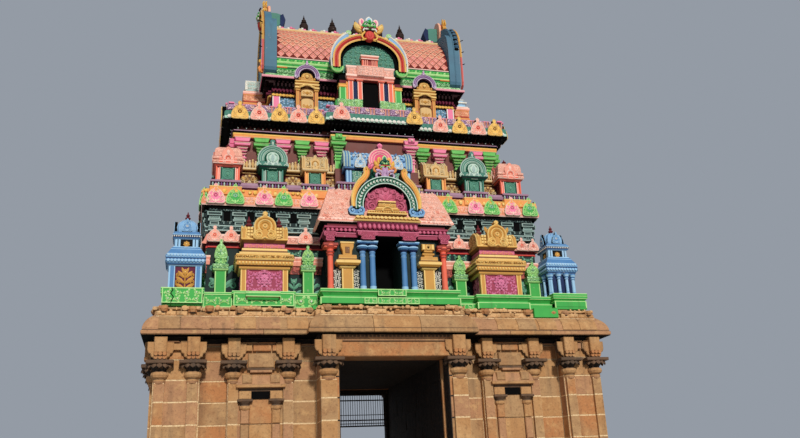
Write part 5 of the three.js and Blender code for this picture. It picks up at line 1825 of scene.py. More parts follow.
def bracket_capital(width, z0, z1, front, back):
    """Magenta bracket with a curled side, under the beam."""
    work = Carving()
    w, h = width / 2, z1 - z0
    half = [
        (0, 0), (0.55, 0), (0.72, 0.12), (0.62, 0.3), (0.72, 0.45), (0.95, 0.55), (1, 0.75), (0.92, 1),
        (0, 1),
    ]
    line = both([(x * w, z0 + z * h) for x, z in half])
    plate(work, line, front, back, "magenta", "wine", 0.012)
    rope(work, [(x, front, z) for x, z in inset(line, 0.012)], 0.012, "rose", 4, closed=True)
    for side in (-1, 1):
        coil(work, side, w * 0.62, z0 + h * 0.66, h * 0.24, -1.3, 8, front - 0.01, 0.015, "rose", 4)
        coil(work, side, w * 0.25, z0 + h * 0.34, h * 0.2, 1.2, 8, front - 0.01, 0.013, "rose", 4)
    return work


def porch_beam():
    work = Carving()
    block(work, -1.70, 1.70, -3.47, -3.2, 7.94, 8.055, "magenta")
    # painted shadow in the deep core behind the beams
    block(work, -1.70, 1.70, -3.45, -2.41, 7.925, 8.42, "void")
    block(work, -1.72, 1.72, -3.49, -3.3, 8.035, 8.06, "rose")
    block(work, -1.72, 1.72, -3.48, -3.2, 8.19, 8.25, "magenta", 0.01)
    block(work, -1.64, 1.64, -3.46, -3.2, 8.25, 8.42, "maroon")
    block(work, -0.83, 0.83, -3.60, -3.3, 7.96, 8.09, "magenta")
    # a strip of painted shadow under the middle beam
    block(work, -0.82, 0.82, -3.58, -3.2, 7.935, 7.965, "void")
    block(work, -0.87, 0.87, -3.62, -3.3, 8.065, 8.095, "rose", 0.006)
    block(work, -0.84, 0.84, -3.57, -3.3, 8.09, 8.36, "wine")
    for x0, x1, y, z, h in (
        (-1.68, -0.86, -3.455, 8.19, 0.12), (0.86, 1.68, -3.455, 8.19, 0.12),
        (-0.83, 0.83, -3.57, 8.31, 0.2),
    ):
        count = round((x1 - x0) / 0.125)
        step = (x1 - x0) / count
        for i in range(count):
            x = x0 + (i + 0.5) * step
            leaf(work, spot(x, y, z, roll=180, lean=14), h, step * 0.98, "magenta", 0.4)
            leaf(work, spot(x, y - 0.03, z - 0.015, roll=180, lean=15), h * 0.78, step * 0.55, "rose", 0.35)
    for side, turn in ((1, 90), (-1, 270)):
        draft = Carving()
        petal_row(draft, -0.50, 0.48, 0, 8.18, 0.11, "rose", None, 12, 0.11)
        work.stamp(draft, spot(side * 1.70, -2.93, turn=turn))
    for x in (-1.58, 1.58):
        work.stamp(bracket_capital(0.34, 7.80, 8.07, -3.56, -3.2), spot(x))
    for x in (-0.57, 0.57):
        work.stamp(bracket_capital(0.56, 7.845, 8.07, -3.63, -3.2), spot(x))
    return work


def porch():
    work = Carving()
    work.stamp(porch_columns(-1, True))
    work.stamp(porch_columns(1, False))
    # the doorway behind the columns is painted shadow
    block(work, -0.352, 0.352, -2.46, -2.41, 6.40, 8.0, "void")
    work.stamp(porch_beam())
    return work


FACES = (("front", 0), ("back", 180))
for node, turn in FACES:
    porch().at(turn=turn).piece("porch_piece_" + node, "magenta_stucco", "porch_" + node)

# %% [markdown]
# ## The guardian mask
#
# The mask of a guardian beast crowns every great arch: bulging eyes, a broad nose, teeth over a
# red tongue, cupped petals for ears and a crest. It is drawn once, one unit wide, and on the porch
# arch its paint names are swapped.

# %% The guardian mask
def guardian():
    """Mask about the point between its eyes, one unit wide with its petals."""
    work = Carving()
    head = both([
        (0, -0.16), (0.17, -0.16), (0.23, -0.08), (0.235, 0.04), (0.17, 0.12), (0.06, 0.17), (0.0, 0.18),
    ])
    plate(work, head, -0.14, 0.14, "green", "jade", 0.06)
    leaf(work, spot(0, -0.05, 0.09, lean=-4), 0.27, 0.24, "white", 0.2, 0.05)
    leaf(work, spot(0, -0.09, 0.11, lean=-4), 0.19, 0.15, "sky", 0.3, 0.05)
    bead(work, 0.0, -0.17, 0.11, 0.062, "green", (1.1, 0.8, 1.2), 8)
    for s in (-1, 1):
        cup = bent([
            (s * 0.22, -0.26), (s * 0.36, -0.22), (s * 0.48, -0.08), (s * 0.50, 0.06), (s * 0.45, 0.15),
            (s * 0.36, 0.08), (s * 0.27, 0.0), (s * 0.22, -0.06),
        ], 3)
        cup = cup if s > 0 else cup[::-1]
        plate(work, cup, -0.04, 0.07, "yellow", "gold", 0.03)
        rope(work, [(x, -0.045, z) for x, z in inset(cup, 0.035)], 0.014, "straw", 4, closed=True)
        leaf(work, spot(s * 0.31, -0.05, -0.14, roll=s * 38), 0.26, 0.12, "straw", 0.4, 0.2)
        ear = bent([
            (s * 0.12, 0.05), (s * 0.27, 0.0), (s * 0.33, 0.12), (s * 0.32, 0.24), (s * 0.25, 0.305),
            (s * 0.17, 0.27), (s * 0.13, 0.16),
        ], 3)
        ear = ear if s > 0 else ear[::-1]
        plate(work, ear, -0.03, 0.07, "blush", "pink", 0.03)
        leaf(work, spot(s * 0.22, -0.035, 0.07, roll=s * 6), 0.18, 0.09, "pink", 0.35, 0.2)
        bead(work, s * 0.115, -0.14, 0.0, 0.078, "jade", (1.1, 0.6, 1.0), 8)
        bead(work, s * 0.115, -0.185, 0.0, 0.048, "white", (1, 0.7, 0.9), 8)
        bead(work, s * 0.115, -0.215, 0.0, 0.024, "black", (1, 0.7, 1), 6)
        rope(work, arc(s * 0.115, 0.0, 0.085, 15, 165, 6, -0.175), 0.022, "green", 4)
        rope(
            work, [(s * 0.03, -0.20, 0.07), (s * 0.10, -0.18, 0.11), (s * 0.19, -0.15, 0.09)], 0.022,
            "jade", 4, 0.01
        )
        bead(work, s * 0.055, -0.22, -0.065, 0.05, "mint", (1.1, 0.8, 0.8), 6)
        bead(work, s * 0.155, -0.18, -0.085, 0.06, "green", (1.2, 0.8, 0.7), 6)
        bead(work, s * 0.245, -0.12, -0.12, 0.05, "red", (1, 0.8, 0.9), 6)
        for x in (0.075, 0.125, 0.175):
            bead(work, s * x, -0.19, -0.185, 0.034, "white", (0.8, 0.8, 1.1), 6)
        leaf(work, spot(s * 0.20, -0.17, -0.16, roll=180 - s * 10), 0.12, 0.05, "white", 0.4, 0.0)
        whisker = bent([
            (s * 0.20, -0.20), (s * 0.17, -0.28), (s * 0.24, -0.36), (s * 0.25, -0.46), (s * 0.18, -0.53),
            (s * 0.11, -0.50), (s * 0.13, -0.45),
        ], 3)
        rope(work, [(x, -0.11, z) for x, z in whisker], 0.034, "yellow", 5, 0.02)
    rope(
        work, [(-0.22, -0.16, -0.145), (-0.1, -0.2, -0.14), (0.1, -0.2, -0.14), (0.22, -0.16, -0.145)],
        0.022, "wine", 5
    )
    plate(
        work, both([(0, -0.32), (0.16, -0.32), (0.20, -0.16), (0, -0.14)]), -0.10, 0.1, "wine", "wine",
        0.02
    )
    tongue = both([
        (0, -0.57), (0.08, -0.555), (0.14, -0.48), (0.155, -0.38), (0.12, -0.28), (0.05, -0.235),
        (0, -0.23),
    ])
    plate(work, tongue, -0.17, 0.04, "red", "red", 0.035)
    bead(work, 0, -0.17, -0.38, 0.07, "red", (1.1, 0.4, 1.6), 8)
    return work


MASK = guardian()
print("guardian mask:", len(MASK.faces), "faces")

# %% [markdown]
# ## The porch roof and its arch
#
# The salmon roof slopes like a bell. In front of it stands a horseshoe arch of gold and green
# bands with rows of pearls, with blue coils at its feet and a magenta field inside. On its foot
# stands a small gold altar in three steps.

# %% Band of an arch
def arch_band(work, line, inner, front, back, coat, side):
    """Raised band between two matching lines of x, z points."""
    n = len(line)
    points = []
    for row, y in ((line, back), (line, front), (inner, front), (inner, back)):
        points += [(x, y, z) for x, z in row]
    faces, coats = [], []
    for k in range(3):
        for i in range(n - 1):
            a = k * n + i
            faces.append((a, a + n, a + n + 1, a + 1))
            coats.append(coat if k == 1 else side)
    faces += [(0, 3 * n, 2 * n, n), (n - 1, 2 * n - 1, 3 * n - 1, 4 * n - 1)]
    work.put(points, faces, coats + [side, side])


def shoe(cx, cz, r, start, end, steps=28):
    """Open line of a horseshoe from its right foot to its left foot."""
    turns = [math.radians(start + (end - start) * i / steps) for i in range(steps + 1)]
    return [(cx + r * math.cos(a), cz + r * math.sin(a)) for a in turns]


def porch_roof():
    work = Carving()
    rows = [
        (8.30, 1.60, 3.46), (8.36, 1.84, 3.505), (8.385, 1.90, 3.52), (8.42, 1.895, 3.52),
        (8.47, 1.87, 3.505), (8.56, 1.83, 3.48), (8.70, 1.79, 3.44), (8.85, 1.74, 3.39),
        (9.0, 1.69, 3.33), (9.2, 1.62, 3.24), (9.40, 1.55, 3.14), (9.43, 1.53, 3.12),
    ]
    # the row under the eaves and the underside of the roof are painted shadow
    coats = ["void", "blush", "salmon", "blush"] + ["blush_carved"] * 7 + ["blush"]
    n = len(rows)
    points = []
    for z, half, depth in rows:
        back = -2.94 if z > 9.0 else -2.42
        points += [(-half, -depth, z), (half, -depth, z), (half, back, z), (-half, back, z)]
    faces, paint = [], []
    for k in range(n - 1):
        for i in range(4):
            j = (i + 1) % 4
            faces.append((4 * k + i, 4 * k + j, 4 * k + 4 + j, 4 * k + 4 + i))
            paint.append(coats[k])
    faces += [(3, 2, 1, 0), (4 * n - 4, 4 * n - 3, 4 * n - 2, 4 * n - 1)]
    work.put(points, faces, paint + ["void", "orange"])
    rng = random.Random(64)
    for k in range(len(rows) - 4):
        z0, h0, d0 = rows[k + 3]
        z1, h1, d1 = rows[k + 4]
        for x in np.arange(-1.8, 1.81, 0.115):
            x += 0.055 * (k % 2)
            if abs(x) < 1.0 or abs(x) > min(h0, h1) - 0.05:
                continue
            x += rng.uniform(-0.012, 0.012)
            where = spot(x, -(d0 + d1) / 2 - 0.002, (z0 + z1) / 2, lean=28, roll=rng.uniform(0, 360))
            line = curl(0, 0, 0.047, 0, 1.1, 7, -0.004)
            draft = Carving()
            coat = "blush" if rng.random() < 0.75 else "salmon"
            rope(draft, line, 0.012, coat, 4, 0.008)
            leaf(draft, spot(0.02, -0.002, 0.02, roll=40), 0.05, 0.035, coat, 0.3)
            work.stamp(draft, where)
    cz = 8.84
    body = [(0.93, 8.42)] + shoe(0, cz, 0.86, -8, 188, 24) + [(-0.93, 8.42)]
    # the sides of the arch's field and the ring inside its band are painted shadow
    plate(work, body, -3.42, -2.95, "magenta", "void")
    lines = {r: shoe(0, cz, r, -6, 186, 36) for r in (0.60, 0.655, 0.68, 0.85, 0.875)}
    arch_band(work, lines[0.68], lines[0.60], -3.44, -3.40, "void", "void")
    arch_band(work, lines[0.875], lines[0.655], -3.53, -3.40, "bottle", "void")
    arch_band(work, lines[0.875], lines[0.85], -3.565, -3.5, "ice", "jade")
    arch_band(work, lines[0.68], lines[0.655], -3.565, -3.5, "ice", "jade")
    for x, z, _ in along(shoe(0, cz, 0.765, -4, 184, 60), 0.098):
        turn = math.degrees(math.atan2(x, z - cz))
        for lean in (-38, 38):
            leaf(work, spot(x, -3.53, z, roll=turn + lean + 90), 0.075, 0.045, "jade", 0.5, 0.3)
        bead(work, x, -3.555, z, 0.03, "white", (1, 0.8, 1))
    for s in (-1, 1):
        out = bent([
            (0.955, 8.80), (0.965, 8.95), (0.955, 9.15), (0.88, 9.38), (0.77, 9.56), (0.66, 9.68),
            (0.60, 9.78), (0.605, 9.88), (0.57, 9.95), (0.51, 9.96),
        ], 3)
        inn = bent([
            (0.872, 8.80), (0.878, 8.95), (0.865, 9.10), (0.79, 9.31), (0.69, 9.46), (0.575, 9.57),
            (0.49, 9.70), (0.46, 9.80), (0.46, 9.88), (0.49, 9.93),
        ], 3)
        if s < 0:
            out, inn = [(-x, z) for x, z in out][::-1], [(-x, z) for x, z in inn][::-1]
        arch_band(work, out, inn, -3.54, -3.20, "orange", "brass")
        rope(work, [(x, -3.545, z) for x, z in out], 0.026, "straw", 4)
        rope(work, [(x, -3.545, z) for x, z in inn], 0.016, "gold", 4)
        middle = [((a + c) / 2, -3.545, (b + d) / 2) for (a, b), (c, d) in zip(out, inn)]
        rope(work, middle, 0.022, "yellow", 4)
        bead(work, s * 0.53, -3.54, 9.895, 0.032, "brass", (1, 0.7, 1))
        for x, z, r, turns in ((0.96, 8.68, 0.105, -1.2), (0.73, 8.68, 0.105, 1.2)):
            coil(work, s, x, z, r, turns, 14, -3.545, 0.030, "powder", 6, 0.018)
            coil(work, s, x, z, r * 1.12, turns, 14, -3.535, 0.016, "sky", 4, 0.012)
            bead(work, s * x, -3.55, z, 0.03, "sky")
        sided_block(work, s, 0.66, 1.03, -3.52, -3.3, 8.58, 8.73, "blue", 0.02)
        # a dark plate of painted shadow behind each foot of blue coils
        sided_block(work, s, 0.62, 1.07, -3.48, -3.2, 8.53, 8.76, "void", 0.02)
        rope(
            work, [(s * 0.66, -3.545, 8.585), (s * 0.84, -3.55, 8.57), (s * 1.03, -3.545, 8.60)], 0.022,
            "sky", 5
        )
    work.stamp(plant(0.62, 0.56, "rose", "rose"), spot(0, -3.425, 9.05))
    for s in (-1, 1):
        for x, z, r, start in ((0.40, 8.86, 0.15, 90), (0.40, 9.12, 0.10, 200), (0.24, 9.30, 0.07, 240)):
            rope(
                work, curl(s * x, z, r, start if s > 0 else 180 - start, -s * 1.4, 12, -3.44), 0.028,
                "rose", 5, 0.016
            )
        for x, z, roll in (
            (0.52, 8.98, 20), (0.54, 8.74, 100), (0.24, 8.80, -30), (0.27, 8.98, -40), (0.5, 9.18, -10),
        ):
            leaf(work, spot(s * x, -3.425, z, roll=s * roll), 0.13, 0.08, "rose", 0.5)
    for i, (x, roll) in enumerate((
        (0, 0), (0.16, 12), (-0.16, -12), (0.31, 26), (-0.31, -26), (0.44, 42), (-0.44, -42),
    )):
        leaf(work, spot(x, -3.425, 9.32 - abs(x) * 0.45, roll=roll), 0.13, 0.10, "rose", 0.5)
    mould(work, rect(-0.92, 0.92, -3.58, -3.2), [
        (8.385, 0.0, "straw"), (8.415, 0.02, "gold"), (8.44, -0.01, "brass"), (8.455, -0.02, "gold"),
        (8.53, -0.05, "straw"), (8.54, -0.06, "gold"), (8.56, -0.16, "gold"),
    ])
    petal_row(work, -0.88, 0.88, -3.575, 8.53, 0.085, "straw", None, 20, 0.11)
    mould(work, rect(-0.56, 0.56, -3.59, -3.2), [
        (8.56, -0.06, "brass"), (8.60, 0.0, "straw"), (8.625, 0.0, "gold"), (8.68, -0.03, "straw"),
        (8.70, -0.03, "gold"), (8.71, -0.1, "gold"),
    ])
    bead_row(work, -0.5, 0.5, -3.57, 8.655, 0.022, "brass", 1.5)
    mould(work, rect(-0.25, 0.25, -3.59, -3.2), [
        (8.70, -0.06, "brass"), (8.79, -0.06, "straw"), (8.81, 0.0, "gold"), (8.88, 0.0, "straw"),
        (8.90, -0.02, "brass"), (8.94, 0.0, "straw"), (8.98, -0.01, "gold"),
    ])
    block(work, -0.34, 0.34, -3.585, -3.2, 8.70, 8.76, "gold", 0.008)
    block(work, -0.30, 0.30, -3.57, -3.2, 8.76, 8.80, "straw", 0.008)
    rope(work, arc(0, 8.66, 0.14, 10, 170, 8, -3.60), 0.02, "straw", 4)
    for s in (-1, 1):
        coil(work, s, 0.08, 8.855, 0.045, -1.1, 8, -3.595, 0.012, "straw", 4)
    line = both([
        (0, 9.90), (0.17, 9.95), (0.28, 10.05), (0.36, 10.13), (0.345, 10.32), (0.335, 10.45),
        (0.27, 10.60), (0.15, 10.70), (0.06, 10.72), (0.045, 10.76), (0.085, 10.82), (0.05, 10.87),
        (0.0, 10.90),
    ])
    plate(work, [(x - 0.04, z) for x, z in line], -3.17, -2.94, "pink", "magenta", 0.02)
    disc = [(x - 0.04, z) for x, z in shoe(0, 10.36, 0.22, -60, 240, 20)]
    plate(work, disc, -3.175, -3.1, "hot_pink", "hot_pink")
    for r, width, coat in (
        (0.335, 0.02, "blush"), (0.30, 0.024, "pink"), (0.265, 0.014, "blush"), (0.225, 0.024, "pink"),
        (0.19, 0.012, "blush"),
    ):
        rope(work, [(x - 0.04, -3.18, z) for x, z in shoe(0, 10.36, r, -25, 205, 20)], width, coat, 4)
    for s in (-1, 1):
        rope(work, curl(s * 0.30 - 0.04, 10.12, 0.07, 90, -s * 1.2, 8, -3.18), 0.022, "pink", 4)
    bead(work, -0.04, -3.17, 10.81, 0.05, "pink")
    block(work, -0.34, 0.34, -3.28, -2.94, 9.60, 10.05, "bottle")
    swap = {
        "green": "bottle", "jade": "teal", "yellow": "orange", "straw": "yellow", "rose": "magenta",
        "pink": "orange", "sky": "teal", "white": "mint", "blush": "yellow", "red": "lilac",
        "wine": "red",
    }
    work.stamp(MASK, spot(0.02, -3.36, 10.17, size=(0.60, 0.6, 0.68)), swap)
    for s in (-1, 1):
        start = 60 if s > 0 else 120
        for y, r, coat, sides, taper in (
            (-3.44, 0.042, "lilac", 5, 0.026), (-3.47, 0.014, "pearl", 4, None),
        ):
            rope(work, curl(s * 0.18 + 0.01, 9.79, 0.15, start, s * 1.25, 14, y), r, coat, sides, taper)
        rope(work, curl(s * 0.24 + 0.01, 9.98, 0.09, 270, s * 1.1, 10, -3.43), 0.034, "orange", 5, 0.02)
        cheek = [(s * x + 0.01, z) for x, z in ((0.09, 9.88), (0.2, 9.86), (0.21, 10.0), (0.1, 10.02))]
        plate(work, cheek[::s], -3.41, -3.3, "red", "red", 0.01)
        line = [(0.05, 10.02), (0.055, 9.86), (0.085, 9.74), (0.17, 9.69)]
        line = [(s * x + 0.01, -3.46 - 0.02 * (k == 1), z) for k, (x, z) in enumerate(line)]
        rope(work, line, 0.034, "lilac", 5, 0.02)
    plate(
        work, both([(0, 9.66), (0.07, 9.68), (0.10, 9.80), (0.07, 9.95), (0, 10.02)]), -3.46, -3.3,
        "lilac", "purple", 0.02
    )
    return work


for node, turn in FACES:
    porch_roof().at(turn=turn).piece("porch_arch_" + node, "coral_stucco", "porch_roof_" + node)

# %% [markdown]
# ## First cornice
#
# The main cornice rolls over like a thatched eave, in salmon, with pink and green horseshoe
# windows set on it in turn. An orange band with pale lumps closes it on top. The underside is
# black with soot and painted shade.

# %% First cornice
C1_PLAN = plan([(1.35, 2.70), (1.35, 2.40), (4.72, 2.40)])


def carved_band(work, x0, x1, y, z0, z1, lean, coat, step=0.115, seed=1):
    """Small painted curls scattered on a sloping band."""
    rng = random.Random(seed)
    count = max(1, round((x1 - x0) / step))
    for i in range(count):
        x = x0 + (i + 0.5) * (x1 - x0) / count
        draft = Carving()
        rope(draft, curl(0, 0, (z1 - z0) * 0.4, 0, 1.1, 7, -0.004), 0.013, coat, 4, 0.008)
        work.stamp(draft, spot(x, y, (z0 + z1) / 2, lean=lean, roll=rng.uniform(0, 360)))


def cornice_one():
    work = Carving()
    # the underside takes the black coat: soot and painted shade
    mould(work, C1_PLAN, [
        (8.995, -0.02, "black"), (9.00, 0.12, "black"), (9.02, 0.185, "blush"), (9.05, 0.205, "salmon"),
        (9.08, 0.21, "apricot_carved"), (9.14, 0.205, "apricot_carved"), (9.20, 0.195, "apricot_carved"),
        (9.26, 0.175, "apricot_carved"), (9.29, 0.16, "blush"), (9.30, 0.155, "orange"),
        (9.32, 0.17, "orange"), (9.49, 0.165, "yellow"), (9.52, 0.13, "orange"), (9.53, 0.06, "plum"),
        (9.55, 0.03, "plum"),
    ])

    def face(draft, x0, x1, y, seed):
        rng = random.Random(seed)
        for a, b in ((3.86, 4.72), (2.60, 3.42), (1.40, 2.22)):
            for s in (-1, 1):
                if x0 < s * (a + b) / 2 < x1:
                    lo, hi = sorted((s * a, s * b))
                    block(draft, lo, hi, y - 0.205, y, 9.34, 9.57, "orange", 0.01)
                    block(draft, lo - 0.01, hi + 0.01, y - 0.215, y, 9.555, 9.585, "straw", 0.008)
        x = x0 + 0.06
        while x < x1 - 0.05:
            w = rng.uniform(0.06, 0.12)
            z = 9.43 + rng.uniform(-0.03, 0.03)
            coat = "straw" if rng.random() < 0.6 else "yellow"
            bead(draft, x, y - 0.20, z, w / 2, coat, (1.1, 0.6, 1.1), 5)
            if rng.random() < 0.7:
                line = curl(x, 9.44, 0.06, rng.uniform(0, 360), 0.9, 6, y - 0.205)
                rope(draft, line, 0.014, "yellow", 4)
            x += w + rng.uniform(0.03, 0.12)
        carved_band(draft, x0, x1, y - 0.198, 9.11, 9.20, 6, "blush", 0.12, seed)
        carved_band(draft, x0 + 0.04, x1, y - 0.178, 9.20, 9.29, 16, "blush", 0.12, seed + 1)

    def kudus(draft, spots, y, pair):
        for k, x in enumerate(spots):
            draft.stamp(kudu(0.50, 0.62, *pair[k % 2], 0.11), spot(x, y - 0.19, 9.045, lean=7))

    pink, leafy = ("pink", "blush", "rose"), ("green", "mint", "jade")
    for turn, left, right in ((0, (-4.55, -4.03, -3.24, -2.71, -2.0), (2.10, 2.92, 3.42, 4.08, 4.64)),
                              (180, (-4.60, -4.08, -3.42, -2.92, -2.1), (2.0, 2.71, 3.24, 4.03, 4.55))):
        draft = Carving()
        face(draft, -4.86, -1.6, -2.4, 11 + turn)
        face(draft, 1.6, 4.86, -2.4, 12 + turn)
        kudus(draft, left, -2.4, (pink, leafy))
        kudus(draft, right, -2.4, (leafy, pink))
        work.stamp(draft, spot(turn=turn))
    for turn in (90, 270):
        draft = Carving()
        face(draft, -2.5, 2.5, -4.72, 15 + turn)
        kudus(draft, (-2.1, -1.3, -0.62, 0.0, 0.62, 1.3, 2.1), -4.72, (leafy, pink))
        work.stamp(draft, spot(turn=turn))
    for sx in (-1, 1):
        for sy in (-1, 1):
            where = spot(sx * 4.84, sy * 2.52, 9.05, turn=45 * sx * (1 if sy < 0 else 3))
            work.stamp(kudu(0.34, 0.50, *leafy, 0.05), where)
    return work


cornice_one().piece("salmon_cornice", "salmon_stucco", "cornice1")

# %% [markdown]
# ## The wall of storey two
#
# This wall is brown-red. Stepped capitals, pink and green in turn, stand close together under an
# orange beam, and a cream row of fingers runs between the small shrines in front of it. In the
# middle the wall steps forward a little behind the long blue shrine.

# %% Capitals and fingers
def stepped_capital(coat, light, top=11.43, half=0.235, shaft=0.085):
    """Capital of flaring plates on a wall face y = 0, about x = 0."""
    work = Carving()
    steps = (
        (0.135, 0.0, 0.80, 0.98, 0.19), (0.265, 0.18, 0.92, 1.04, 0.21), (0.35, 0.30, 0.54, 0.68, 0.13),
        (0.44, 0.39, 0.48, 0.60, 0.12), (0.53, 0.485, 0.42, 0.52, 0.10),
    )
    for low, high, narrow, wide, proud in steps:
        line = both([
            (0, top - low), (half * narrow, top - low), (half * wide, top - high), (0, top - high),
        ])
        plate(work, line, -proud, 0.03, coat, coat, 0.01)
        a = half * wide
        y, z = -proud - 0.004, top - high - 0.012
        rope(work, [(-a, y, z), (a, y, z)], 0.015, light, 4)
    block(
        work, -half * 0.42, half * 0.42, -0.08, 0.03, top - 0.55, top,
        "bottle" if coat == "grass" else "maroon"
    )
    block(work, -shaft, shaft, -0.07, 0.03, 9.8, top - 0.5, coat)
    for s in (-1, 1):
        sided_block(work, s, shaft, shaft - 0.022, -0.08, 0.0, 9.8, top - 0.5, light)
    for z in (0.74, 0.64):
        block(work, -shaft - 0.035, shaft + 0.035, -0.10, 0.03, top - z, top - z + 0.045, coat, 0.01)
    return work


def fingers(x0, x1, y0=-0.42):
    """Cream row of fingers between shrines, over a mound of gold scrolls."""
    work = Carving()
    mid, wide = (x0 + x1) / 2, x1 - x0
    block(work, x0, x1, y0 + 0.12, 0.0, 10.30, 10.56, "brass")
    mould(work, rect(x0 + 0.005, x1 - 0.005, y0 + 0.08, 0.0), [
        (10.30, 0.0, "brass"), (10.32, 0.03, "sand"), (10.345, 0.045, "cream"), (10.385, 0.045, "sand"),
        (10.40, 0.015, "sand"),
    ])
    count = max(2, round(wide / 0.085))
    step = wide / count
    for i in range(count):
        x = x0 + (i + 0.5) * step
        rise = 0.03 * math.sin(i * 2.1)
        coat = "cream" if i % 2 else "sand"
        leaf(work, spot(x, y0 + 0.075, 10.385, lean=6), 0.24 + rise, step * 0.92, coat, 0.5, 0.5)
        bead(work, x, y0 + 0.08, 10.60 + rise, step * 0.42, coat, (1, 0.8, 1.1), 5)
    mould(work, rect(x0 + 0.01, x1 - 0.01, y0 + 0.14, 0.0), [
        (10.20, -0.04, "maroon"), (10.215, 0.02, "brass"), (10.235, 0.04, "sand"), (10.25, 0.03, "brass"),
        (10.26, -0.02, "maroon"), (10.30, -0.02, "maroon"),
    ])
    block(work, x0, x1, y0 + 0.16, 0.0, 9.80, 10.20, "maroon")
    mound = both([
        (0, 9.80), (wide * 0.5, 9.80), (wide * 0.49, 10.0), (wide * 0.38, 10.10), (wide * 0.18, 10.17),
        (0, 10.19),
    ])
    plate(work, [(mid + x, z) for x, z in mound], y0 + 0.06, y0 + 0.2, "brass", "brass", 0.01)
    for k, (x, z, r) in enumerate((
        (0.34, 9.93, 0.085), (0.14, 10.03, 0.075), (0.08, 9.88, 0.06), (0.27, 10.06, 0.05),
    )):
        for s in (-1, 1):
            line = curl(mid + s * x * wide, z, r, 90, -s * (1.3 if k % 2 else -1.3), 9, y0 + 0.045)
            rope(work, line, 0.022, "sand" if k % 2 else "cream", 4, 0.012)
    for i in range(7):
        t = -72 + 24 * i
        x, z = math.sin(math.radians(t)) * wide * 0.36, 9.88 + math.cos(math.radians(t)) * 0.21
        leaf(work, spot(mid + x, y0 + 0.05, z, roll=t), 0.085, 0.07, "straw" if i % 2 else "cream", 0.5)
    leaf(work, spot(mid, y0 + 0.045, 9.86), 0.15, 0.09, "cream", 0.5)
    return work


print("stepped capital:", len(stepped_capital("pink", "blush").faces), "faces")


# %% The storey-two wall
def storey_two_face(length, order, gaps, middle):
    """Wall face at y = 0 along x; order gives x and coat of the capitals."""
    work = Carving()
    for x, coat in order:
        light = "blush" if coat == "pink" else "mint"
        if middle and abs(x) < 1.25:
            draft = stepped_capital(coat, light, 11.50, 0.235, 0.10)
            block(draft, -0.10, 0.10, -0.26, 0.0, 11.42, 11.56, coat, 0.02)
            bead(draft, 0, -0.27, 11.48, 0.04, light)
            block(draft, -0.14, 0.14, -0.275, 0.0, 9.80, 10.42, "oxblood")
            work.stamp(draft, spot(x, -0.30))
        else:
            work.stamp(stepped_capital(coat, light), spot(x))
    for x0, x1 in gaps:
        work.stamp(fingers(x0, x1))
    if middle:
        block(work, -1.25, 1.25, -0.30, 0.02, 9.79, 11.6, "oxblood")
    for x0, x1, y in ((-length, length, 0.0),) + (((-1.28, 1.28, -0.30),) if middle else ()):
        block(work, x0, x1, y - 0.10, y + 0.05, 11.455, 11.60, "orange", 0.012)
        block(work, x0, x1, y - 0.11, y + 0.02, 11.535, 11.60, "yellow", 0.012)
        block(work, x0, x1, y - 0.05, y + 0.02, 11.43, 11.46, "maroon")
        # a strip of painted shadow under the top moulding
        block(work, x0, x1, y - 0.13, y + 0.02, 11.60, 11.67, "void")
        block(work, x0, x1, y - 0.145, y + 0.02, 11.648, 11.672, "mauve")
        for i in range(round((x1 - x0) / 0.24)):
            bead(work, x0 + 0.12 + 0.24 * i, y - 0.17, 11.71, 0.017, "silver", (1, 1, 1.2), 5)
    return work


def storey_two_wall():
    work = Carving()
    for sign in (-1, 1):
        y0, y1 = sorted((sign * 1.695, sign * 1.1))
        block(work, -3.995, 3.995, y0, y1, 9.55, 11.86, "oxblood")
        a, b = sorted((sign * 3.4, sign * 3.995))
        block(work, a, b, -1.1, 1.1, 9.55, 11.86, "oxblood")
    left = [
        (-3.83, "pink"), (-3.28, "grass"), (-2.655, "pink"), (-2.09, "grass"), (-1.51, "pink"),
        (-1.05, "grass"),
    ]
    right = [
        (1.18, "pink"), (1.62, "grass"), (2.17, "pink"), (2.77, "grass"), (3.37, "pink"), (3.80, "grass"),
    ]
    gaps = [(-3.93, -3.32), (-2.70, -2.10), (-1.50, -0.96), (0.96, 1.52), (2.12, 2.70), (3.30, 3.86)]
    for turn in (0, 180):
        face = storey_two_face(4.09, left + right, gaps, True)
        work.stamp(face, spot(y=1.7 if turn else -1.7, turn=turn))
    side = [
        (-1.5, "grass"), (-0.98, "pink"), (-0.33, "grass"), (0.33, "pink"), (0.98, "grass"),
        (1.5, "pink"),
    ]
    for turn in (90, 270):
        face = storey_two_face(1.79, side, [(-0.82, -0.44), (0.44, 0.82)], False)
        work.stamp(face, spot(4.0 if turn == 90 else -4.0, turn=turn))
    return work


storey_two_wall().piece("storey_two_wall", "brown_stucco", "storey2_wall")

# %% [markdown]
# ## The row of small shrines on storey two
#
# Each shrine stands on a lilac slab with little white and purple posts, and the slab steps back
# between them. From the corner inward come a coral square shrine, a teal horseshoe shrine, a gold
# barrel shrine and, over the porch, the long blue one.

# %% Ledge and small shrines
POST = ((0.026, 9.58), (0.026, 9.61), (0.015, 9.64), (0.028, 9.69), (0.018, 9.73), (0.018, 9.74))


def ledge_bay(work, x0, x1, y, back=0.1):
    """Slab with posts under a shrine; y is its front."""
    mould(work, rect(x0, x1, y, back), [
        (9.735, -0.03, "plum"), (9.75, 0.0, "mauve"), (9.785, 0.01, "mauve"), (9.805, 0.0, "mauve"),
        (9.82, -0.02, "mauve"),
    ])
    block(work, x0 + 0.03, x1 - 0.03, y + 0.06, back, 9.55, 9.74, "maroon")
    count = max(2, round((x1 - x0) / 0.085))
    step = (x1 - x0 - 0.04) / count
    for i in range(count):
        x = x0 + 0.02 + (i + 0.5) * step
        coat = "purple" if i % 2 else "silver"
        lathe(work, [(r, z, coat) for r, z in POST], x, y + 0.035, 6)
    block(work, x0, x1, y + 0.02, back, 9.55, 9.61, "plum")


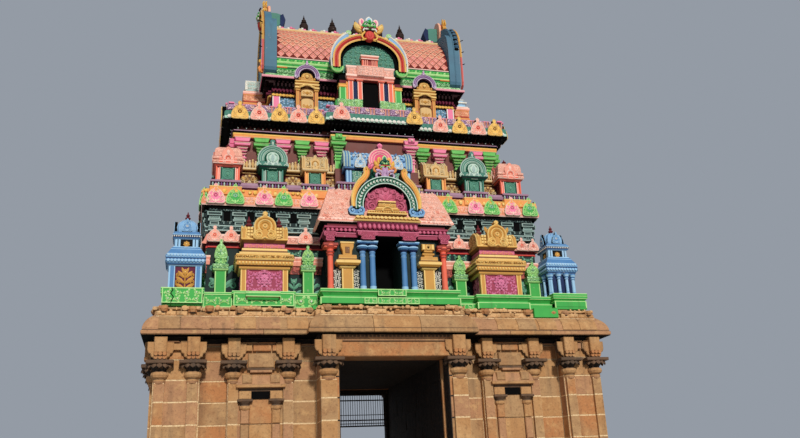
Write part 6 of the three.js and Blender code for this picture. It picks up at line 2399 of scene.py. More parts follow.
def ledge_roll(work, x0, x1, y, back=0.1):
    mould(work, rect(x0, x1, y, back), [
        (9.55, -0.02, "plum"), (9.60, -0.01, "plum"), (9.63, 0.03, "mauve"), (9.70, 0.05, "mauve"),
        (9.75, 0.045, "mauve"), (9.78, 0.02, "plum"), (9.79, -0.02, "plum"), (9.80, -0.03, "brass"),
    ])


def shrine_body(half, front, z0, z1, coat, light, panel, line):
    """Small body with two pilasters, a groove in each, and a panel."""
    work = Carving()
    block(work, -half + 0.01, half - 0.01, front + 0.03, 0.05, z0, z1, "maroon")
    w = half * 0.36
    for s in (-1, 1):
        x = s * (half - w / 2)
        for k in (-0.30, 0.30):
            block(work, x + k * w - 0.2 * w, x + k * w + 0.2 * w, front, front + 0.08, z0, z1, coat, 0.006)
        block(work, x - w / 2, x - w / 2 + 0.018, front - 0.006, front + 0.08, z0, z1, light)
        block(work, x + w / 2 - 0.018, x + w / 2, front - 0.006, front + 0.08, z0, z1, light)
        block(work, x - 0.1 * w, x + 0.1 * w, front + 0.02, front + 0.08, z0, z1, light)
    p = half - w - 0.015
    block(work, -p, p, front + 0.012, front + 0.06, z0 + 0.02, z1 - 0.02, "bottle")
    block(work, -p + 0.03, p - 0.03, front + 0.005, front + 0.06, z0 + 0.045, z1 - 0.045, panel)
    tall = z1 - z0
    for r in (0.38, 0.22):
        turns = [i * math.pi / 6 for i in range(12)]
        ring = [(p * 2 * r * math.sin(t), z0 + tall * 0.5 + tall * r * math.cos(t)) for t in turns]
        rope(work, [(x, front + 0.002, z) for x, z in ring], 0.016, line, 4, closed=True)
    leaf(work, spot(0, front, z0 + tall * 0.36), tall * 0.28, p * 0.5, line, 0.4)
    for s in (-1, 1):
        for z in (z0 + tall * 0.14, z0 + tall * 0.86):
            where = spot(s * p * 0.72, front, z, roll=s * (45 if z > z0 + tall / 2 else 135))
            leaf(work, where, 0.06, 0.045, line, 0.4)
    for s, turn in ((1, 90), (-1, 270)):
        depth = -front / 2 - 0.02
        for k in (-1, 1):
            wall = Carving()
            block(wall, k * depth - 0.055, k * depth + 0.055, -0.012, 0.02, z0, z1, coat)
            work.stamp(wall, spot(s * half, front / 2, turn=turn))
    return work


def coral_shrine():
    """Square coral shrine on a wall face y = 0; its front at y = -0.74."""
    work = Carving()
    work.stamp(shrine_body(0.315, -0.73, 9.81, 10.22, "coral", "blush", "teal", "leaf"))
    mould(work, rect(-0.31, 0.31, -0.72, 0.0), [
        (10.20, 0.0, "maroon"), (10.22, 0.03, "brick"), (10.245, 0.04, "coral"), (10.26, 0.06, "brick"),
        (10.285, 0.10, "blush"), (10.31, 0.115, "coral"), (10.355, 0.12, "blush"),
        (10.375, 0.11, "salmon"), (10.41, 0.075, "brick"), (10.43, 0.07, "salmon"),
        (10.50, 0.075, "blush"), (10.515, 0.07, "brick"), (10.53, 0.065, "blush_carved"),
        (10.68, 0.06, "blush_carved"), (10.76, 0.035, "blush_carved"), (10.83, -0.03, "blush"),
        (10.86, -0.12, "salmon"),
    ])
    for s in (-1, 1):
        for z, h in ((10.31, 0.08), (10.41, 0.07)):
            sided_block(work, s, 0.42, 0.24, -0.85, -0.6, z, z + h, "blush_carved", 0.012)
    for turn, x, y in ((0, 0, -0.80), (90, 0.375, -0.37), (270, -0.375, -0.37)):
        draft = Carving()
        line = both([
            (0, 10.27), (0.145, 10.27), (0.175, 10.34), (0.16, 10.46), (0.19, 10.56), (0.15, 10.67),
            (0.07, 10.73), (0.05, 10.79), (0.0, 10.81),
        ])
        plate(draft, line, -0.03, 0.06, "salmon", "brick", 0.012)
        rope(draft, arc(0, 10.45, 0.10, -30, 210, 12, -0.035), 0.018, "blush", 4)
        rope(draft, arc(0, 10.45, 0.055, -20, 200, 8, -0.04), 0.014, "coral", 4)
        for s in (-1, 1):
            coil(draft, s, 0.10, 10.33, 0.045, -1.2, 8, -0.035, 0.014, "blush", 4)
        leaf(draft, spot(0, -0.03, 10.56), 0.16, 0.09, "blush", 0.4)
        work.stamp(draft, spot(x, y, turn=turn))
    finial(work, 0, -0.40, 10.85, 11.08, 0.10, "maroon")
    return work


def teal_shrine():
    """Horseshoe shrine on a wall face y = 0; its front at y = -0.78."""
    work = Carving()
    front = -0.74
    work.stamp(shrine_body(0.285, front, 9.81, 10.20, "teal", "ice", "teal", "leaf"))
    mould(work, rect(-0.30, 0.30, front, 0.0), [
        (10.18, 0.0, "bottle"), (10.20, 0.05, "bottle"), (10.23, 0.09, "slate"), (10.27, 0.125, "bottle"),
        (10.30, 0.11, "bottle"), (10.32, 0.0, "bottle"),
    ])
    cz = 10.52
    foot = [(0.36, 10.31), (0.42, 10.32), (0.43, 10.38)]
    outer = foot + shoe(0, cz, 0.405, -12, 192, 26) + [(-x, z) for x, z in reversed(foot)]
    plate(work, outer, front - 0.02, -0.05, "teal", "slate")
    for r, width, coat in (
        (0.405, 0.017, "ice"), (0.345, 0.011, "jade"), (0.285, 0.014, "ice"), (0.25, 0.011, "jade"),
        (0.205, 0.034, "bottle"),
    ):
        rope(work, [(x, front - 0.03, z) for x, z in shoe(0, cz, r, -14, 194, 26)], width, coat, 4)
    for s in (-1, 1):
        coil(work, s, 0.37, 10.33, 0.075, -1.25, 12, front - 0.035, 0.026, "ice", 5, 0.016)
        coil(work, s, 0.22, 10.33, 0.055, 1.2, 10, front - 0.035, 0.02, "ice", 5, 0.012)
    inner = both([
        (0, 10.22), (0.13, 10.22), (0.17, 10.30), (0.155, 10.42), (0.185, 10.54), (0.16, 10.65),
        (0.08, 10.715), (0.0, 10.73),
    ])
    plate(work, inner, front - 0.07, front, "ice", "bottle", 0.015)
    block(work, -0.11, 0.11, front - 0.075, front, 10.21, 10.25, "ice", 0.008)
    for s in (-1, 1):
        coil(work, s, 0.075, 10.35, 0.05, -1.2, 10, front - 0.075, 0.017, "silver", 4)
        line = ((0.05, 10.42), (0.12, 10.50), (0.12, 10.61), (0.05, 10.67))
        rope(work, [(s * x, front - 0.08, z) for x, z in line], 0.017, "jade", 4)
    leaf(work, spot(0, front - 0.07, 10.40), 0.26, 0.10, "silver", 0.4)
    for s in (-1, 1):
        leaf(work, spot(s * 0.06, front - 0.07, 10.42, roll=s * 22), 0.18, 0.05, "jade", 0.4)
    for s in (-1, 1):
        rope(work, curl(s * 0.06, 10.97, 0.05, 270, s * 1.0, 8, front + 0.02), 0.018, "teal", 4)
    bud = both([
        (0, 10.92), (0.10, 10.92), (0.06, 10.99), (0.045, 11.03), (0.075, 11.07), (0.06, 11.12),
        (0.0, 11.15),
    ])
    plate(work, bud, front - 0.01, front + 0.10, "teal", "jade", 0.012)
    leaf(work, spot(0, front - 0.02, 10.95), 0.13, 0.06, "ice", 0.4)
    return work


def gold_barrel():
    """Gold barrel shrine on a wall face y = 0; its front at y = -0.72."""
    work = Carving()
    front = -0.70
    work.stamp(shrine_body(0.285, front, 9.81, 10.20, "orange", "straw", "teal", "leaf"))
    mould(work, rect(-0.29, 0.29, front, 0.0), [
        (10.18, 0.0, "brass"), (10.20, 0.03, "brass"), (10.22, 0.05, "sand"), (10.245, 0.075, "cream"),
        (10.27, 0.085, "sand"), (10.30, 0.08, "cream"), (10.31, 0.05, "brass"), (10.33, 0.03, "brass"),
    ])
    barrel_end(
        work, -0.365, 0.365, front, -0.03, 10.32, 10.80, "sand_carved", "cream",
        (-0.35, -0.28, 0.28, 0.35)
    )
    for x in (-0.355, -0.30, 0.30, 0.355):
        block(work, x - 0.022, x + 0.022, front - 0.035, front + 0.2, 10.31, 10.63, "sand", 0.008)
    for s in (-1, 1):
        coil(work, s, 0.22, 10.45, 0.055, -1.1, 8, front - 0.005, 0.018, "cream", 4)
        coil(work, s, 0.22, 10.60, 0.05, 1.1, 8, front + 0.03, 0.016, "cream", 4)
    line = both([
        (0, 10.26), (0.10, 10.26), (0.15, 10.33), (0.14, 10.43), (0.165, 10.52), (0.12, 10.60),
        (0.05, 10.64), (0.035, 10.69), (0.0, 10.72),
    ])
    plate(work, line, front - 0.075, front, "sand", "brass", 0.012)
    rope(work, [(x, front - 0.078, z) for x, z in inset(line, 0.008)], 0.014, "cream", 4, closed=True)
    rope(work, arc(0, 10.44, 0.085, -30, 210, 10, front - 0.08), 0.016, "gold", 4)
    leaf(work, spot(0, front - 0.075, 10.36), 0.16, 0.08, "cream", 0.4)
    for s in (-1, 1):
        coil(work, s, 0.09, 10.32, 0.035, -1.1, 8, front - 0.08, 0.012, "sand", 4)
    finial(work, 0, -0.35, 10.79, 10.86, 0.045, "brass")
    return work


def blue_long_shrine():
    """Long blue shrine over the porch, wall face y = -1.7, front at y = -2.74."""
    work = Carving()
    front = -1.00
    block(work, -0.93, 0.93, front + 0.05, -0.3, 9.80, 10.25, "navy")
    for s in (-1, 1):
        for x0, x1 in ((0.94, 0.88), (0.85, 0.79), (0.47, 0.41), (0.38, 0.32)):
            sided_block(work, s, x0, x1, front, front + 0.1, 9.82, 10.22, "sky", 0.008)
        for x0, x1 in ((0.885, 0.845), (0.41, 0.38), (0.955, 0.935), (0.80, 0.785)):
            sided_block(work, s, x0, x1, front + 0.02, front + 0.1, 9.82, 10.22, "blue")
        a, b = sorted((s * 0.77, s * 0.49))
        block(work, a, b, front + 0.012, front + 0.08, 9.83, 10.20, "teal")
        work.stamp(vine(b - a - 0.02, 0.33, "jade", "mint", 0.13), spot((a + b) / 2, front + 0.01, 10.02))
    block(work, -0.98, 0.98, front - 0.03, -0.3, 10.22, 10.26, "navy")
    block(work, -1.0, 1.0, front - 0.05, -0.3, 10.255, 10.30, "blue", 0.01)
    block(work, -0.985, 0.985, front - 0.03, -0.3, 10.30, 10.56, "powder")
    barrel_end(work, -0.985, 0.985, front, -0.30, 10.45, 10.88, "powder", "sky", ())
    for s in (-1, 1):
        for k, x in enumerate((1.0, 0.96, 0.92, 0.88, 0.845)):
            path = [(10.30, -0.045), (10.62, -0.045), (10.74, 0.0), (10.82, 0.08), (10.88, 0.2)]
            points = [(s * x, front + y, z) for z, y in path]
            rope(work, points, 0.026, "blue" if k % 2 else "ice", 4)
    rng = random.Random(9)
    for row, (z, y) in enumerate((
        (10.36, -0.045), (10.46, -0.045), (10.56, -0.045), (10.66, -0.03), (10.76, 0.03),
    )):
        for i in range(15):
            x = -0.77 + i * 0.11 + 0.05 * (row % 2)
            if abs(x) > 0.8 or abs(abs(x) - 0.55) < 0.19 and z < 10.65:
                continue
            face = front + y
            if rng.random() < 0.5:
                line = curl(x, z, 0.042, rng.uniform(0, 360), 1.0, 6, face)
                rope(work, line, 0.014, "white" if row % 2 else "blue", 4)
            else:
                block(
                    work, x - 0.035, x + 0.035, face - 0.012, face + 0.05, z - 0.025, z + 0.02, "sky",
                    0.006
                )
    for s in (-1, 1):
        work.stamp(kudu(0.33, 0.44, "sky", "white", "blue", 0.07), spot(s * 0.55, front - 0.075, 10.26))
    for x in (-0.62, 0.62):
        finial(work, x, -0.72, 10.80, 10.95, 0.05, "blue")
    return work


print("coral, teal, gold and blue shrines:",
      [len(make().faces) for make in (coral_shrine, teal_shrine, gold_barrel, blue_long_shrine)], "faces")


# %% Rows of shrines
def front_row(turn):
    work = Carving()
    for s in (-1, 1):
        for x0, x1, y in ((4.70, 3.88, -0.80), (3.40, 2.62, -0.82), (2.20, 1.42, -0.80)):
            ledge_bay(work, *sorted((s * x0, s * x1)), y)
        for x0, x1, y in ((3.88, 3.40, -0.68), (2.62, 2.20, -0.68), (1.42, 1.24, -0.68)):
            ledge_roll(work, *sorted((s * x0, s * x1)), y)
    ledge_bay(work, -1.24, 1.24, -1.08)
    for s, corner, middle, inner in ((-1, 4.245, 3.01, 1.80), (1, 4.17, 3.0, 1.815)):
        work.stamp(coral_shrine(), spot(s * corner))
        work.stamp(teal_shrine(), spot(s * middle))
        work.stamp(gold_barrel(), spot(s * inner))
    work.stamp(blue_long_shrine())
    return work.at(y=1.7 if turn else -1.7, turn=turn)


def side_row(turn):
    work = Carving()
    ledge_bay(work, -0.52, 0.52, -0.66)
    for s in (-1, 1):
        ledge_roll(work, *sorted((s * 0.52, s * 0.72)), -0.60)
        ledge_bay(work, *sorted((s * 0.72, s * 1.44)), -0.66)
        ledge_roll(work, *sorted((s * 1.44, s * 1.68)), -0.60)
        work.stamp(teal_shrine(), spot(s * 1.08, size=(0.80, 0.78, 1.0)))
    work.stamp(gold_barrel(), spot(size=(1.45, 0.88, 1.0)))
    return work.at(4.0 if turn == 90 else -4.0, turn=turn)


front_row(0).piece("shrine_row_front", "purple_stucco", "parapet_front")
front_row(180).piece("shrine_row_back", "purple_stucco", "parapet_back")
side_row(90).piece("shrine_row_right", "purple_stucco", "parapet_right")
side_row(270).piece("shrine_row_left", "purple_stucco", "parapet_left")

# %% [markdown]
# ## Second cornice
#
# Like the first, but with yellow and coral horseshoe windows on a teal eave. A white scalloped
# fringe shows where there is no window in front of it, and above runs a carved lilac frieze with
# reddish posts. The deep underside is painted black as its shadow.

# %% Second cornice
C2_PLAN = plan([(1.09, 2.04), (1.09, 1.70), (4.0, 1.70)])
YELLOW_AND_CORAL = (("yellow", "straw", "brass"), ("salmon", "blush", "red"))  # plate, rim and heart


def frieze_two(work, x0, x1, y):
    """Teal eave, fringe and lilac frieze along a face; y is the wall face."""
    petal_row(work, x0 + 0.05, x1 - 0.05, y - 0.385, 12.03, 0.105, "white", None, 6, 0.135)
    count = max(1, round((x1 - x0) / 0.135))
    step = (x1 - x0) / count
    for i in range(count):
        x = x0 + (i + 0.5) * step
        block(work, x - 0.055, x + 0.055, y - 0.378, y - 0.2, 12.02, 12.14, "teal", 0.01)
    x, k = x0 + 0.1, 0
    while x < x1 - 0.1:
        w = 0.16 if k % 2 else 0.30
        mid = x + w / 2
        if k % 2 == 0:
            block(work, x, x + w - 0.02, y - 0.30, y - 0.1, 12.24, 12.44, "lilac_carved", 0.015)
            rope(work, curl(mid - 0.06, 12.34, 0.06, 0, 1.2, 8, y - 0.31), 0.016, "lilac", 4)
            rope(work, curl(mid + 0.07, 12.34, 0.06, 180, -1.2, 8, y - 0.31), 0.016, "blush", 4)
        else:
            for t in (0.03, 0.08, 0.13):
                coat = "mauve" if t == 0.08 else "tile_flat"
                block(work, x + t - 0.018, x + t + 0.014, y - 0.28, y - 0.1, 12.22, 12.44, coat, 0.006)
        x += w
        k += 1
    block(work, x0, x1, y - 0.265, y - 0.1, 12.42, 12.46, "pink", 0.008)


def cornice_two():
    work = Carving()
    # the deep underside of the cornice is painted shadow
    mould(work, C2_PLAN, [
        (11.86, -0.02, "void"), (11.862, 0.25, "void"), (11.875, 0.33, "void"), (11.89, 0.36, "void"),
        (11.92, 0.372, "jade"), (11.96, 0.372, "jade"), (12.0, 0.37, "teal"), (12.15, 0.355, "teal"),
        (12.19, 0.33, "lilac"), (12.22, 0.27, "lilac_carved"), (12.40, 0.235, "lilac"),
        (12.44, 0.22, "pink"), (12.45, 0.20, "maroon"),
    ])
    for turn in (0, 180):
        draft = Carving()
        frieze_two(draft, -4.35, -1.44, -1.7)
        frieze_two(draft, 1.44, 4.35, -1.7)
        frieze_two(draft, -1.42, 1.42, -2.04)
        for y, x0, x1 in ((-1.7, -4.30, -1.42), (-1.7, 1.42, 4.30), (-2.04, -1.40, 1.40)):
            # dark blocks of painted shadow along the foot of the cornice
            for i in range(round((x1 - x0) / 0.12)):
                block(draft, x0 + 0.12 * i, x0 + 0.12 * i + 0.06, y - 0.30, y + 0.05, 11.80, 11.862, "void")
        for x, k in (
            (-3.94, 0), (-3.385, 1), (-2.79, 0), (-2.24, 1), (-1.70, 0), (2.16, 1), (2.79, 0), (3.40, 1),
            (3.96, 0),
        ):
            draft.stamp(kudu(0.51, 0.58, *YELLOW_AND_CORAL[k]), spot(x, -2.085, 11.885))
        for x, k in ((-1.0, 1), (1.24, 0)):
            draft.stamp(kudu(0.52, 0.565, *YELLOW_AND_CORAL[k]), spot(x, -2.425, 11.92))
        work.stamp(draft, spot(turn=turn))
    for turn in (90, 270):
        draft = Carving()
        frieze_two(draft, -2.05, 2.05, -4.0)
        for i, y in enumerate((-1.70, -1.10, -0.55, 0.0, 0.55, 1.10, 1.70)):
            draft.stamp(kudu(0.51, 0.58, *YELLOW_AND_CORAL[i % 2]), spot(y, -4.385, 11.885))
        work.stamp(draft, spot(turn=turn))
    return work


cornice_two().piece("teal_cornice", "lilac_stucco", "cornice2")

# %% [markdown]
# ## The neck of the tower
#
# Above the second cornice the wall is narrow and almost hidden. Blue painted panels stand between
# pink end pilasters, then come a gold saw-tooth band, a row of dark-red dentils and the underside of
# the eave, painted black as shadow. Gold arched niches with purple horseshoes stand to the left and right.

# %% The arched niche
def gold_niche():
    """Gold niche on a wall face y = 0, about x = 0, with its horseshoe."""
    work = Carving()
    block(work, -0.33, 0.33, -0.32, 0.0, 12.46, 13.36, "brass")
    for s in (-1, 1):
        edged_shaft(work, s * 0.29, 0.048, -0.36, -0.2, 12.46, 13.28, "gold", "orange", 0.02)
        sided_block(work, s, 0.36, 0.215, -0.39, -0.2, 13.26, 13.32, "gold", 0.01)
        sided_block(work, s, 0.38, 0.20, -0.41, -0.2, 13.34, 13.40, "straw", 0.01)
        rope(work, [(s * 0.20, -0.335, 12.5), (s * 0.20, -0.335, 13.30)], 0.014, "orange", 4)
    for z0, z1 in ((12.48, 12.99), (13.07, 13.30)):
        head = [(0.19 * math.cos(a), z1 - 0.07 + 0.085 * math.sin(a)) for a in np.linspace(0, math.pi, 11)]
        line = [(0.19, z0)] + head + [(-0.19, z0)]
        plate(work, line, -0.385, -0.3, "sand", "brass", 0.02)
        rope(work, [(x * 1.06, -0.37, z + 0.012) for x, z in line[1:-1]], 0.018, "brass", 4)
        leaf(work, spot(0, -0.385, z0 + 0.06), (z1 - z0) * 0.5, 0.12, "gold", 0.3)
        for s in (-1, 1):
            coil(work, s, 0.09, (z0 + z1) / 2, 0.055, -1.2, 8, -0.385, 0.012, "gold", 4)
    brow = [(0.24, 13.37), (0.16, 13.40), (0.08, 13.45), (0, 13.465)]
    brow = [(-x, z) for x, z in brow[:-1]] + brow[::-1]
    rope(work, [(x, -0.40, z) for x, z in brow], 0.03, "straw", 5)
    mould(work, rect(-0.33, 0.33, -0.36, 0.0), [
        (13.40, 0.0, "brass"), (13.43, 0.01, "gold"), (13.46, 0.045, "straw"), (13.50, 0.05, "gold"),
        (13.52, 0.03, "brass"), (13.545, 0.02, "gold"), (13.58, 0.045, "straw"), (13.605, 0.04, "gold"),
        (13.61, 0.0, "gold"),
    ])
    # the recess behind the top horseshoe is painted shadow
    plate(work, both([(0, 13.60), (0.31, 13.60), (0.25, 13.93), (0.0, 14.03)]), -0.345, 0.0, "void", "void")
    line = [
        (0, 13.60), (0.27, 13.60), (0.25, 13.68), (0.19, 13.72), (0.17, 13.80), (0.12, 13.87),
        (0.0, 13.90),
    ]
    plate(work, both(line), -0.38, 0.0, "gold", "brass", 0.02)
    rope(work, arc(0, 13.72, 0.13, 0, 180, 8, -0.385), 0.024, "straw", 4)
    bead(work, 0, -0.40, 13.745, 0.06, "straw", (1, 0.8, 0.9), 8)
    for s in (-1, 1):
        bead(work, s * 0.23, -0.385, 13.67, 0.045, "gold", (1, 0.8, 1))
    outer, inner = (shoe(0, 13.76, r, -10, 190, 24) for r in (0.385, 0.25))
    arch_band(work, outer, inner, -0.42, 0.0, "purple", "purple")
    for r, coat in ((0.382, "pearl"), (0.325, "lilac"), (0.262, "pearl")):
        rope(work, [(x, -0.43, z) for x, z in shoe(0, 13.76, r, -12, 192, 24)], 0.014, coat, 4)
    for s in (-1, 1):
        coil(work, s, 0.33, 13.71, 0.05, -1.1, 8, -0.425, 0.02, "pearl", 4)
    bud = both([
        (0, 14.12), (0.05, 14.12), (0.03, 14.18), (0.07, 14.20), (0.03, 14.23), (0.03, 14.28),
        (0.0, 14.34),
    ])
    plate(work, bud, -0.40, -0.3, "lilac", "purple", 0.01)
    return work


print("gold niche:", len(gold_niche().faces), "faces")


# %% The neck wall
def neck_face(length, niches, plain=0.0):
    """Wall face at y = 0; the middle is left free where a shrine covers it."""
    work = Carving()
    for s in (-1, 1):
        a, b = sorted((s * plain, s * (length - 0.27)))
        block(work, a, b, -0.015, 0.03, 12.45, 13.14, "peacock")
        work.stamp(vine(b - a, 0.6, "sky", "white", 0.19), spot((a + b) / 2, -0.016, 12.84))
        if niches:
            edged_shaft(work, s * (length - 0.135), 0.115, -0.09, 0.03, 12.45, 13.15, "pink", "white", 0.03)
        a, b = sorted((s * plain, s * (length - (0.0 if niches else 0.06))))
        block(work, a, b, -0.07, 0.03, 13.19, 13.255, "gold")
        for k in range(round((b - a) / 0.105)):
            x = a + 0.0525 + 0.105 * k
            leaf(work, spot(x, -0.075, 13.255, roll=180, lean=5), 0.105, 0.10, "yellow", 0.35, 0.0)
        block(work, a, b, -0.08, 0.03, 13.255, 13.29, "clove")
        teeth_row(work, a, b, -0.16, 0.02, 13.29, 13.36, "wine", 0.055, 0.05)
        block(work, a, b, -0.10, 0.03, 13.36, 13.42, "wine")
        teeth_row(work, a, b, -0.24, 0.02, 13.44, 13.55, "clove", 0.05, 0.07)
        # under the eave the wall is painted shadow
        block(work, a, b, -0.06, 0.03, 13.42, 13.70, "void")
    for x in niches:
        work.stamp(gold_niche(), spot(x))
    return work


def neck_wall():
    work = Carving()
    for sign in (-1, 1):
        y0, y1 = sorted((sign * 1.195, sign * 0.88))
        for a, b in ((-2.945, -0.28), (0.28, 2.945)):
            block(work, a, b, y0, y1, 12.45, 13.70, "navy")
        # painted shadow under the eave behind the middle shrine
        block(work, -0.28, 0.28, y0, y1, 13.43, 13.70, "void")
        a, b = sorted((sign * 2.63, sign * 2.945))
        block(work, a, b, -0.88, 0.88, 12.45, 13.70, "navy")
        work.stamp(neck_face(2.95, (-1.895, 1.895), 0.95), spot(y=sign * 1.2, turn=0 if sign < 0 else 180))
        work.stamp(neck_face(1.2, (), 0.50), spot(sign * 2.95, 0, turn=90 * sign))
    return work


neck_wall().piece("neck_wall", "blue_stucco", "top_wall")


# %% The eave under the roof
def eave():
    work = Carving()
    # the underside of the eave is painted shadow
    mould(work, rect(-2.95, 2.95, -1.2, 1.2), [
        (13.66, 0.0, "void"), (13.665, 0.29, "void"), (13.68, 0.315, "rose"), (13.69, 0.33, "petal"),
        (13.73, 0.335, "petal"), (13.75, 0.335, "blush"), (13.765, 0.32, "mint_carved"),
        (13.80, 0.24, "mint_carved"), (13.89, 0.20, "mint_carved"),
    ])

    def soffit(draft, half, depth):
        count = round(2 * half / 0.13)
        for i in range(count):
            x = -half + (i + 0.5) * 2 * half / count
            block(draft, x - 0.028, x + 0.028, depth + 0.05, depth + 0.31, 13.60, 13.67, "clove")
            block(draft, x - 0.028, x + 0.028, depth + 0.14, depth + 0.31, 13.55, 13.60, "clove")
    around(work, 3.2, 1.45, soffit)
    return work


eave().piece("pink_eave", "pink_stucco", "eave")

# %% [markdown]
# ## The barrel roof
#
# The roof is a barrel vault laid with diamond tiles in salmon. The joints are painted dark red,
# each tile has a small boss, and the two lowest rows are pinker. A moulding of three leafy rolls
# in green carries the tiles, and a cream ridge with pink tufts closes them.

# %% Tiles, rolls and ridge
VAULT = [
    (1.38, 13.89), (1.40, 14.0), (1.35, 14.06), (1.43, 14.20), (1.39, 14.36), (1.38, 14.48),
    (1.37, 14.60), (1.34, 14.78), (1.30, 14.95), (1.22, 15.15), (1.12, 15.34), (1.01, 15.50),
    (0.89, 15.66), (0.76, 15.80), (0.61, 15.93), (0.45, 16.05), (0.27, 16.17), (0.12, 16.24),
]


def along_vault(distance):
    """Depth, height and slope at a distance up the vault from the tiles' foot."""
    line = VAULT[5:]
    for (y0, z0), (y1, z1) in zip(line, line[1:]):
        span = math.hypot(y1 - y0, z1 - z0)
        if distance <= span or (y1, z1) == line[-1]:
            t = distance / span
            slope = math.degrees(math.atan2(y0 - y1, z1 - z0))
            return y0 + (y1 - y0) * t, z0 + (z1 - z0) * t, slope
        distance -= span


def tile(w, h, coat, inside, boss):
    """Diamond tile about its middle, on the plane y = 0."""
    work = Carving()
    a, b = w / 2, h / 2
    rim = [(a, 0), (0, b), (-a, 0), (0, -b)]
    rings = ((0.91, 0.02), (0.89, -0.018), (0.58, -0.020), (0.48, -0.010))
    points = [(x * k, y, z * k) for k, y in rings for x, z in rim]
    faces = [(k + i, k + (i + 1) % 4, k + 4 + (i + 1) % 4, k + 4 + i) for k in (0, 4, 8) for i in range(4)]
    faces.append((12, 13, 14, 15))
    work.put(points, faces, [coat] * 8 + ["rust"] * 4 + [inside])
    bead(work, 0, -0.012, 0, w * 0.09, boss, (1, 0.4, 1), 5)
    return work


def barrel_roof():
    work = Carving()
    half = 2.815
    ring = [(-y, z) for y, z in VAULT] + VAULT[::-1]
    n = len(ring)
    points = [(x, y, z) for x in (-half, half) for y, z in ring]
    middles = [(ring[i][1] + ring[(i + 1) % n][1]) / 2 for i in range(n)]
    coats = ["jade" if z < 14.46 else "groove" for z in middles]
    faces = [(i, n + i, n + (i + 1) % n, (i + 1) % n) for i in range(n)]
    faces += [tuple(range(n)), tuple(range(2 * n - 1, n - 1, -1))]
    work.put(points, faces, coats + ["groove", "groove"])
    for sign in (-1, 1):
        face = Carving()
        for z, y, r, coat in (
            (13.95, 1.375, 0.07, "mint_carved"), (14.05, 1.40, 0.03, "green"),
            (14.10, 1.385, 0.022, "bottle"), (14.15, 1.405, 0.035, "mint"), (14.21, 1.40, 0.04, "green"),
            (14.285, 1.405, 0.055, "mint"), (14.37, 1.40, 0.055, "green"),
            (14.425, 1.40, 0.024, "bottle"), (14.465, 1.41, 0.022, "blush"),
        ):
            rope(face, [(-half, -y, z), (half, -y, z)], r, coat, 8)
        for s in (-1, 1):
            rope(face, [(s * half, -1.425, 14.11), (s * (half - 0.32), -1.425, 14.11)], 0.024, "orange", 5)
        count = 46
        for i in range(count):
            x = -half + (i + 0.5) * 2 * half / count
            lean = 20 if i % 2 else 34
            leaf(
                face, spot(x, -1.435, 14.31, lean=-lean * 0.3, roll=35), 0.10, 0.07,
                "grass" if i % 2 else "mint", 0.35, 0.3
            )
            leaf(
                face, spot(x, -1.44, 14.02, roll=180 + (9 if i % 2 else -9)), 0.11, 0.10, "mint_carved",
                0.3, 0.3
            )
        columns, rows = 22, 7.5
        length = sum(math.hypot(b[0] - a[0], b[1] - a[1]) for a, b in zip(VAULT[5:], VAULT[6:]))
        w, h = 2 * half / columns, length / rows
        for k in range(round(2 * rows) - 1):
            y, z, slope = along_vault((k + 1) * h / 2)
            shift = 0.5 if k % 2 else 0.0
            for i in range(columns - (1 if k % 2 else 0)):
                x = -half + (i + 0.5 + shift) * w
                coats = ("tile_low", "tile_low", "petal") if k < 3 else ("tile", "tile_flat", "rust")
                face.stamp(tile(w, h, *coats), spot(x, -y, z, lean=slope))
        work.stamp(face, spot(turn=0 if sign < 0 else 180))
    mould(work, rect(-half, half, -0.44, 0.44), [
        (15.93, 0.0, "rust"), (15.96, 0.05, "tile"), (16.0, 0.06, "tile"), (16.02, 0.03, "rust"),
        (16.04, 0.05, "sand"), (16.09, 0.06, "cream"), (16.12, 0.05, "sand"), (16.14, 0.0, "salmon"),
        (16.20, -0.15, "salmon"), (16.29, -0.30, "cream"),
    ])
    for sign in (-1, 1):
        x, k = -half + 0.18, 0
        while x < half:
            for i, coat in enumerate(("white", "pink", "rose") if k % 2 else ("cream", "white", "pink")):
                bead(
                    work, x + (i - 1) * 0.085, sign * 0.44, 16.15 + 0.035 * (i == 1), 0.06, coat,
                    (1.1, 0.8, 0.8), 6
                )
            x += 0.37
            k += 1
    return work


barrel_roof().piece("tiled_barrel_roof", "roof_stucco", "barrel_roof")


# %% The finials on the ridge
def ridge_finials():
    """Five dark metal pots with spires, set on a flat strip of the ridge."""
    work = Carving()
    mould(work, rect(-2.80, 2.80, -0.125, 0.125), [
        (16.265, 0.0, "cream"), (16.30, 0.01, "cream"), (16.335, 0.0, "cream"), (16.34, -0.02, "cream"),
    ])
    pot = [
        (0.09, 16.335), (0.10, 16.37), (0.075, 16.40), (0.12, 16.43), (0.146, 16.48), (0.148, 16.60),
        (0.125, 16.65), (0.06, 16.675), (0.05, 16.69), (0.10, 16.705), (0.10, 16.73), (0.05, 16.745),
        (0.075, 16.77), (0.078, 16.81), (0.045, 16.85), (0.02, 16.88), (0.035, 16.90), (0.02, 16.94),
        (0.004, 17.03),
    ]
    for x in (-1.78, -0.80, 0.0, 0.82, 1.60):
        lathe(work, [(r, z, "finial") for r, z in pot], x, 0, 18)
    return work


ridge_finials().piece("ridge_finial_row", "finial_metal", "ridge_finials")

# %% [markdown]
# ## The great horseshoe over the centre
#
# The shrine over the middle has a door between coral pilasters. Its roof is the largest horseshoe
# on the tower: an outer blue band that ends in a green curl on each side, gold lines, a red band,
# green feet and a carved green field. The guardian mask sits on top.

# %% Open arch lines with their own height
def oval(rx, rz, cz, start, end, steps=36):
    turns = [math.radians(start + (end - start) * i / steps) for i in range(steps + 1)]
    return [(rx * math.cos(a), cz + rz * math.sin(a)) for a in turns]


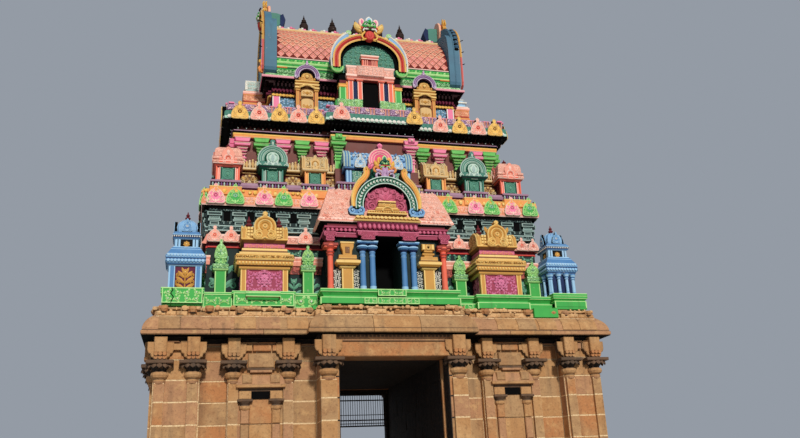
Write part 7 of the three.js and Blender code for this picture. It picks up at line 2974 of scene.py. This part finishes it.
def top_shrine():
    """Shrine about x = 0 at its place on the front; depth as on the tower."""
    work = Carving()
    for s in (-1, 1):
        sided_block(work, s, 0.28, 1.06, -2.115, -1.2, 12.46, 12.80, "mint_carved")
        sided_block(work, s, 0.27, 0.53, -2.14, -1.2, 12.46, 12.815, "mint_carved", 0.01)
        sided_block(work, s, 1.05, 1.10, -2.06, -1.2, 12.46, 12.78, "green")
        for x, y, z, wide in ((0.40, -2.142, 12.63, 0.24), (0.80, -2.117, 12.62, 0.48)):
            work.stamp(vine(wide, 0.30, "mint", "mint", 0.11), spot(s * x, y, z))
        sided_block(work, s, 0.28, 0.96, -2.04, -1.2, 12.78, 13.48, "maroon")
        sided_block(work, s, 0.42, 0.545, -2.07, -1.5, 12.8, 13.44, "navy")
        edged_shaft(work, s * 0.875, 0.10, -2.09, -1.9, 12.79, 13.22, "green", "mint", 0.03)
        mould(work, rect(*sorted((s * 0.98, s * 0.77)), -2.10, -1.9), [
            (13.21, 0.0, "yellow"), (13.23, 0.02, "yellow"), (13.25, 0.02, "orange"),
            (13.29, 0.01, "yellow"), (13.32, 0.03, "yellow"), (13.335, 0.0, "yellow"),
        ])
        # painted shadow above the green pilaster heads, under the eave
        sided_block(work, s, 0.97, 0.76, -2.0, -1.2, 13.335, 13.70, "void")
        sided_block(work, s, 0.765, 0.705, -2.08, -1.9, 12.79, 13.42, "orange")
        for x in (0.625, 0.34):
            edged_shaft(work, s * x, 0.072, -2.12, -1.95, 12.80, 13.43, "coral", "blush", 0.022)
            sided_block(work, s, x - 0.095, x + 0.095, -2.14, -1.9, 13.425, 13.455, "brick", 0.008)
            sided_block(work, s, x - 0.105, x + 0.105, -2.15, -1.9, 13.45, 13.495, "coral", 0.01)
    # the doorway is painted shadow
    block(work, -0.28, 0.28, -1.98, -1.5, 12.46, 13.50, "void")
    mould(work, rect(-0.74, 0.74, -2.12, -1.2), [
        (13.49, -0.03, "brick"), (13.50, 0.0, "salmon"), (13.53, 0.015, "blush"), (13.545, 0.0, "brick"),
        (13.57, 0.0, "salmon"), (13.60, 0.03, "blush"), (13.66, 0.035, "rust"),
        (13.68, 0.0, "blush_carved"), (13.87, 0.0, "blush"), (13.91, 0.03, "blush"),
        (13.955, 0.035, "blush"), (13.98, 0.0, "salmon"),
    ])
    block(work, -0.43, 0.43, -2.20, -1.9, 13.61, 13.95, "blush_carved", 0.012)
    for z in (13.625, 13.93):
        rope(work, [(-0.43, -2.20, z), (0.43, -2.20, z)], 0.016, "blush", 4)
    work.stamp(vine(0.80, 0.24, "blush", "blush", 0.13), spot(0, -2.20, 13.78))
    for s in (-1, 1):
        work.stamp(vine(0.28, 0.18, "blush", "blush", 0.10), spot(s * 0.60, -2.12, 13.775))
        for x in (0.06, 0.12, 0.18):
            sided_block(work, s, x, x + 0.03, -2.10, -1.9, 14.03, 14.23, "salmon", 0.006)
        sided_block(work, s, 0.25, 0.215, -2.10, -1.9, 14.03, 14.23, "coral", 0.006)
    block(work, -0.24, 0.24, -2.07, -1.9, 13.94, 14.24, "brick")
    block(work, -0.26, 0.26, -2.11, -1.9, 13.94, 14.035, "salmon", 0.008)
    mould(work, rect(-0.25, 0.25, -2.10, -1.9), [
        (14.22, 0.0, "brick"), (14.235, 0.03, "blush"), (14.265, 0.035, "salmon"),
        (14.28, 0.015, "brick"), (14.30, 0.015, "salmon"), (14.33, 0.04, "blush"),
        (14.375, 0.045, "salmon"), (14.39, 0.0, "salmon"),
    ])
    cz = 14.20
    body = [(1.05, 13.80)] + oval(1.05, 0.88, cz, 0, 180, 30) + [(-1.05, 13.80)]
    plate(work, body, -1.93, -1.05, "teal", "void")
    work.stamp(vine(1.6, 0.86, "leaf", "jade", 0.16), spot(0, -1.935, 14.40))

    def legs(rx, rz):
        return [(rx, 13.90)] + oval(rx, rz, cz, 0, 180) + [(-rx, 13.90)]

    edges = ((1.17, 0.96), (1.12, 0.903), (0.985, 0.782), (0.93, 0.726), (0.83, 0.655))
    # the innermost band of the horseshoe and the sides of its bands are painted shadow
    bands = (("yellow", -2.12), ("rust", -2.10), ("yellow", -2.12), ("void", -2.0))
    for outer, inner, (coat, y) in zip(edges, edges[1:], bands):
        arch_band(work, legs(*outer), legs(*inner), y, -1.9, coat, "void")
    for rx, rz, width, coat in (
        (1.145, 0.93, 0.02, "straw"), (1.055, 0.842, 0.03, "red"), (0.957, 0.754, 0.02, "straw"),
    ):
        rope(work, [(x, -2.115, z) for x, z in legs(rx, rz)], width, coat, 4)
    for s in (-1, 1):
        start, end = (0, 57) if s > 0 else (180, 123)
        outer, inner = oval(1.225, 1.128, cz, start, end, 18), oval(1.17, 0.96, cz, start, end, 18)
        if s < 0:
            outer, inner = outer[::-1], inner[::-1]
        arch_band(work, outer, inner, -2.10, -1.7, "powder", "blue")
        edge = [(x * 0.995, -2.10, z) for x, z in (outer if s > 0 else outer[::-1])]
        rope(work, [(s * 1.20, -2.10, 13.90)] + edge, 0.026, "white", 5)
        tip = outer[-1] if s > 0 else outer[0]
        x, z = tip[0] - s * 0.03, tip[1] - 0.01
        rope(work, curl(x, z, 0.075, 0 if s > 0 else 180, s * 1.2, 10, -2.10), 0.035, "mint", 5, 0.02)
        bead(work, x, -2.10, z, 0.05, "jade", (1, 0.8, 1), 6)
        hook = ((0.85, 13.94), (0.88, 13.82), (0.97, 13.75), (1.08, 13.75), (1.17, 13.82), (1.20, 13.92))
        line = bent([(s * x, z) for x, z in hook], 3)
        rope(work, [(x, -2.06, z) for x, z in line], 0.045, "green", 6)
        rope(work, [(x, -2.105, z - 0.01) for x, z in line], 0.026, "mint", 4)
        sided_block(work, s, 0.87, 1.17, -2.06, -1.98, 13.77, 13.93, "grass", 0.02)
    work.stamp(MASK, spot(0.0, -2.14, 15.40, size=(0.96, 0.85, 0.96)))
    block(work, -0.20, 0.20, -2.05, -1.2, 15.0, 15.35, "jade")
    return work


for node, turn in FACES:
    top_shrine().at(turn=turn).piece("great_horseshoe_" + node, "coral_stucco", "top_shrine_" + node)


# %% Shrines at the ends of the neck
def end_shrine(white):
    """Coral shrine on the end wall, wall face y = 0; one has a white box."""
    work = Carving()
    mould(work, rect(-0.49, 0.49, -0.82, 0.0), [
        (12.46, 0.0, "coral"), (12.50, 0.0, "coral"), (12.52, -0.03, "coral_carved"),
        (12.80, -0.03, "brick"), (12.83, 0.0, "coral"), (12.87, 0.0, "brick"),
        (12.89, -0.04, "coral_carved"), (13.16, -0.04, "brick"), (13.20, 0.0, "orange"),
        (13.26, 0.01, "orange"), (13.29, 0.0, "maroon"), (13.32, -0.02, "coral"),
        (13.35, 0.0, "apricot_carved"), (13.54, 0.0, "orange"), (13.57, 0.015, "salmon"),
        (13.62, 0.02, "blush"), (13.66, 0.02, "salmon"), (13.69, 0.0, "salmon"),
    ])
    if white:
        mould(work, rect(-0.45, 0.45, -0.76, -0.33), [
            (13.685, 0.0, "white"), (13.72, 0.0, "silver"), (13.76, 0.0, "silver"), (14.03, 0.0, "white"),
            (14.06, 0.01, "white"), (14.08, 0.0, "white"),
        ])
        for turn, x, y, wide in (
            (0, 0, -0.762, 0.86), (90, 0.452, -0.545, 0.36), (270, -0.452, -0.545, 0.36),
        ):
            draft = vine(wide, 0.27, "white", "white", 0.12)
            for edge in (-wide / 2, wide / 2):
                block(draft, edge - 0.02, edge + 0.02, -0.012, 0.03, -0.14, 0.13, "white")
            work.stamp(draft, spot(x, y, 13.90, turn=turn))
    else:
        mould(work, rect(-0.42, 0.42, -0.78, -0.33), [
            (13.685, 0.0, "white"), (13.70, 0.03, "white"), (13.74, 0.03, "sky"), (13.76, -0.04, "sky"),
            (13.86, -0.04, "white"), (13.88, 0.01, "white"), (13.93, 0.01, "sky"), (13.94, -0.06, "sky"),
            (14.00, -0.08, "white"), (14.02, -0.05, "white"), (14.06, -0.08, "sky"),
            (14.08, -0.14, "sky"),
        ])
    work.stamp(kudu(0.5, 0.46, "salmon", "blush", "coral", 0.06), spot(0, -0.80, 12.90))
    for s, turn in ((1, 90), (-1, 270)):
        work.stamp(
            kudu(0.34, 0.36, "salmon", "blush", "coral", 0.05), spot(s * 0.45, -0.42, 12.91, turn=turn)
        )
    return work


for node, turn, white in (("left", 270, True), ("right", 90, False)):
    shrine = end_shrine(white).at(-2.95 if turn == 270 else 2.95, 0, turn=turn)
    shrine.piece("end_shrine_" + node, "coral_stucco", "side_shrine_" + node)

# %% [markdown]
# ## The gables
#
# Each end of the barrel roof is closed by a huge horseshoe in blue-green, as thick as an arm
# is long. Seen from the front only its edge shows, with a painted rim outside and a mask on top in
# profile. Its outer face, which the photograph doesn't show, repeats the bands of the front one.

# %% Gable, drawn as if it faced the front
GABLE = [
    (1.33, 13.90), (1.45, 13.98), (1.485, 14.08), (1.50, 14.35), (1.50, 14.70), (1.50, 15.0),
    (1.495, 15.30), (1.46, 15.55), (1.41, 15.78), (1.32, 15.98), (1.20, 16.16), (1.05, 16.31),
    (0.88, 16.45), (0.68, 16.57), (0.46, 16.66), (0.22, 16.72),
]


def gable(side):
    """Horseshoe wall about x = 0; its outer face is y = -3.2, its inner -2.825."""
    work = Carving()
    near = 1 if side == "left" else -1
    line = both(GABLE)
    low = GABLE[:9] + [(1.25, 15.96), (0.9, 16.14), (0.5, 16.24), (0.2, 16.28)]
    plate(work, both(low), -2.98, -2.825, "peacock", "peacock")
    plate(work, line, -3.14, -2.98, "peacock", "peacock")
    for outer, inner, y, coat in (
        (0.0, 0.14, -3.20, "gold"), (0.14, 0.32, -3.17, "brick"), (0.32, 0.40, -3.19, "gold"),
        (0.40, 0.55, -3.16, "sky"),
    ):
        edge = inset(line, outer) if outer else line
        arch_band(work, edge, inset(line, inner), y, -3.14, coat, "peacock")
    plate(work, inset(line, 0.56), -3.155, -3.0, "teal_carved", "teal")
    work.stamp(vine(1.7, 1.7, "jade", "mint", 0.26), spot(0, -3.157, 14.85))
    for s in (-1, 1):
        front = s == near
        for (x0, z0), (x1, z1) in zip(GABLE, GABLE[1:]):
            coat = "rust" if z1 < 15.1 else "gold"
            y = -3.255 if front else -3.19
            rope(work, [(s * x0, y, z0), (s * x1, y, z1)], 0.034, coat, 5)
            coat = "straw" if z1 > 15.1 else "petal"
            rope(work, [(s * x0, y - 0.03, z0), (s * x1, y - 0.03, z1)], 0.018, coat, 4)
        if side == "right" or not front:
            rope(work, [(s * x * 1.004, -3.03, z + 0.004) for x, z in GABLE], 0.02, "peacock", 5)
            for k, (x, z, angle) in enumerate(along(GABLE[5:], 0.20)):
                if 0 < k < 7:
                    fin = Carving()
                    # dark notches between the fins are painted shadow
                    bead(fin, 0.0, 0.02, 0.0, 0.065, "void", (0.7, 1.5, 0.8), 8)
                    bead(fin, 0.0, 0.0, 0.10, 0.085, "lagoon", (0.75, 1.1, 0.85), 10)
                    work.stamp(fin, spot(s * x, -3.14, z, roll=s * (90 - angle), mirror=s < 0))
        if side == "left":
            for x, z, r in ((1.47, 13.96, 0.10), (1.53, 14.12, 0.07)):
                coil(work, s, x - 0.10, z, r * 0.8, -1.2, 10, -3.31, 0.034, "orange", 5, 0.02)
            tail = (
                (1.38, -3.28, 13.905), (1.42, -3.34, 13.92), (1.44, -3.37, 14.0), (1.42, -3.33, 14.07),
                (1.44, -3.29, 14.14),
            )
            rope(work, [(s * x, y, z) for x, y, z in tail], 0.045, "orange", 6, 0.03)
            bead(work, s * 1.42, -3.33, 14.26, 0.05, "yellow", (1, 1, 1.2), 6)
        if front:
            for z in (14.72, 15.18, 15.62):
                leaf(work, spot(s * 1.50, -3.27, z, lean=-62), 0.13, 0.08, "clove", 0.3)
    plate(
        work,
        both([(0, 16.30), (0.36, 16.30), (0.42, 16.62), (0.38, 16.92), (0.24, 17.10), (0.0, 17.20)]),
        -3.03, -2.94, "orange", "tile", 0.02
    )
    for s in (-1, 1):
        for z, roll, coat, long in (
            (16.60, 95, "green", 0.16), (16.74, 75, "yellow", 0.18), (16.88, 48, "yellow", 0.2),
            (16.98, 22, "yellow", 0.2),
        ):
            for y in (-3.06, -3.14):
                leaf(work, spot(s * 0.34, y, z, roll=s * roll), long, 0.15, coat, 0.5, 0.2)
        bead(work, s * 0.30, -3.12, 16.44, 0.07, "blush", (1, 1.2, 1), 6)
        bead(work, s * 0.28, -3.10, 16.32, 0.06, "red", (1, 1.2, 1), 6)
    work.stamp(MASK, spot(0.0, -3.14, 16.80, size=(0.86, 1.0, 0.90)))
    rope(work, [(0, -3.22, 16.98), (0, -3.27, 17.06), (0, -3.24, 17.14)], 0.05, "clove", 6, 0.03)
    neck = [
        (-2.52, 16.62), (-2.58, 16.86), (-2.72, 16.90), (-2.96, 16.90), (-2.96, 16.40), (-2.80, 16.36),
        (-2.64, 16.42),
    ]
    beam(work, -0.16, 0.16, neck, "teal")
    crest = [(-2.42, 16.66), (-2.50, 16.88), (-2.60, 16.82), (-2.60, 16.42), (-2.52, 16.36)]
    beam(work, -0.18, 0.18, crest, "navy")
    return work


for node, turn in (("left", 270), ("right", 90)):
    gable(node).at(turn=turn).piece("horseshoe_gable_" + node, "gable_stucco", "gable_" + node)

# %% [markdown]
# ## Closing
#
# The last line prints how many pieces there are and how many triangles they have.

print("pieces:", len(BLUEPRINTS), "triangles:", sum(count for _, count in BLUEPRINTS))
